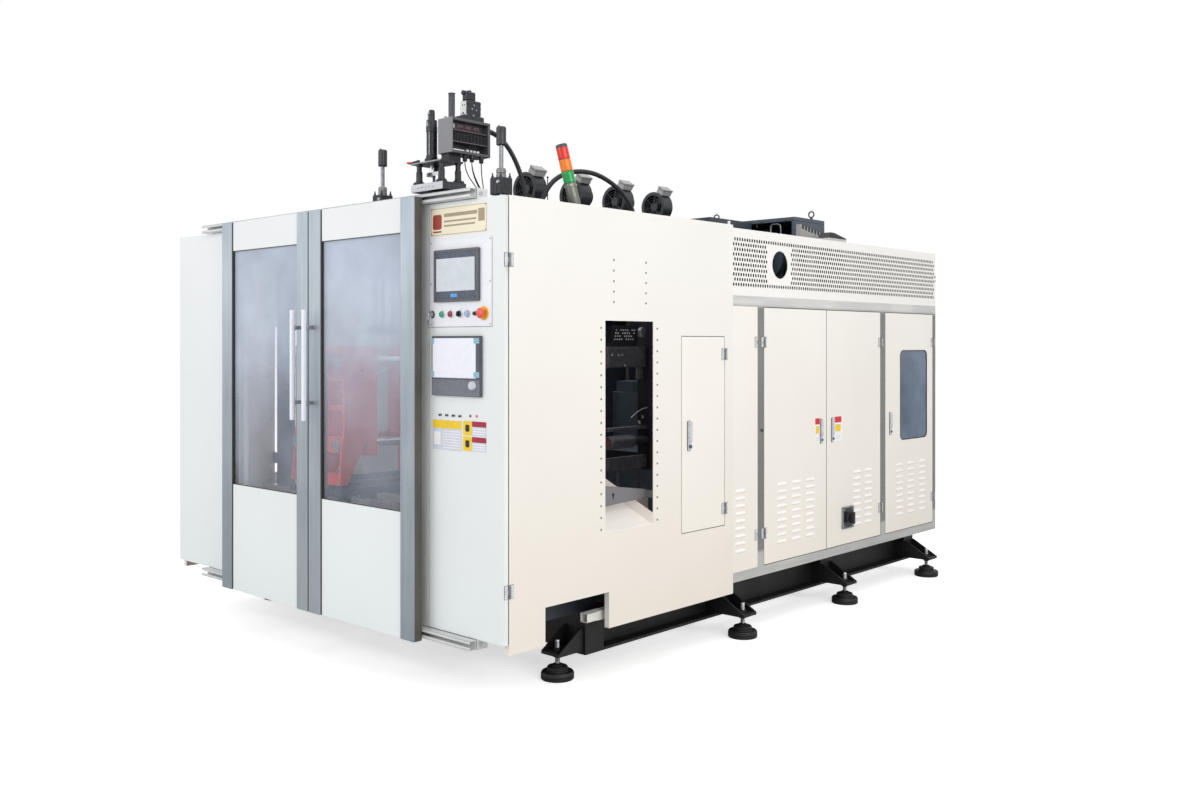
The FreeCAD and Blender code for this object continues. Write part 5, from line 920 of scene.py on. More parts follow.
def emergency_stop():
    shape = Shape()
    x = RIGHT - SWITCHES["emergency_stop"]
    base = FRONT - 0.011
    shape.rod((x, base + 0.0145, SWITCH_Z), 0.0039, 0.0145, OUT_Y, grey_metal, 0.0005, 12)
    shape.lathe([(0, 0), (0.0118, 0), (0.0120, 0.0005), (0.0120, 0.0065), (0.0200, 0.0085), (0.0228, 0.0105),
                 (0.0230, 0.0140), (0.0219, 0.0172), (0.0172, 0.0205), (0.0092, 0.0226), (0, 0.0230)],
                (x, base, SWITCH_Z), OUT_Y, mushroom_red, 40)
    for i in range(3):
        angle = math.tau * i / 3
        c, s = math.cos(angle) * 0.0105, math.sin(angle) * 0.0105
        turn = Matrix.Rotation(-angle, 3, "Y")
        shape.block((x + c - 0.004, base - 0.0226, SWITCH_Z + s - 0.0008), (x + c + 0.004, base - 0.0190, SWITCH_Z + s + 0.0008),
                    white_plastic, 0.0003, turn)
    return shape.make("emergency_stop", "emergency_stop", ("emergency_stop",), "red_plastic")


emergency_piece = emergency_stop()


def controller_knob():
    shape = Shape()
    x, z = RIGHT - 0.184, 1.416
    y = FRONT - 0.0185
    shape.lathe([(0, 0), (0.0200, 0), (0.0200, 0.0030), (0.0186, 0.0042), (0.0180, 0.0130), (0.0165, 0.0152),
                 (0.0120, 0.0155), (0.0114, 0.0147), (0, 0.0147)], (x, y, z), OUT_Y, knob_grey, 40)
    shape.block((x + 0.009, y - 0.0153, z - 0.0009), (x + 0.0165, y - 0.0140, z + 0.0009), black_plastic, 0.0002)
    shape.rod((x, FRONT + 0.0055, z), 0.0039, 0.024, OUT_Y, grey_metal, 0.0005, 12)
    return shape.make("controller_knob", "controller_knob", ("controller_knob",), "controller_plastic")


knob_piece = controller_knob()


# ------------------------------------------------------------------ cabinet panels and guard
GUARD_LOW, GUARD_HIGH = 1.866, 2.232
CABINET_FRONT = FRONT + 1.671
VENT_Y, VENT_Z, VENT_R = FRONT + 2.144, 2.052, 0.080


LOUVRE_ROWS, LOUVRE_LOW, LOUVRE_PITCH = 9, 0.462, 0.041
SERVICE_HINGES = (0.535, 1.610)


def louvre(shape, y, z, face=CABINET_FACE, half=0.0485, depth=0.007, height=0.016):
    """A pressed hood, open below, that runs out into the sheet at both ends."""
    profile = ((-0.03, 1.0), (0.55, 0.66), (0.90, 0.32), (1.0, 0.10), (0.92, 0.0), (-0.03, 0.0))
    stations = 11
    verts, faces = [], []
    for k in range(stations):
        t = -1 + 2 * k / (stations - 1)
        swell = math.sqrt(max(0.0, 1 - abs(t) ** 4))
        for out, rise in profile:
            verts.append((face + depth * (out * swell if out > 0 else out), y + half * t, z + height * rise * (0.4 + 0.6 * swell)))
    n = len(profile)
    for k in range(stations - 1):
        for i in range(n - 1):
            faces.append([k * n + i, k * n + i + 1, (k + 1) * n + i + 1, (k + 1) * n + i])
    # hood a little whiter than the leaf as painted highlight, then a dark strip under its lip as painted shadow
    shape.add(verts, faces, louvre_highlight_paint)
    shape.block((face - 0.0005, y - half * 0.92, z - 0.0055), (face + 0.0006, y + half * 0.92, z + 0.0005), louvre_shadow, 0.0002)


def cabinet_panels():
    shape = Shape()
    low, high = 0.354, 1.808
    deep = 0.022
    shape.tray((CABINET_FACE - deep, CABINET_FRONT, low), (CABINET_FACE, FRONT + 1.922, high), 0.003, "-x", leaf_paint)
    for a, b in ((1.671, 1.922), (1.982, 3.320), (3.380, 4.063)):
        shape.tray((-CABINET_FACE, FRONT + a, low), (-CABINET_FACE + deep, FRONT + b, high), 0.003, "+x", leaf_paint)
    inner = CABINET_FACE - 0.060
    shape.tray((-inner, BACK - 0.008, low), (inner, BACK, GUARD_HIGH), 0.003, "-y", leaf_paint)
    shape.tray((-CABINET_FACE, CABINET_FRONT, GUARD_LOW), (-CABINET_FACE + 0.027, BACK, GUARD_HIGH), 0.003, "+x", guard_paint)
    # perforated guard: edges, then rows of cells with a hole in each
    x, back = CABINET_FACE, CABINET_FACE - 0.002
    pitch, rise, rows = 0.0233, 0.0274, 10
    y_low, y_high = CABINET_FRONT + 0.012, BACK - 0.012
    z_low = GUARD_LOW + (GUARD_HIGH - GUARD_LOW - rise * rows) / 2
    z_high = z_low + rise * rows
    shape.sheet_piece(x, back, (CABINET_FRONT, GUARD_LOW), (BACK, z_low), guard_paint)
    shape.sheet_piece(x, back, (CABINET_FRONT, z_high), (BACK, GUARD_HIGH), guard_paint)
    vent_low, vent_high = VENT_Y - 0.112, VENT_Y + 0.112
    for row in range(rows):
        z0, z1 = z_low + rise * row, z_low + rise * (row + 1)
        start = y_low + (pitch / 2 if row % 2 else 0)
        spans = [(start, y_high)]
        if 0 < row < rows - 1:
            spans = [(start, vent_low), (vent_high + (0.0 if row % 2 else pitch / 2), y_high)]
        filled = CABINET_FRONT
        for a, b in spans:
            count = int((b - a) / pitch)
            if 0 < row < rows - 1 and a > vent_low:
                shape.sheet_piece(x, back, (vent_high, z0), (a, z1), guard_paint)
            else:
                shape.sheet_piece(x, back, (filled, z0), (a, z1), guard_paint)
            for i in range(count):
                y0 = a + pitch * i
                shape.hole_cell(x, back, (y0, z0), (y0 + pitch, z1), (y0 + pitch / 2, (z0 + z1) / 2), 0.0080, guard_paint, 8, 1.32)
            end = a + pitch * count
            stop = vent_low if (0 < row < rows - 1 and a < vent_low) else BACK
            shape.sheet_piece(x, back, (end, z0), (stop, z1), guard_paint)
    shape.hole_cell(x, back, (vent_low, z_low + rise), (vent_high, z_high - rise), (VENT_Y, VENT_Z), VENT_R, guard_paint, 56)
    shape.pipe((back, VENT_Y, VENT_Z), VENT_R + 0.001, VENT_R - 0.001, 0.0035, OUT_X, guard_paint, 0.0004, 56)
    # folded edges of the guard
    wall = 0.003
    shape.block((x - 0.027, CABINET_FRONT, GUARD_HIGH - wall), (x - 0.0005, BACK, GUARD_HIGH), guard_paint, 0.0008)
    shape.block((x - 0.027, CABINET_FRONT, GUARD_LOW), (x - 0.0005, BACK, GUARD_LOW + wall), guard_paint, 0.0008)
    for y in (CABINET_FRONT, BACK - wall):
        shape.block((x - 0.027, y, GUARD_LOW + wall), (x - 0.0005, y + wall, GUARD_HIGH - wall), guard_paint, 0.0008)
    # dark sheets behind the holes and on the inner faces: painted shade for the dim inside of the cabinet
    mat = x - 0.020
    for a, b in ((CABINET_FRONT + 0.003, vent_low), (vent_high, BACK - 0.003)):
        shape.block((mat - 0.002, a, GUARD_LOW + 0.004), (mat, b, GUARD_HIGH - 0.004), lining, 0.0005)
    for a, b in ((GUARD_LOW + 0.004, z_low + rise), (z_high - rise, GUARD_HIGH - 0.004)):
        shape.block((mat - 0.002, vent_low, a), (mat, vent_high, b), lining, 0.0005)
    for a, b in ((1.674, 1.920), (1.985, 3.317), (3.383, 4.060)):
        shape.block((-CABINET_FACE + 0.0225, FRONT + a, low + 0.003), (-CABINET_FACE + 0.0250, FRONT + b, high - 0.003), lining, 0.0005)
    shape.block((-CABINET_FACE + 0.0275, CABINET_FRONT + 0.003, GUARD_LOW + 0.004),
                (-CABINET_FACE + 0.0300, BACK - 0.010, GUARD_HIGH - 0.004), lining, 0.0005)
    shape.block((-inner + 0.003, BACK - 0.0110, low + 0.003), (inner - 0.003, BACK - 0.0085, GUARD_HIGH - 0.004), lining, 0.0005)
    # louvre column and hinge leaves of the first panel
    for i in range(LOUVRE_ROWS):
        louvre(shape, FRONT + 1.757, LOUVRE_LOW + LOUVRE_PITCH * i)
    for z in SERVICE_HINGES:
        hinge(shape, CABINET_FACE, FRONT + 1.9215, z, -1)
    return shape.make("cabinet_panels", "machine", ("cabinet_panels",), "cover_paint")


panels_piece = cabinet_panels()


# ------------------------------------------------------------------ hoses on top
def conduit(name, points, radius, ribbed=True):
    shape = Shape()
    path = even(smooth_path(points, 30), 0.0022 if ribbed else 0.006)
    radii = []
    for i in range(len(path)):
        radii.append(radius * (1.0 if i % 4 in (0, 1) else 0.86) if ribbed else radius)
    shape.sweep(path, radii, conduit_black if ribbed else hose_red, 14)
    return shape


MANIFOLD_END = FRONT + 0.789 + 0.292
BEAM_TOP = 2.040
HOSE_Z = 2.646
MAIN_ROUTE = [
    (0.094, MANIFOLD_END, 2.850), (0.094, MANIFOLD_END + 0.090, 2.850), (0.114, MANIFOLD_END + 0.190, 2.764),
    (0.146, MANIFOLD_END + 0.250, 2.622), (0.178, MANIFOLD_END + 0.262, 2.480), (0.194, MANIFOLD_END + 0.262, 2.330),
    (0.200, MANIFOLD_END + 0.250, 2.190), (0.200, MANIFOLD_END + 0.250, BEAM_TOP)]
CROSS_ROUTE = [
    (0.214, FRONT + 1.384, BEAM_TOP), (0.214, FRONT + 1.384, 2.190), (0.220, FRONT + 1.396, 2.340),
    (0.222, FRONT + 1.436, 2.480), (0.222, FRONT + 1.530, 2.600), (0.222, FRONT + 1.690, 2.668),
    (0.222, FRONT + 1.880, 2.682), (0.222, FRONT + 2.050, 2.640), (0.222, FRONT + 2.200, 2.560),
    (0.222, FRONT + 2.290, 2.440), (0.222, FRONT + 2.305, 2.300), (0.213, FRONT + 2.305, 2.170),
    (0.213, FRONT + 2.305, BEAM_TOP)]
RED_ROUTE = [
    (-0.105, DIE_Y - 0.070, HOSE_Z), (-0.150, DIE_Y - 0.070, HOSE_Z), (-0.200, DIE_Y - 0.066, HOSE_Z + 0.006),
    (-0.238, DIE_Y - 0.040, HOSE_Z + 0.012), (-0.246, DIE_Y, HOSE_Z + 0.014), (-0.228, DIE_Y + 0.040, HOSE_Z + 0.012),
    (-0.190, DIE_Y + 0.062, HOSE_Z + 0.006), (-0.150, DIE_Y + 0.068, HOSE_Z), (-0.105, DIE_Y + 0.068, HOSE_Z)]


def hoses():
    shape = Shape()
    for route in (MAIN_ROUTE, CROSS_ROUTE):
        path = even(smooth_path(route, 30), 0.0025)
        shape.sweep(path, [0.015 if i % 4 in (0, 1) else 0.0128 for i in range(len(path))], conduit_black, 14)
    path = even(smooth_path(RED_ROUTE, 30), 0.005)
    shape.sweep(path, [0.006] * len(path), hose_red, 14)
    return shape.make("conduits_and_hose", "machine", ("conduits_and_hose",), "conduit_plastic")


hoses_piece = hoses()


# ------------------------------------------------------------------ blow units
STATION = 0.531
RING_TOP = 2.230


def bolt(shape, at, way, radius, height, material):
    """A hexagon head on its washer."""
    shape.lathe([(0, 0), (radius * 1.25, 0), (radius * 1.25, height * 0.18), (0, height * 0.18)], at, way, material, 16)
    start = Vector(at) + Vector(way).normalized() * height * 0.16
    shape.lathe([(0, 0), (radius, 0), (radius, height * 0.72), (radius * 0.85, height * 0.84), (0, height * 0.84)],
                start, way, material, 6)


def blow_frame(shape, x):
    """Cylinder on its plate across the frame, with the guide block hung below it."""
    plate_low, plate_high = RING_TOP, 2.250
    y0, y1 = FRONT + 0.600, FRONT + 1.050
    shape.block((x - 0.130, y0, plate_low), (x + 0.130, y1, plate_high), machine_black, 0.002)
    half = 0.044
    shape.pipe((x, DIE_Y, 2.290), 0.036, 0.01205, 0.116, UP, machine_black, 0.001, 32)
    for low, high in ((2.250, 2.290), (2.406, 2.498)):
        for side in (-1, 1):
            shape.block((x + side * 0.01205, DIE_Y - half, low), (x + side * half, DIE_Y + half, high), unit_black, 0.0035)
            shape.block((x - 0.01205, DIE_Y + side * 0.01205, low), (x + 0.01205, DIE_Y + side * half, high), unit_black, 0.0005)
    for sx in (-1, 1):
        for sy in (-1, 1):
            at = (x + sx * 0.033, DIE_Y + sy * 0.033, 2.498)
            bolt(shape, at, UP, 0.007, 0.012, unit_black)
            shape.rod((at[0], at[1], 2.508), 0.004, 0.016, UP, unit_black, 0.001, 10)
            shape.rod((at[0], at[1], 2.290), 0.0045, 0.116, UP, zinc, 0.0005, 12)
    # gland collar with its flats and a groove
    shape.lathe([(0.01205, 0), (0.0270, 0), (0.0270, 0.020), (0.0245, 0.022), (0.0245, 0.026), (0.0270, 0.028),
                 (0.0270, 0.044), (0.0225, 0.052), (0.0150, 0.052), (0.01205, 0.050), (0.01205, 0)],
                (x, DIE_Y, 2.498), UP, collar_grey, 12)
    shape.rod((x + 0.030, DIE_Y - half, 2.470), 0.010, 0.012, OUT_Y, zinc, 0.001, 6)
    shape.rod((x - 0.026, DIE_Y - half, 2.268), 0.009, 0.012, OUT_Y, zinc, 0.001, 6)
    # guide block in two halves round its bores, with its struts
    low, high = 2.000, 2.130
    bores = (-0.085, 0.0, 0.085)
    radii = (0.01505, 0.01205, 0.01505)
    edges = [-0.120]
    for spot, radius in zip(bores, radii):
        edges += [spot - radius, spot + radius]
    edges.append(0.120)
    for a, b in zip(edges[::2], edges[1::2]):
        shape.block((x + a, DIE_Y - 0.060, low), (x + b, DIE_Y + 0.060, high), machine_black, 0.0005)
    for spot, radius in zip(bores, radii):
        for side in (-1, 1):
            shape.block((x + spot - radius, DIE_Y + side * radius, low), (x + spot + radius, DIE_Y + side * 0.060, high),
                        machine_black, 0.0004)
        shape.pipe((x + spot, DIE_Y, high), radius + 0.010, radius, 0.008, UP, zinc, 0.001, 24)
    for a in (-0.120, 0.105):
        shape.block((x + a, DIE_Y - 0.060, high), (x + a + 0.015, DIE_Y + 0.060, RING_TOP), machine_black, 0.001)


def blow_frames():
    shape = Shape()
    for x in (-STATION, STATION):
        blow_frame(shape, x)
    return shape.make("blow_unit_frames", "machine", ("blow_unit_frames",), "frame_paint")


def blow_pin(name, x):
    """What moves: stop head on its rod, crosshead with two guide rods, and the blow pin."""
    shape = Shape()
    shape.lathe([(0, 0), (0.0120, 0), (0.0120, 0.960), (0, 0.960)], (x, DIE_Y, 1.715), UP, rod_grey, 24)
    shape.lathe([(0.0120, 0), (0.0240, 0), (0.0270, 0.004), (0.0270, 0.094), (0.0230, 0.100), (0, 0.100)],
                (x, DIE_Y, 2.675), UP, stop_black, 24)
    for z in (2.695, 2.745):
        shape.lathe([(0.0266, 0), (0.0272, 0.001), (0.0272, 0.004), (0.0266, 0.005)], (x, DIE_Y, z), UP, unit_black, 24)
    bolt(shape, (x - 0.013, DIE_Y - 0.006, 2.7735), UP, 0.006, 0.010, unit_black)
    shape.block((x - 0.115, DIE_Y - 0.040, 1.660), (x + 0.115, DIE_Y + 0.040, 1.715), machine_black, 0.004)
    for side in (-0.085, 0.085):
        shape.rod((x + side, DIE_Y, 1.715), 0.0150, 0.635, UP, bright_steel, 0.002, 24)
        bolt(shape, (x + side, DIE_Y, 1.660), (0, 0, -1), 0.010, 0.010, zinc)
    shape.lathe([(0, 0), (0.0080, 0), (0.0120, 0.010), (0.0140, 0.022), (0.0140, 0.080), (0.0140, 0.110), (0, 0.110)],
                (x, DIE_Y, 1.550), UP, bright_steel, 24)
    return shape.make(name, name, (name,), "steel")


blow_frames_piece = blow_frames()
left_pin_piece = blow_pin("left_blow_pin", -STATION)
right_pin_piece = blow_pin("right_blow_pin", STATION)


# ------------------------------------------------------------------ die head top
PLATE_1, PLATE_1_TOP = 2.469, 2.514
PLATE_2, PLATE_2_TOP = 2.630, 2.640


def ring_sheet(shape, low, high, centre, radius, z0, z1, material, bevel=0.001, sides=28):
    """A rectangular plate with one round hole, built as four bevelled strips and a round lining."""
    (x0, y0), (x1, y1) = low, high
    cx, cy = centre
    r = radius
    shape.block((x0, y0, z0), (x1, cy - r, z1), material, bevel)
    shape.block((x0, cy + r, z0), (x1, y1, z1), material, bevel)
    shape.block((x0, cy - r, z0), (cx - r, cy + r, z1), material, bevel * 0.2)
    shape.block((cx + r, cy - r, z0), (x1, cy + r, z1), material, bevel * 0.2)
    for k in range(4):
        start = math.pi / 2 * k
        arc = [(cx + r * math.cos(start + math.pi / 2 * i / 7), cy + r * math.sin(start + math.pi / 2 * i / 7)) for i in range(8)]
        sx, sy = ((1, 1), (-1, 1), (-1, -1), (1, -1))[k]
        corner = (cx + r * sx, cy + r * sy)
        shape.prism([*arc, corner], 2, z0 + 0.0002, z1 - 0.0002, material)


def head_plates():
    """Milled lower plate, four flanged standoffs, the thin upper plate and its hose fittings."""
    shape = Shape()
    half, y0, y1 = 0.142, DIE_Y - 0.087, DIE_Y + 0.087
    ring_sheet(shape, (-half, y0), (half, y1), (0, DIE_Y), 0.0211, PLATE_1, PLATE_1_TOP, plate_dark, 0.002)
    # milled front face with its screws
    shape.block((-half + 0.001, y0 - 0.0006, PLATE_1 + 0.001), (half - 0.001, y0 + 0.002, PLATE_1_TOP - 0.001), milled_face, 0.0004)
    for i in range(5):
        screw_head(shape, (-0.078 + 0.034 * i, y0 - 0.0006, PLATE_1 + 0.022 + 0.003 * (i % 2)), OUT_Y, 0.005, zinc, 0.002)
    for x in (-0.100, 0.100):
        for dy in (-0.060, 0.060):
            at = (x, DIE_Y + dy, PLATE_1_TOP)
            shape.lathe([(0, 0), (0.030, 0), (0.031, 0.002), (0.031, 0.010), (0.026, 0.013), (0.020, 0.020), (0.0185, 0.028),
                         (0.0185, 0.070), (0.0150, 0.078), (0.0150, 0.104), (0.0190, 0.107), (0.0190, 0.1155), (0, 0.1155)],
                        at, UP, unit_black, 24)
            for k in range(4):
                angle = math.tau * (k + 0.5) / 4
                bolt(shape, (x + 0.0245 * math.cos(angle), DIE_Y + dy + 0.0245 * math.sin(angle), PLATE_1_TOP + 0.010),
                     UP, 0.0040, 0.006, unit_black)
    for x in (-0.128, 0.128):
        bolt(shape, (x, y0 + 0.014, PLATE_1_TOP), UP, 0.007, 0.014, unit_black)
        bolt(shape, (x, y1 - 0.014, PLATE_1_TOP), UP, 0.007, 0.014, unit_black)
    ring_sheet(shape, (-half - 0.008, y0 + 0.003), (half - 0.022, y1 - 0.003), (-0.062, DIE_Y), 0.0130, PLATE_2, PLATE_2_TOP,
               plate_dark, 0.001)
    shape.block((-half - 0.008, y0 + 0.0028, PLATE_2 + 0.001), (half - 0.022, y0 + 0.004, PLATE_2_TOP - 0.001), grey_metal, 0.0003)
    for dy in (-0.070, 0.068):
        shape.block((-0.105, DIE_Y + dy - 0.008, PLATE_2_TOP), (-0.089, DIE_Y + dy + 0.008, PLATE_2_TOP + 0.016), unit_black, 0.002)
        shape.rod((-0.104, DIE_Y + dy, HOSE_Z), 0.0085, 0.030, (-1, 0, 0), rubber, 0.002, 14)
        shape.rod((-0.134, DIE_Y + dy, HOSE_Z), 0.0072, 0.014, (-1, 0, 0), unit_black, 0.002, 14)
    return shape.make("head_plates", "machine", ("head_plates",), "plate_white")


def parison_cylinder():
    """Black hydraulic cylinder: square flange, ribbed barrel with tie strips, cap and port."""
    shape = Shape()
    x = -0.062
    bore = 0.01205
    for side in (-1, 1):
        shape.block((x + side * bore, DIE_Y - 0.030, PLATE_2_TOP), (x + side * 0.030, DIE_Y + 0.030, PLATE_2_TOP + 0.030), unit_black, 0.002)
        shape.block((x - bore, DIE_Y + side * bore, PLATE_2_TOP), (x + bore, DIE_Y + side * 0.030, PLATE_2_TOP + 0.030), unit_black, 0.0004)
    shape.lathe([(bore, 0.030), (0.033, 0.030), (0.033, 0.044), (0.0300, 0.047), (0.0300, 0.178), (0.033, 0.181), (0.033, 0.212),
                 (0.0315, 0.214), (0.0315, 0.246), (0.0290, 0.250), (0.0180, 0.250), (0.0180, 0.300), (0.0150, 0.309), (0, 0.309)],
                (x, DIE_Y, PLATE_2_TOP), UP, unit_black, 36)
    for k in range(8):
        angle = math.tau * (k + 0.5) / 8
        at = (x + 0.0305 * math.cos(angle), DIE_Y + 0.0305 * math.sin(angle), PLATE_2_TOP + 0.046)
        shape.rod(at, 0.0024, 0.134, UP, grey_metal if k in (5, 6) else unit_black, 0.0004, 8)
    shape.rod((x - 0.012, DIE_Y - 0.010, PLATE_2_TOP + 0.250), 0.0080, 0.046, UP, grey_metal, 0.001, 6)
    shape.rod((x, DIE_Y - 0.017, PLATE_2_TOP + 0.285), 0.0070, 0.012, OUT_Y, zinc, 0.001, 6)
    shape.block((x - 0.004, DIE_Y - 0.0335, PLATE_2_TOP + 0.215), (x + 0.004, DIE_Y - 0.0300, PLATE_2_TOP + 0.240), zinc, 0.0008)
    return shape.make("parison_cylinder", "machine", ("parison_cylinder",), "black_plastic")


def valve_manifold():
    """Manifold block: plain end plate, open duct with its comb and wires, valves and transducer on top."""
    shape = Shape()
    x0, y0, z0 = 0.033, FRONT + 0.789, 2.680
    x1, y1, z1 = x0 + 0.121, y0 + 0.292, 2.880
    duct = 0.060
    shape.block((x0, y0 + 0.004, z0), (x1 - duct, y1, z1), machine_black, 0.002)
    shape.block((x0, y0, z0), (x1, y0 + 0.012, z1), manifold_end, 0.0025)
    shape.block((x1 - duct, y0 + 0.011, z1 - 0.016), (x1, y1, z1), manifold_grey, 0.0015)
    shape.block((x1 - duct, y0 + 0.011, z0), (x1, y1, z0 + 0.016), manifold_grey, 0.0015)
    shape.block((x1 - duct, y1 - 0.018, z0 + 0.015), (x1, y1, z1 - 0.015), manifold_grey, 0.0015)
    # inside: a shelf with slots, the comb of the wiring duct, a strip and a lower shelf
    inner = x1 - duct
    shape.block((inner, y0 + 0.012, z0 + 0.128), (x1 - 0.012, y1 - 0.018, z0 + 0.134), manifold_grey, 0.0006)
    shape.block((inner, y0 + 0.012, z0 + 0.134), (x1 - 0.040, y1 - 0.018, z0 + 0.184), plate_dark, 0.001)
    for i in range(3):
        at = y0 + 0.070 + i * 0.062
        shape.block((x1 - 0.041, at, z0 + 0.150), (x1 - 0.036, at + 0.044, z0 + 0.170), manifold_grey, 0.001)
    for i in range(2):
        shape.block((x1 - 0.041, y0 + 0.024 + i * 0.020, z0 + 0.158 - i * 0.010), (x1 - 0.036, y0 + 0.032 + i * 0.020, z0 + 0.172), white_plastic, 0.0008)
    for i in range(24):
        at = y0 + 0.018 + i * 0.0107
        shape.block((inner, at, z0 + 0.070), (x1 - 0.012, at + 0.005, z0 + 0.122), unit_black, 0.0005)
    shape.block((inner, y0 + 0.012, z0 + 0.064), (x1 - 0.010, y1 - 0.018, z0 + 0.070), manifold_grey, 0.0006)
    shape.block((x1 - 0.030, y0 + 0.030, z0 + 0.018), (x1 - 0.018, y0 + 0.110, z0 + 0.026), white_plastic, 0.0008)
    for i in range(4):
        shape.block((x1 - 0.030, y0 + 0.126 + i * 0.026, z0 + 0.017), (x1 - 0.016, y0 + 0.142 + i * 0.026, z0 + 0.030), white_plastic, 0.0008)
    wires = ((0.150, 0.062, 0.060), (0.162, 0.050, 0.046), (0.176, 0.058, 0.052), (0.140, 0.052, 0.040), (0.196, 0.060, 0.048))
    for i, (start, high, reach) in enumerate(wires):
        path = [Vector((x1 - 0.020, y0 + start + reach * t / 8, z0 + 0.022 + high * math.sin(math.pi * t / 8) * 0.8)) for t in range(9)]
        shape.sweep(path, [0.0016] * len(path), conduit_black if i % 2 else rubber, 6)
    for i in range(4):
        path = [Vector((x1 - 0.034, y0 + 0.080 + i * 0.040 + 0.030 * t / 6, z0 + 0.144 + 0.018 * math.sin(math.pi * t / 6))) for t in range(7)]
        shape.sweep(path, [0.0014] * len(path), field_crimson, 6)
    # foot on the upper plate
    shape.block((x0 + 0.010, y0 + 0.015, PLATE_2_TOP), (x0 + 0.080, y0 + 0.105, z0), unit_black, 0.003)
    # cable glands under the duct
    for i, (gx, gy) in enumerate(((0.086, 0.128), (0.100, 0.168), (0.104, 0.236))):
        at = (x0 + gx, y0 + gy, z0)
        shape.lathe([(0, 0), (0.016, 0), (0.016, 0.014), (0.0135, 0.016), (0.0135, 0.030), (0.0110, 0.036), (0, 0.036)],
                    at, (0, 0, -1), unit_black, 12)
    # valve plate, servo valve body, its pale socket and the pilot above it
    shape.block((x0 + 0.017, y0 + 0.112, z1), (x0 + 0.107, y0 + 0.257, z1 + 0.030), unit_black, 0.003)
    for i in range(3):
        bolt(shape, (x0 + 0.100, y0 + 0.125 + 0.055 * i, z1 + 0.030), UP, 0.005, 0.007, zinc)
    shape.block((x0 + 0.027, y0 + 0.142, z1 + 0.030), (x0 + 0.097, y0 + 0.242, z1 + 0.120), unit_black, 0.004)
    for dz in (0.048, 0.078, 0.104):
        shape.block((x0 + 0.0265, y0 + 0.1415, z1 + dz), (x0 + 0.0975, y0 + 0.2425, z1 + dz + 0.003), plate_dark, 0.0008)
    for dy, dz in ((0.172, 0.070), (0.205, 0.066), (0.186, 0.092)):
        shape.rod((x0 + 0.097, y0 + dy, z1 + dz), 0.0065, 0.004, OUT_X, grey_metal, 0.001, 12)
    shape.block((x0 + 0.034, y0 + 0.1395, z1 + 0.040), (x0 + 0.082, y0 + 0.1425, z1 + 0.116), white_plastic, 0.001)
    for dx in (0.048, 0.066):
        shape.block((x0 + dx, y0 + 0.1385, z1 + 0.090), (x0 + dx + 0.007, y0 + 0.1400, z1 + 0.098), black_plastic, 0.0004)
    shape.block((x0 + 0.052, y0 + 0.1385, z1 + 0.043), (x0 + 0.064, y0 + 0.1400, z1 + 0.054), black_plastic, 0.0006)
    shape.block((x0 + 0.037, y0 + 0.147, z1 + 0.120), (x0 + 0.087, y0 + 0.212, z1 + 0.172), unit_black, 0.006)
    shape.rod((x0 + 0.050, y0 + 0.140, z1 + 0.168), 0.014, 0.060, (0, 1, 0), unit_black, 0.002, 20)
    shape.lathe([(0, 0), (0.012, 0), (0.013, 0.004), (0.013, 0.010), (0.006, 0.013), (0, 0.013)],
                (x0 + 0.064, y0 + 0.180, z1 + 0.171), UP, unit_black, 16)
    # position transducer: a slim post with a window and a cap
    shape.block((x0 + 0.086, y0 + 0.005, z1), (x0 + 0.114, y0 + 0.033, z1 + 0.134), transducer_grey, 0.002)
    shape.block((x0 + 0.091, y0 + 0.0045, z1 + 0.090), (x0 + 0.109, y0 + 0.0060, z1 + 0.094), unit_black, 0.0004)
    shape.block((x0 + 0.091, y0 + 0.0045, z1 + 0.112), (x0 + 0.109, y0 + 0.0060, z1 + 0.130), plate_dark, 0.0008)
    shape.block((x0 + 0.084, y0 + 0.003, z1 + 0.132), (x0 + 0.116, y0 + 0.035, z1 + 0.136), unit_black, 0.001)
    # small fittings in front of the block
    shape.rod((x0 + 0.020, y0 + 0.040, z1), 0.008, 0.020, UP, zinc, 0.001, 6)
    shape.rod((x0 + 0.052, y0 + 0.060, z1), 0.006, 0.014, UP, unit_black, 0.001, 10)
    return shape.make("valve_manifold", "machine", ("valve_manifold",), "black_plastic")


head_plates_piece = head_plates()
cylinder_piece = parison_cylinder()
manifold_piece = valve_manifold()


# ------------------------------------------------------------------ signal tower
TOWER_FOOT = Vector((RIGHT - 0.105, FRONT + 0.548, 2.255))
TOWER_LEAN = Matrix.Rotation(math.radians(13), 3, Vector((0.6769, -0.7361, 0)))
TOWER_WAY = TOWER_LEAN @ Vector((0, 0, 1))
LENS_HEIGHT = 0.058


def tower_body():
    shape = Shape()
    low, high = RING_TOP, 2.257
    shape.block((TOWER_FOOT.x - 0.045, TOWER_FOOT.y - 0.045, low), (TOWER_FOOT.x + 0.045, TOWER_FOOT.y + 0.045, high), grey_metal, 0.003)
    shape.rod((TOWER_FOOT.x, TOWER_FOOT.y, 2.255), 0.024, 0.014, UP, grey_metal, 0.002, 28)
    shape.lathe([(0, 0), (0.0270, 0), (0.0280, 0.002), (0.0280, 0.084), (0.0270, 0.085), (0.0270, 0.087), (0.0280, 0.088),
                 (0.0280, 0.105), (0, 0.105)], TOWER_FOOT, TOWER_WAY, tower_grey, 40)
    for k in range(4):
        angle = math.tau * (k + 0.5) / 4
        side = TOWER_LEAN @ Vector((math.cos(angle), math.sin(angle), 0))
        screw_head(shape, TOWER_FOOT + TOWER_WAY * 0.094 + side * 0.0279, side, 0.0035, white_plastic, 0.002)
    top = 0.105 + LENS_HEIGHT * 3
    shape.lathe([(0, 0), (0.0280, 0), (0.0280, 0.012), (0.0255, 0.0165), (0.0180, 0.018), (0, 0.018)],
                TOWER_FOOT + TOWER_WAY * top, TOWER_WAY, cap_grey, 40)
    return shape.make("tower_body", "machine", ("tower_body",), "box_paint")


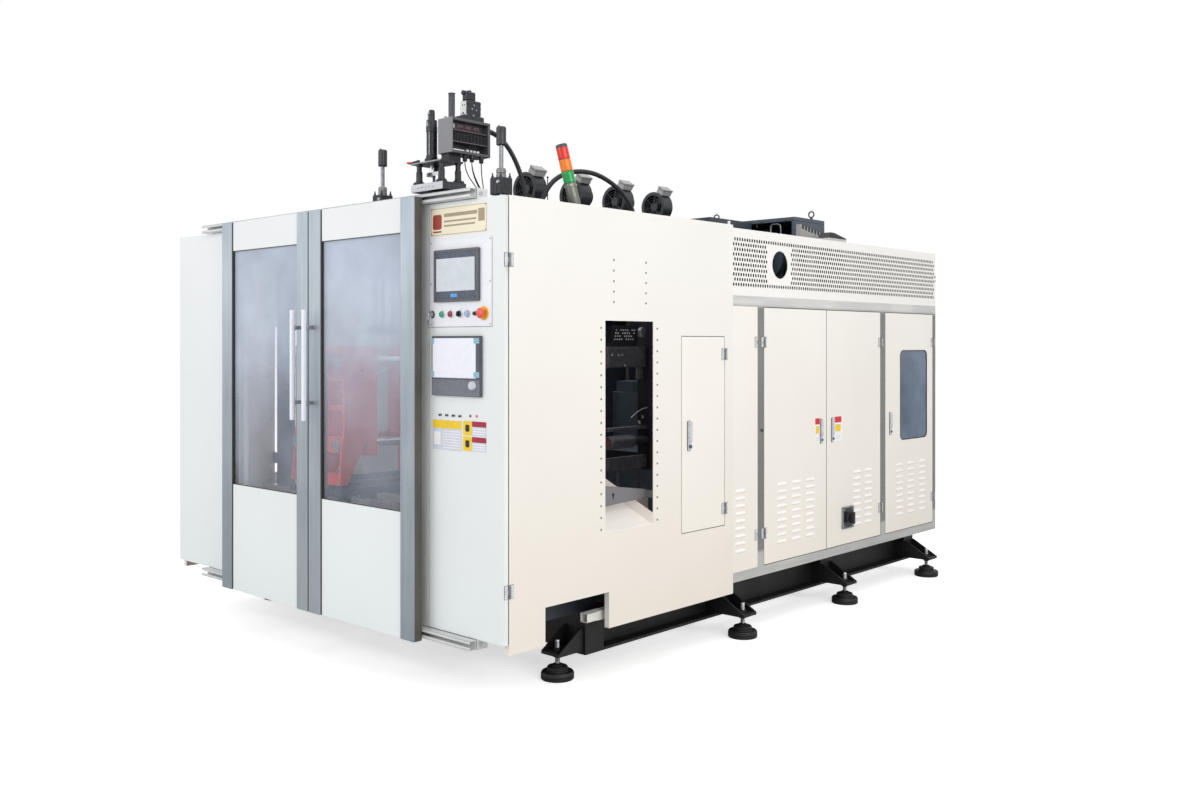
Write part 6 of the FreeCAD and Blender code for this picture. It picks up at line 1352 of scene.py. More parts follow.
def tower_lenses():
    """Three ribbed lenses with a seam ring between them: green, orange, red from the foot up."""
    shape = Shape()
    for i, material in enumerate((lens_green, lens_orange, lens_red)):
        base = TOWER_FOOT + TOWER_WAY * (0.105 + LENS_HEIGHT * i)
        profile = [(0, 0), (0.0278, 0), (0.0278, 0.0030)]
        steps = 12
        for k in range(steps + 1):
            z = 0.004 + (LENS_HEIGHT - 0.008) * k / steps
            profile.append((0.0290 if k % 2 else 0.0284, z))
        profile += [(0.0278, LENS_HEIGHT - 0.0030), (0.0278, LENS_HEIGHT), (0, LENS_HEIGHT)]
        shape.lathe(profile, base, TOWER_WAY, material, 40)
        shape.lathe([(0.0279, 0), (0.0284, 0.0005), (0.0284, 0.0022), (0.0279, 0.0027)], base, TOWER_WAY, cap_grey, 40)
    return shape.make("tower_lenses", "machine", ("tower_lenses",), "lens_plastic", 40)


tower_body_piece = tower_body()
tower_lenses_piece = tower_lenses()


# ------------------------------------------------------------------ service doors and access door
def door_leaf(shape, face, y0, y1, z0, z1, opening=None, seam=0.002):
    """Leaf whose folded edges are dark, painted shade for the seams round it, with a painted face and a round-cornered
    opening if given.
    """
    deep, wall = 0.022, 0.003
    # folded edges in a dark colour: painted shade that darkens the gaps round the leaf
    for a, b in ((y0, y0 + wall), (y1 - wall, y1)):
        shape.block((face - deep, a, z0), (face - 0.0008, b, z1), seam_shade, 0.0004)
    for a, b in ((z0, z0 + wall), (z1 - wall, z1)):
        shape.block((face - deep, y0 + wall, a), (face - 0.0008, y1 - wall, b), seam_shade, 0.0004)
    back = face - wall
    y0, y1, z0, z1 = y0 + seam, y1 - seam, z0 + seam, z1 - seam
    if not opening:
        shape.block((back, y0, z0), (face, y1, z1), leaf_paint, 0.0008)
        return
    a, b, low, high = opening
    shape.block((back, y0, z0), (face, y1, low), leaf_paint, 0.0003)
    shape.block((back, y0, high), (face, y1, z1), leaf_paint, 0.0003)
    shape.block((back, y0, low), (face, a, high), leaf_paint, 0.0003)
    shape.block((back, b, low), (face, y1, high), leaf_paint, 0.0003)
    radius = 0.040
    for cy, sy in ((a, 1), (b, -1)):
        for cz, sz in ((low, 1), (high, -1)):
            arc = [(cy + sy * radius * (1 - math.cos(math.pi / 16 * i)), cz + sz * radius * (1 - math.sin(math.pi / 16 * i)))
                   for i in range(9)]
            shape.prism([(cy, cz), *arc], 0, back, face, leaf_paint)
    edge_strip(shape, rounded(a, low, b, high, radius, 8), 0.005, face - 0.001, face + 0.0012, gasket_and_edge_shade)
    lap = 0.014
    shape.block((back - 0.006, a - lap, low - lap), (back - 0.0002, b + lap, high + lap), sight_sheet, 0.0005)


def edge_strip(shape, loop, width, x0, x1, material):
    """A flat strip that follows a closed line in a plane of constant x."""
    inner = inset(loop, width)
    n = len(loop)
    verts = [(x1, *p) for p in loop] + [(x1, *p) for p in inner] + [(x0, *p) for p in inner] + [(x0, *p) for p in loop]
    faces = []
    for i in range(n):
        j = (i + 1) % n
        for ring in range(4):
            a, b = ring * n, (ring + 1) % 4 * n
            faces.append([a + i, a + j, b + j, b + i])
    shape.add(verts, faces, material)


def grip(shape, face, y, z0, z1, width, depth):
    """Swing handle: a long dish, the folded lever in it and the lock at its foot."""
    half = width / 2
    shape.prism(rounded(y - half, z0, y + half, z1, half * 0.5, 4), 0, face - 0.0005, face + 0.004, gasket_and_edge_shade, 0.001)
    shape.prism(rounded(y - half + 0.0015, z0 + 0.0015, y + half - 0.0015, z1 - 0.0015, half * 0.45, 4), 0,
                face + 0.002, face + 0.0065, grip_grey, 0.001)
    lever = (z1 - z0) * 0.30
    shape.prism(rounded(y - half * 0.62, z0 + lever, y + half * 0.62, z1 - 0.006, half * 0.4, 4), 0,
                face + 0.005, face + depth, grip_grey, 0.0025)
    shape.rod((face + 0.005, y, z0 + lever * 0.5), half * 0.62, depth - 0.007, OUT_X, lock_teal, 0.001, 18)
    shape.block((face + depth - 0.0025, y - 0.0008, z0 + lever * 0.5 - 0.004),
                (face + depth - 0.0018, y + 0.0008, z0 + lever * 0.5 + 0.004), black_plastic, 0.0002)


def plain_fields(shape, y0, y1):
    """A pale plate with a red and a yellow field beside a grip."""
    x = CABINET_FACE
    shape.block((x - 0.0002, y0, 1.004), (x + 0.0008, y1, 1.157), field_white, 0.0003)
    wide = y1 - y0
    shape.block((x, y0 + wide * 0.06, 1.117), (x + 0.0012, y1 - wide * 0.06, 1.154), field_red, 0.0002)
    shape.block((x, y0 + wide * 0.16, 1.062), (x + 0.0012, y1 - wide * 0.16, 1.106), field_yellow, 0.0002)
    for z in (1.020, 1.032):
        shape.block((x, y0 + wide * 0.2, z), (x + 0.0011, y1 - wide * 0.2, z + 0.004), field_silver, 0.0001)


DOOR_1, DOOR_2, DOOR_3 = (1.984, 2.650), (2.652, 3.318), (3.382, 4.061)
LEAF_LOW, LEAF_HIGH = 0.356, 1.806
SWITCH_Y, SWITCH_MID = FRONT + 2.892, 0.5215


def service_door(name, ends, grip_place, columns, axis, way, opening=None):
    shape = Shape()
    door_leaf(shape, CABINET_FACE, FRONT + ends[0], FRONT + ends[1], LEAF_LOW, LEAF_HIGH, opening)
    grip(shape, CABINET_FACE, FRONT + grip_place, 1.000, 1.150, 0.024, 0.016)
    for column in columns:
        for i in range(LOUVRE_ROWS):
            louvre(shape, FRONT + column, LOUVRE_LOW + LOUVRE_PITCH * i)
    for z in SERVICE_HINGES:
        hinge(shape, CABINET_FACE, FRONT + axis, z, way)
    return shape


door_1 = service_door("service_door_1", DOOR_1, 2.588, (2.1666, 2.3165, 2.4664), 1.983, 1)
plain_fields(door_1, FRONT + 2.518, FRONT + 2.575)
door_1_piece = door_1.make("service_door_1", "service_door_1", ("service_door_1",), "cover_paint")

door_2 = service_door("service_door_2", DOOR_2, 2.717, (3.017, 3.160), 3.319, -1)
plain_fields(door_2, FRONT + 2.738, FRONT + 2.830)
half_y, half_z = 0.065, 0.0675
edge_strip(door_2, rounded(SWITCH_Y - half_y, SWITCH_MID - half_z, SWITCH_Y + half_y, SWITCH_MID + half_z, 0.004, 2),
           0.007, CABINET_FACE, CABINET_FACE + 0.0120, grey_metal)
door_2.block((CABINET_FACE, SWITCH_Y - half_y + 0.006, SWITCH_MID - half_z + 0.006),
             (CABINET_FACE + 0.0105, SWITCH_Y - 0.009, SWITCH_MID + half_z - 0.006), black_plastic, 0.001)
door_2.block((CABINET_FACE, SWITCH_Y + 0.009, SWITCH_MID - half_z + 0.006),
             (CABINET_FACE + 0.0105, SWITCH_Y + half_y - 0.006, SWITCH_MID + half_z - 0.006), black_plastic, 0.001)
for edge in (-1, 1):
    door_2.block((CABINET_FACE, SWITCH_Y - 0.009, SWITCH_MID + edge * 0.009),
                 (CABINET_FACE + 0.0105, SWITCH_Y + 0.009, SWITCH_MID + edge * (half_z - 0.006)), black_plastic, 0.0005)
for side in (-1, 1):
    for edge in (-1, 1):
        screw_head(door_2, (CABINET_FACE + 0.0105, SWITCH_Y + side * 0.048, SWITCH_MID + edge * 0.050), OUT_X, 0.004, zinc)
door_2_piece = door_2.make("service_door_2", "service_door_2", ("service_door_2",), "cover_paint")

door_3 = service_door("service_door_3", DOOR_3, 3.448, (3.579, 3.738, 3.904), 4.062, -1,
                      (FRONT + 3.584, FRONT + 3.974, 0.956, 1.558))
door_3_piece = door_3.make("service_door_3", "service_door_3", ("service_door_3",), "cover_paint")


def main_switch():
    """Rotary switch: stepped disc with a scalloped rim and a tapered bar."""
    shape = Shape()
    shape.rod((CABINET_FACE - 0.006, SWITCH_Y, SWITCH_MID), 0.0079, 0.019, OUT_X, zinc, 0.0005, 20)
    shape.lathe([(0, 0), (0.0335, 0), (0.0340, 0.0015), (0.0340, 0.006), (0.0290, 0.008), (0.0280, 0.014), (0, 0.014)],
                (CABINET_FACE + 0.0125, SWITCH_Y, SWITCH_MID), OUT_X, black_plastic, 32)
    for k in range(12):
        angle = math.tau * k / 12
        shape.rod((CABINET_FACE + 0.0128, SWITCH_Y + 0.0315 * math.cos(angle), SWITCH_MID + 0.0315 * math.sin(angle)),
                  0.0024, 0.0060, OUT_X, rim_grey, 0.0005, 8)
    x = CABINET_FACE + 0.026
    shape.prism(rounded(SWITCH_Y - 0.009, SWITCH_MID - 0.038, SWITCH_Y + 0.009, SWITCH_MID + 0.038, 0.0085, 5), 0,
                x, x + 0.030, black_plastic, 0.003)
    shape.block((x + 0.0296, SWITCH_Y - 0.0012, SWITCH_MID + 0.014), (x + 0.0300, SWITCH_Y + 0.0012, SWITCH_MID + 0.034),
                white_plastic, 0.0001)
    return shape.make("main_switch", "main_switch", ("main_switch",), "black_plastic")


main_switch_piece = main_switch()


def access_door():
    shape = Shape()
    y0, y1, z0, z1 = FRONT + 1.224, FRONT + 1.594, 0.629, 1.639
    door_leaf(shape, RIGHT, y0, y1, z0, z1, None, 0.0015)
    # dark strip along the seam at the front edge: painted shade
    shape.block((RIGHT - 0.0020, y0 - 0.0012, z0), (RIGHT - 0.0006, y0 + 0.0052, z1), seam_shade, 0.0004)
    grip(shape, RIGHT, FRONT + 1.285, 1.048, 1.204, 0.030, 0.018)
    for z in (0.720, 1.546):
        hinge(shape, RIGHT, FRONT + 1.595, z, -1)
    return shape.make("access_door", "access_door", ("access_door",), "cover_paint")


access_piece = access_door()


# ------------------------------------------------------------------ screws of the side covers
def cover_screws():
    """Pan heads in columns beside the outlet windows, outside and inside both covers."""
    shape = Shape()
    spots = [(y, 0.724 + 0.056 * i) for y in (0.615, 1.029) for i in range(18)]
    spots += [(y, 1.800 + 0.050 * i) for y in (0.705, 0.942) for i in range(5)]
    for side in (-1, 1):
        for y, z in spots:
            screw_head(shape, (side * RIGHT, FRONT + y, z), (side, 0, 0), 0.0052, screw_dark, 0.0024)
            inside = side * (RIGHT - 0.003)
            shape.rod((inside, FRONT + y, z), 0.0040, 0.006, (-side, 0, 0), zinc, 0.0005, 8)
    # bolt on the rear end of the right cover and the lock of the first post
    bolt(shape, (RIGHT - 0.014, FRONT + 1.652, 2.245), UP, 0.009, 0.020, zinc)
    shape.rod((CABINET_FACE, FRONT + 1.960, 1.116), 0.009, 0.006, OUT_X, rim_grey, 0.001, 16)
    shape.rod((CABINET_FACE + 0.005, FRONT + 1.960, 1.116), 0.006, 0.004, OUT_X, black_plastic, 0.001, 16)
    return shape.make("cover_screws", "machine", (), "zinc")


cover_screws_piece = cover_screws()


# ------------------------------------------------------------------ blowers
BLOWER_Z = 2.560
BLOWERS = [FRONT + 1.545 + 0.412 * i for i in range(4)]


def blower(shape, y):
    """Drum with a bolted inlet ring, wire guard and fan, its ribbed motor behind and the neck below."""
    low = y - 0.048
    back = (0, 1, 0)
    at = (0, low, BLOWER_Z)
    shape.lathe([(0.079, 0.008), (0.079, 0.001), (0.080, 0), (0.102, 0), (0.104, 0.002), (0.104, 0.008), (0.1025, 0.010),
                 (0.1025, 0.086), (0.104, 0.088), (0.104, 0.094), (0.102, 0.096), (0.0, 0.096)], at, back, drum_black, 56)
    # dark inside of the drum: painted shade
    shape.lathe([(0.079, 0.008), (0.098, 0.008), (0.098, 0.090), (0.0, 0.090)], at, back, lining, 40)
    for k in range(12):
        angle = math.tau * (k + 0.5) / 12
        bolt(shape, (0.0915 * math.cos(angle), low, BLOWER_Z + 0.0915 * math.sin(angle)), OUT_Y, 0.0042, 0.005, rim_grey)
    shape.lathe([(0, 0), (0.030, 0), (0.032, 0.002), (0.032, 0.080), (0, 0.080)], (0, low + 0.012, BLOWER_Z), back, drum_black, 28)
    shape.lathe([(0.032, 0), (0.070, 0), (0.070, 0.006), (0.032, 0.006)], (0, low + 0.064, BLOWER_Z), back, drum_black, 28)
    for k in range(6):
        angle = math.tau * (k + 0.25) / 6
        c, s = math.cos(angle), math.sin(angle)
        path = [Vector((r * c, low + 0.004, BLOWER_Z + r * s)) for r in (0.024, 0.052, 0.0815)]
        shape.sweep(path, [0.0016] * 3, rim_grey, 6)
    for radius in (0.045, 0.063):
        loop = [Vector((radius * math.cos(math.tau * k / 32), low + 0.003, BLOWER_Z + radius * math.sin(math.tau * k / 32)))
                for k in range(33)]
        shape.sweep(loop, [0.0012] * 33, rim_grey, 5)
    profile = [(0, 0), (0.060, 0)]
    for k in range(9):
        profile += [(0.060, 0.004 + 0.006 * k), (0.0555, 0.0055 + 0.006 * k), (0.0555, 0.0075 + 0.006 * k), (0.060, 0.009 + 0.006 * k)]
    profile += [(0.058, 0.062), (0, 0.062)]
    shape.lathe(profile, (0, low + 0.090, BLOWER_Z), back, drum_black, 32)
    shape.block((-0.050, y - 0.045, 2.440), (0.050, y + 0.045, 2.500), drum_black, 0.002)
    shape.block((-0.0505, y - 0.0455, 2.4402), (0.0505, y + 0.0455, 2.4480), rim_grey, 0.001)


def blowers():
    shape = Shape()
    for y in BLOWERS:
        blower(shape, y)
    return shape.make("blower_housings", "machine", ("blower_housings",), "blower_paint")


blowers_piece = blowers()


# ------------------------------------------------------------------ levelling feet
def foot(shape, x, y):
    """Round pad with a rolled edge, threaded stud and two nuts."""
    shape.lathe([(0, 0), (0.076, 0), (0.080, 0.004), (0.080, 0.012), (0.078, 0.014), (0.078, 0.017), (0.080, 0.019),
                 (0.080, 0.030), (0.075, 0.038), (0.052, 0.038), (0.050, 0.041), (0.050, 0.058), (0.046, 0.062), (0, 0.062)],
                (x, y, 0), UP, foot_black, 40)
    shape.lathe([(0, 0), (0.028, 0), (0.028, 0.006), (0.018, 0.012), (0, 0.012)], (x, y, 0.062), UP, foot_black, 24)
    profile = [(0, 0)]
    for k in range(30):
        profile += [(0.0108, 0.004 * k), (0.0120, 0.004 * k + 0.002)]
    profile += [(0.0100, 0.1235), (0, 0.1240)]
    shape.lathe(profile, (x, y, 0.062), UP, zinc, 16)
    for z in (0.102, 0.133):
        shape.lathe([(0, 0), (0.0185, 0), (0.020, 0.0015), (0.020, 0.0145), (0.0185, 0.016), (0, 0.016)], (x, y, z), UP, foot_black, 6)


def levelling_feet():
    shape = Shape()
    for s in (-1, 1):
        for y in (1.760, 2.845, 3.940):
            foot(shape, s * RIGHT, FRONT + y)
        foot(shape, s * (RIGHT - 0.210), FRONT + 0.535)
    return shape.make("levelling_feet", "machine", ("levelling_feet",), "black_plastic")


feet_piece = levelling_feet()


# ------------------------------------------------------------------ terminal boxes and drive hood
def terminal_boxes():
    shape = Shape()
    lean = math.radians(33)
    turn = Matrix.Rotation(lean, 3, "Y")
    for y in BLOWERS:
        middle = Vector((0.1268 * math.sin(lean), y, BLOWER_Z + 0.1268 * math.cos(lean)))
        for low, high, half, material in ((-0.0225, 0.008, 0.0295, hood_grey), (0.008, 0.010, 0.0275, gasket_and_edge_shade), (0.010, 0.0225, 0.031, box_grey)):
            centre = middle + turn @ Vector((0, 0, (low + high) / 2))
            size = Vector((half, 0.050 * half / 0.031, (high - low) / 2))
            shape.block(centre - size, centre + size, material, 0.002, turn)
        for dx in (-0.024, 0.024):
            for dy in (-0.041, 0.041):
                screw_head(shape, middle + turn @ Vector((dx, dy, 0.0225)), turn @ Vector((0, 0, 1)), 0.004, zinc)
    # box on the hood's side: pale face, dark slotted top that falls to the rear
    x0, x1 = 0.555, 0.600
    y0, y1 = FRONT + 3.698, FRONT + 4.090
    low, front_top, rear_top = 2.345, 2.475, 2.415
    shape.prism([(y0, low), (y1, low), (y1, rear_top - 0.003), (y0, front_top - 0.003)], 0, x0, x1, hood_grey, 0.002)
    fall = (rear_top - front_top) / (y1 - y0)
    for i in range(9):
        a = y0 + 0.012 + i * 0.042
        b = a + 0.026
        shape.prism([(a, front_top - 0.034 + fall * (a - y0)), (b, front_top - 0.034 + fall * (b - y0)),
                     (b, front_top + fall * (b - y0)), (a, front_top + fall * (a - y0))], 0, x0 + 0.004, x1 + 0.0008, hood_slot)
    shape.rod((x1, y0 + 0.200, low + 0.060), 0.006, 0.004, OUT_X, zinc, 0.001, 12)
    # rear box: pale body under a dark sloped lid
    x0, x1, y0, y1 = 0.684, 0.774, FRONT + 3.790, FRONT + 4.040
    shape.block((x0, y0, 2.250), (x1, y1, 2.370), rear_white, 0.002)
    shape.prism([(y0, 2.370), (y1, 2.370), (y1, 2.378), (y0 + 0.080, 2.410), (y0 + 0.030, 2.410)], 0, x0, x1, hood_slot, 0.002)
    return shape.make("terminal_boxes", "machine", ("terminal_boxes",), "box_paint")


boxes_piece = terminal_boxes()


def eye(shape, x, y, z, material):
    loop = [Vector((x + 0.022 * math.sin(math.tau * k / 24), y, z + 0.036 - 0.022 * math.cos(math.tau * k / 24))) for k in range(25)]
    shape.sweep(loop, [0.0052] * 25, material, 10)
    shape.lathe([(0, 0), (0.013, 0), (0.013, 0.004), (0.009, 0.006), (0.009, 0.015), (0, 0.016)], (x, y, z), UP, material, 16)


def drive_hood():
    shape = Shape()
    y0, y1 = FRONT + 3.688, FRONT + 4.096
    shape.block((0, y0, 2.500), (0.555, y1, 2.530), hood_blue, 0.003)
    for x in (0.0, 0.525):
        shape.block((x, y0, 2.060), (x + 0.030, y1, 2.501), hood_blue, 0.002)
    shape.block((0.030, y1 - 0.003, 2.060), (0.525, y1, 2.501), hood_slot, 0.0005)
    # bracket under the roof, its bolts, and the bolt heads on the front edge
    route = [Vector(p) for p in ((0.330, y0 + 0.020, 2.300), (0.330, y0 + 0.020, 2.450), (0.334, y0 + 0.020, 2.476),
                                 (0.350, y0 + 0.020, 2.488), (0.400, y0 + 0.020, 2.488), (0.416, y0 + 0.020, 2.476),
                                 (0.420, y0 + 0.020, 2.450), (0.420, y0 + 0.020, 2.300))]
    shape.sweep(route, [0.008] * len(route), rod_grey, 10)
    for x in (0.060, 0.110, 0.200):
        bolt(shape, (x, y0 + 0.030, 2.500), (0, 0, -1), 0.010, 0.026, unit_black)
    for x in (0.090, 0.160, 0.260, 0.470):
        bolt(shape, (x, y0, 2.515), OUT_Y, 0.007, 0.006, rim_grey)
    shape.rod((0.150, y0 + 0.060, 2.440), 0.016, 0.140, OUT_X, drum_black, 0.002, 16)
    eye(shape, 0.540, FRONT + 3.933, 2.530, unit_black)
    return shape.make("drive_hood", "machine", ("drive_hood",), "drive_paint")


drive_hood_piece = drive_hood()


# ------------------------------------------------------------------ wires and pin on top
def top_wiring():
    """Thin wires from the manifold's glands to the frame, cable glands of the conduits, and a tall sensor pin."""
    shape = Shape()
    end = Vector((0.176, FRONT + 1.052, 2.2310))
    for i, (gx, gy) in enumerate(((0.086, 0.128), (0.100, 0.168), (0.104, 0.236), (0.100, 0.168))):
        start = Vector((0.033 + gx, FRONT + 0.789 + gy, 2.644))
        bend = Vector((0.140 + 0.012 * i, FRONT + 1.010 + 0.010 * i, 2.480 - 0.020 * i))
        route = [start, start + Vector((0, 0, -0.060)), bend, Vector((end.x, end.y, 2.330)), end + Vector((0.006 * i, 0, 0))]
        path = even(smooth_path(route, 16), 0.012)
        shape.sweep(path, [0.0030] * len(path), rubber if i % 2 else black_plastic, 6)
    for x, y in ((0.200, MANIFOLD_END + 0.250), (0.214, FRONT + 1.384), (0.213, FRONT + 2.305)):
        shape.lathe([(0.0156, 0), (0.022, 0), (0.022, 0.016), (0.0195, 0.018), (0.0195, 0.034), (0.0165, 0.042), (0.0156, 0.042), (0.0156, 0)],
                    (x, y, BEAM_TOP), UP, field_white, 12)
    y = FRONT + 1.481
    shape.rod((0.222, y, BEAM_TOP), 0.014, 0.012, UP, zinc, 0.001, 6)
    shape.rod((0.222, y, BEAM_TOP + 0.010), 0.0032, 0.558, UP, unit_black, 0.0005, 8)
    shape.lathe([(0, 0), (0.005, 0.001), (0.0075, 0.006), (0.005, 0.011), (0, 0.012)], (0.222, y, 2.600), UP, unit_black, 12)
    return shape.make("top_wiring", "machine", (), "conduit_plastic")


top_wiring_piece = top_wiring()


# ------------------------------------------------------------------ fittings beside the outlet windows
def door_rails():
    """Two C-channels with lips that leave a slot for the roller axles."""
    shape = Shape()
    x0, x1 = RIGHT - 2.568, RIGHT - 0.183
    for low in (0.250, 2.245):
        high = low + 0.043
        shape.block((x0, FRONT - 0.003, low), (x1, FRONT, high), cream_steel, 0.001)
        for z in (low, high - 0.003):
            shape.block((x0, FRONT - 0.038, z), (x1, FRONT - 0.002, z + 0.003), cream_steel, 0.001)
        for a, b in ((low, low + 0.0143), (high - 0.0143, high)):
            shape.block((x0, FRONT - 0.038, a), (x1, FRONT - 0.0355, b), cream_steel, 0.0008)
    return shape.make("door_rails", "machine", ("door_rails",), "brushed")


door_rails_piece = door_rails()


def rail_caps():
    """End caps of the door rails, over the ends of the headers behind them."""
    shape = Shape()
    x = RIGHT - 0.183
    for low, high in ((0.248, 0.295), (2.243, 2.290)):
        shape.block((x - 0.001, FRONT + 0.0005, low), (x + 0.006, FRONT + 0.062, high), cream_steel, 0.002)
        shape.rod((x + 0.006, FRONT + 0.020, (low + high) / 2), 0.010, 0.004, OUT_X, zinc, 0.001, 16)
    return shape.make("rail_caps", "machine", (), "brushed")


rail_caps_piece = rail_caps()


TUBE_LOW = 0.302 - 0.0140 * 1.5


def station_fittings():
    """What hangs beside each outlet: a bracket with bolt heads, a terminal strip, pipes and a wire."""
    shape = Shape()
    for s in (-1, 1):
        way = (s, 0, 0)
        shape.block((s * 0.905, FRONT + 1.240, 1.470), (s * 0.930, FRONT + 1.562, 1.585), fitting_grey, 0.002)
        shape.block((s * 0.930, FRONT + 1.240, 1.476), (s * 0.938, FRONT + 1.420, 1.579), fitting_grey, 0.002)
        for y, z in ((1.268, 1.540), (1.320, 1.540), (1.352, 1.540), (1.376, 1.482)):
            bolt(shape, (s * 0.938, FRONT + y, z), way, 0.006, 0.006, bright_steel)
        shape.block((s * 0.905, FRONT + 1.300, 1.580), (s * 0.912, FRONT + 1.500, 1.700), lining, 0.001)
        for row in range(4):
            for i in range(9):
                if (row + i) % 5 != 4:
                    shape.rod((s * 0.912, FRONT + 1.318 + 0.019 * i + 0.004 * row, 1.626 + 0.017 * row), 0.0052, 0.002, way,
                              field_white, 0.0004, 8)
        shape.rod((s * 0.912, FRONT + 1.535, 1.665), 0.030, 0.020, way, zinc, 0.003, 24)
        bolt(shape, (s * 0.932, FRONT + 1.535, 1.665), way, 0.008, 0.008, grey_metal)
        shape.block((s * 0.905, FRONT + 1.500, 1.400), (s * 0.915, FRONT + 1.562, 1.470), grey_metal, 0.001)
        for i in range(15):
            shape.rod((s * 0.9590, FRONT + 1.585, 1.110 + 0.035 * i), 0.0060, 0.002, way, screw_dark if i % 4 else bright_steel, 0.0004, 10)
        wire = [Vector((s * 0.940, FRONT + 1.420 + 0.140 * k / 8, 1.190 + 0.050 * math.sin(math.pi / 2 * k / 8))) for k in range(9)]
        shape.sweep(wire, [0.003] * 9, grip_grey, 8)
        shape.block((s * 0.905, FRONT + 1.240, 1.120), (s * 0.935, FRONT + 1.562, 1.140), fitting_grey, 0.002)
        shape.rod((s * 0.930, FRONT + 1.240, 1.060), 0.036, 0.200, (0, 1, 0), fitting_grey, 0.006, 28)
        shape.rod((s * 0.930, FRONT + 1.440, 1.060), 0.026, 0.118, (0, 1, 0), machine_black, 0.003, 24)
        shape.block((s * 0.905, FRONT + 1.240, 0.905), (s * 0.935, FRONT + 1.562, 0.975), fitting_grey, 0.002)
        for y in (1.330, 1.520):
            shape.rod((s * 0.920, FRONT + y, 0.740), 0.010, 0.170, UP, fitting_grey, 0.001, 14)
        for y in (1.500, 1.530):
            shape.rod((s * 0.930, FRONT + y, 1.160 + (y - 1.5)), 0.010, 0.006, way, bright_steel, 0.001, 14)
        shape.block((s * 0.905, FRONT + 1.556, 0.900), (s * 0.925, FRONT + 1.566, 1.600), machine_black, 0.001)
        # flap that hangs over the chute with a falling top edge, its tabs, and the apron beside the chute; the flap and
        # tabs are grey as painted shade
        x0, x1 = sorted((s * 1.3870, s * 1.3900))
        shape.prism([(FRONT + y, z) for y, z in ((0.630, 0.812), (1.046, 0.830), (1.020, 0.872), (0.630, 0.928))],
                    0, x0, x1, flap_shade_grey, 0.0008)
        for y, low, high in ((0.630, 0.830, 0.900), (1.020, 0.832, 0.868)):
            shape.block((s * 1.3890, FRONT + y, low), (s * 1.4500, FRONT + y + 0.003, high), flap_shade_grey, 0.0005)
        shape.rod((s * 1.3900, FRONT + 0.772, 0.868), 0.0080, 0.0015, way, black_plastic, 0.0003, 16)
        shape.block((s * 1.3900, FRONT + 0.769, 0.846), (s * 1.3915, FRONT + 0.775, 0.868), black_plastic, 0.0003)
        shape.block((s * 1.2620, FRONT + 1.0000, 0.640), (s * 1.2650, FRONT + 1.185, 0.805), apron_paint, 0.0008)
        shape.block((s * 1.2350, FRONT + 1.182, 0.640), (s * 1.2650, FRONT + 1.185, 0.805), apron_paint, 0.0008)
        # light square tube behind the cover's notch and the folded edge of the notch
        x0, x1, y0, y1 = RIGHT - 0.1006, RIGHT - 0.0564, FRONT + 0.580, FRONT + 1.269
        z0, z1 = TUBE_LOW - 0.0006, TUBE_LOW + 0.0436
        for a, b, c, d in ((x0, z0, x1, z0 + 0.003), (x0, z1 - 0.003, x1, z1), (x0, z0, x0 + 0.003, z1), (x1 - 0.003, z0, x1, z1)):
            shape.block((s * a, y0, b), (s * c, FRONT + 0.6495, d), tube_grey, 0.0005)
        for a, b, c, d in ((x0, z0, x1, z0 + 0.0005), (x0, z1 - 0.0005, x1, z1), (x0, z0, x0 + 0.0005, z1), (x1 - 0.0005, z0, x1, z1)):
            shape.block((s * a, FRONT + 0.6490, b), (s * c, y1, d), tube_grey, 0.0002)
        shape.block((s * (RIGHT - 0.030), FRONT + 0.672, 0.252), (s * (RIGHT - 0.003), FRONT + 0.675, 0.424), tube_grey, 0.0008)
    return shape.make("station_fittings", "machine", (), "frame_paint")


fittings_piece = station_fittings()


# ------------------------------------------------------------------ materials of the CAD nodes
NODE_MATERIALS = {
    "barrel_covers": blower_black, "base_frame": black_frame,
    "cabinet_frame": band_steel,
    "control_column": front_paint, "die_head": machine_black, 
    "drive_motor": drive_blue, "extruder_barrel": drive_blue,
    "extruder_screw": bright_steel, "front_left_panel": front_paint, "gearbox": drive_blue,
    "hydraulic_unit": drive_blue, 
    "left_carriage": machine_black, "right_carriage": machine_black,
    "left_door_pane": door_sheet, "right_door_pane": door_sheet, "left_front_platen": clamp_red,
    "right_front_platen": clamp_red, "left_rear_platen": clamp_red, "right_rear_platen": clamp_red,
    "left_tie_bars": bright_steel, "right_tie_bars": bright_steel, "left_side_cover": side_paint,
    "right_side_cover": side_paint, "machine_frame": machine_black,
    "mandrel_rod": bright_steel, "outlet_chutes": chute_steel,
    
    "slide_rails": bright_steel, 
    
}
for node, finish_material in NODE_MATERIALS.items():
    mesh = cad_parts[node].data
    mesh.materials.clear()
    mesh.materials.append(finish_material)


# ------------------------------------------------------------------ camera, light and floor
camera_data = bpy.data.cameras.new("camera")
camera_data.lens = 33.32
camera_data.sensor_width = 36.0
camera_data.shift_y = -0.0467
camera = bpy.data.objects.new("camera", camera_data)
camera.location = (RIGHT + 3.538, FRONT - 3.240, 1.600)
camera.rotation_euler = (math.radians(90), 0, math.radians(42.6))
bpy.context.scene.collection.objects.link(camera)
bpy.context.scene.camera = camera
bpy.context.scene.view_settings.view_transform = "Standard"

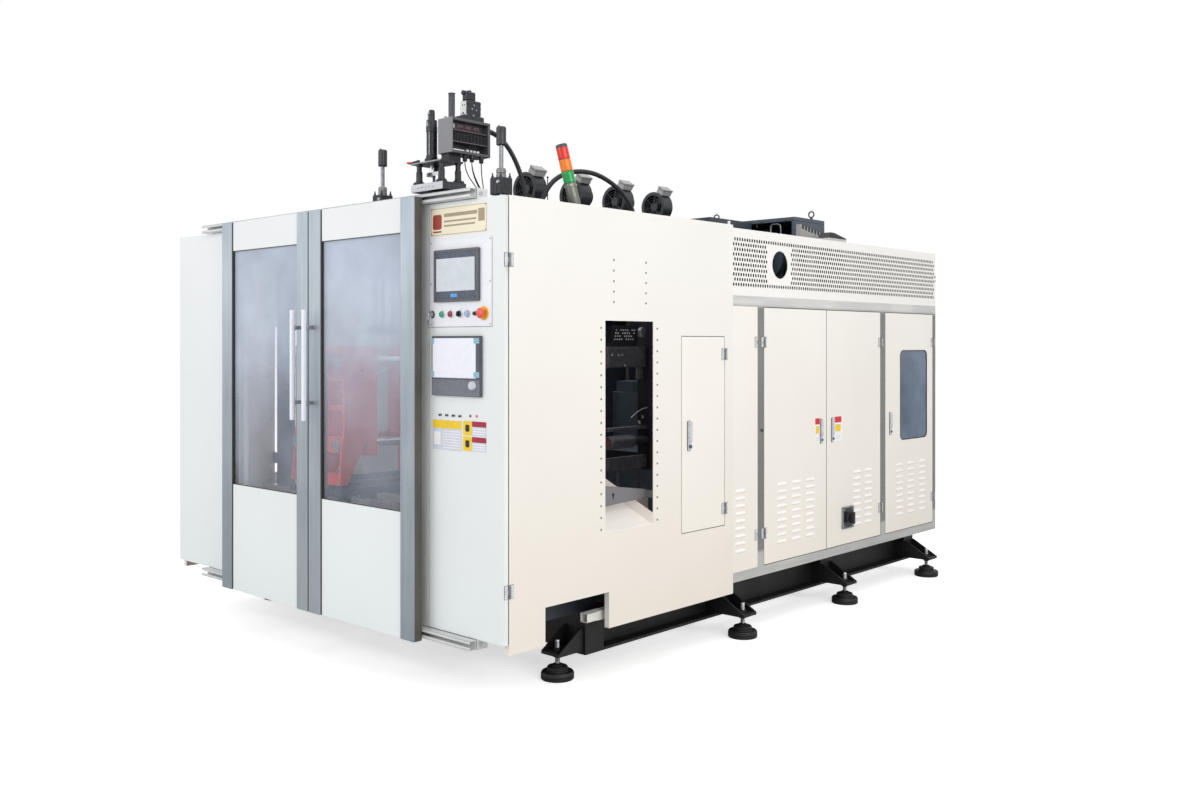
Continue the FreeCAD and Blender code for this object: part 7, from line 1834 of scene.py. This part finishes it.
world = bpy.data.worlds.new("studio")
bpy.context.scene.world = world
world.use_nodes = True
tree = world.node_tree
background = tree.nodes["Background"]
background.inputs["Color"].default_value = (1.0, 1.0, 1.0, 1.0)
background.inputs["Strength"].default_value = 0.60
seen = tree.nodes.new("ShaderNodeBackground")
seen.inputs["Color"].default_value = (1.0, 1.0, 1.0, 1.0)
seen.inputs["Strength"].default_value = 1.0
path_node = tree.nodes.new("ShaderNodeLightPath")
either = tree.nodes.new("ShaderNodeMath")
either.operation = "MAXIMUM"
tree.links.new(path_node.outputs["Is Camera Ray"], either.inputs[0])
tree.links.new(path_node.outputs["Is Transmission Ray"], either.inputs[1])
either_2 = tree.nodes.new("ShaderNodeMath")
either_2.operation = "MAXIMUM"
tree.links.new(either.outputs[0], either_2.inputs[0])
tree.links.new(path_node.outputs["Is Glossy Ray"], either_2.inputs[1])
world_mix = tree.nodes.new("ShaderNodeMixShader")
tree.links.new(either_2.outputs[0], world_mix.inputs["Fac"])
tree.links.new(background.outputs[0], world_mix.inputs[1])
tree.links.new(seen.outputs[0], world_mix.inputs[2])
tree.links.new(world_mix.outputs[0], tree.nodes["World Output"].inputs["Surface"])


def softbox(name, at, aim, width, height, power, colour=(1.0, 1.0, 1.0)):
    data = bpy.data.lights.new(name, "AREA")
    data.shape = "RECTANGLE"
    data.size, data.size_y = width, height
    data.energy = power
    data.color = colour
    lamp = bpy.data.objects.new(name, data)
    lamp.location = at
    lamp.rotation_euler = (Vector(aim) - Vector(at)).to_track_quat("-Z", "Y").to_euler()
    bpy.context.scene.collection.objects.link(lamp)


softbox("box_right", (8.5, -2.5, 4.5), (0.8, 0.0, 1.2), 6.0, 4.0, 265, (1.0, 0.985, 0.965))
softbox("box_front", (-2.0, -9.0, 4.2), (0.0, -1.0, 1.2), 6.0, 4.0, 215, (0.97, 0.985, 1.0))
softbox("box_top", (0.5, -0.5, 8.0), (0.2, 0.0, 0.0), 6.0, 6.0, 150)

floor_mesh = bpy.data.meshes.new("floor")
floor_mesh.from_pydata([(-60, -60, 0), (60, -60, 0), (60, 60, 0), (-60, 60, 0)], [], [[0, 1, 2, 3]])
floor = bpy.data.objects.new("floor", floor_mesh)
bpy.context.scene.collection.objects.link(floor)
floor_material = bpy.data.materials.new("floor")
floor_material.use_nodes = True
floor_tree = floor_material.node_tree
floor_shader = floor_tree.nodes["Principled BSDF"]
floor_shader.inputs["Base Color"].default_value = (0.80, 0.80, 0.80, 1.0)
floor_shader.inputs["Roughness"].default_value = 0.9
floor_shader.inputs["Specular IOR Level"].default_value = 0.1
lift = floor_tree.nodes.new("ShaderNodeEmission")
lift.inputs["Strength"].default_value = 0.60
floor_path = floor_tree.nodes.new("ShaderNodeLightPath")
gate = floor_tree.nodes.new("ShaderNodeMixShader")
joined = floor_tree.nodes.new("ShaderNodeAddShader")
nothing = floor_tree.nodes.new("ShaderNodeEmission")
nothing.inputs["Strength"].default_value = 0.0
floor_tree.links.new(floor_path.outputs["Is Camera Ray"], gate.inputs["Fac"])
floor_tree.links.new(nothing.outputs[0], gate.inputs[1])
floor_tree.links.new(lift.outputs[0], gate.inputs[2])
floor_tree.links.new(floor_shader.outputs[0], joined.inputs[0])
floor_tree.links.new(gate.outputs[0], joined.inputs[1])
floor_tree.links.new(joined.outputs[0], floor_tree.nodes["Material Output"].inputs["Surface"])
floor_mesh.materials.append(floor_material)
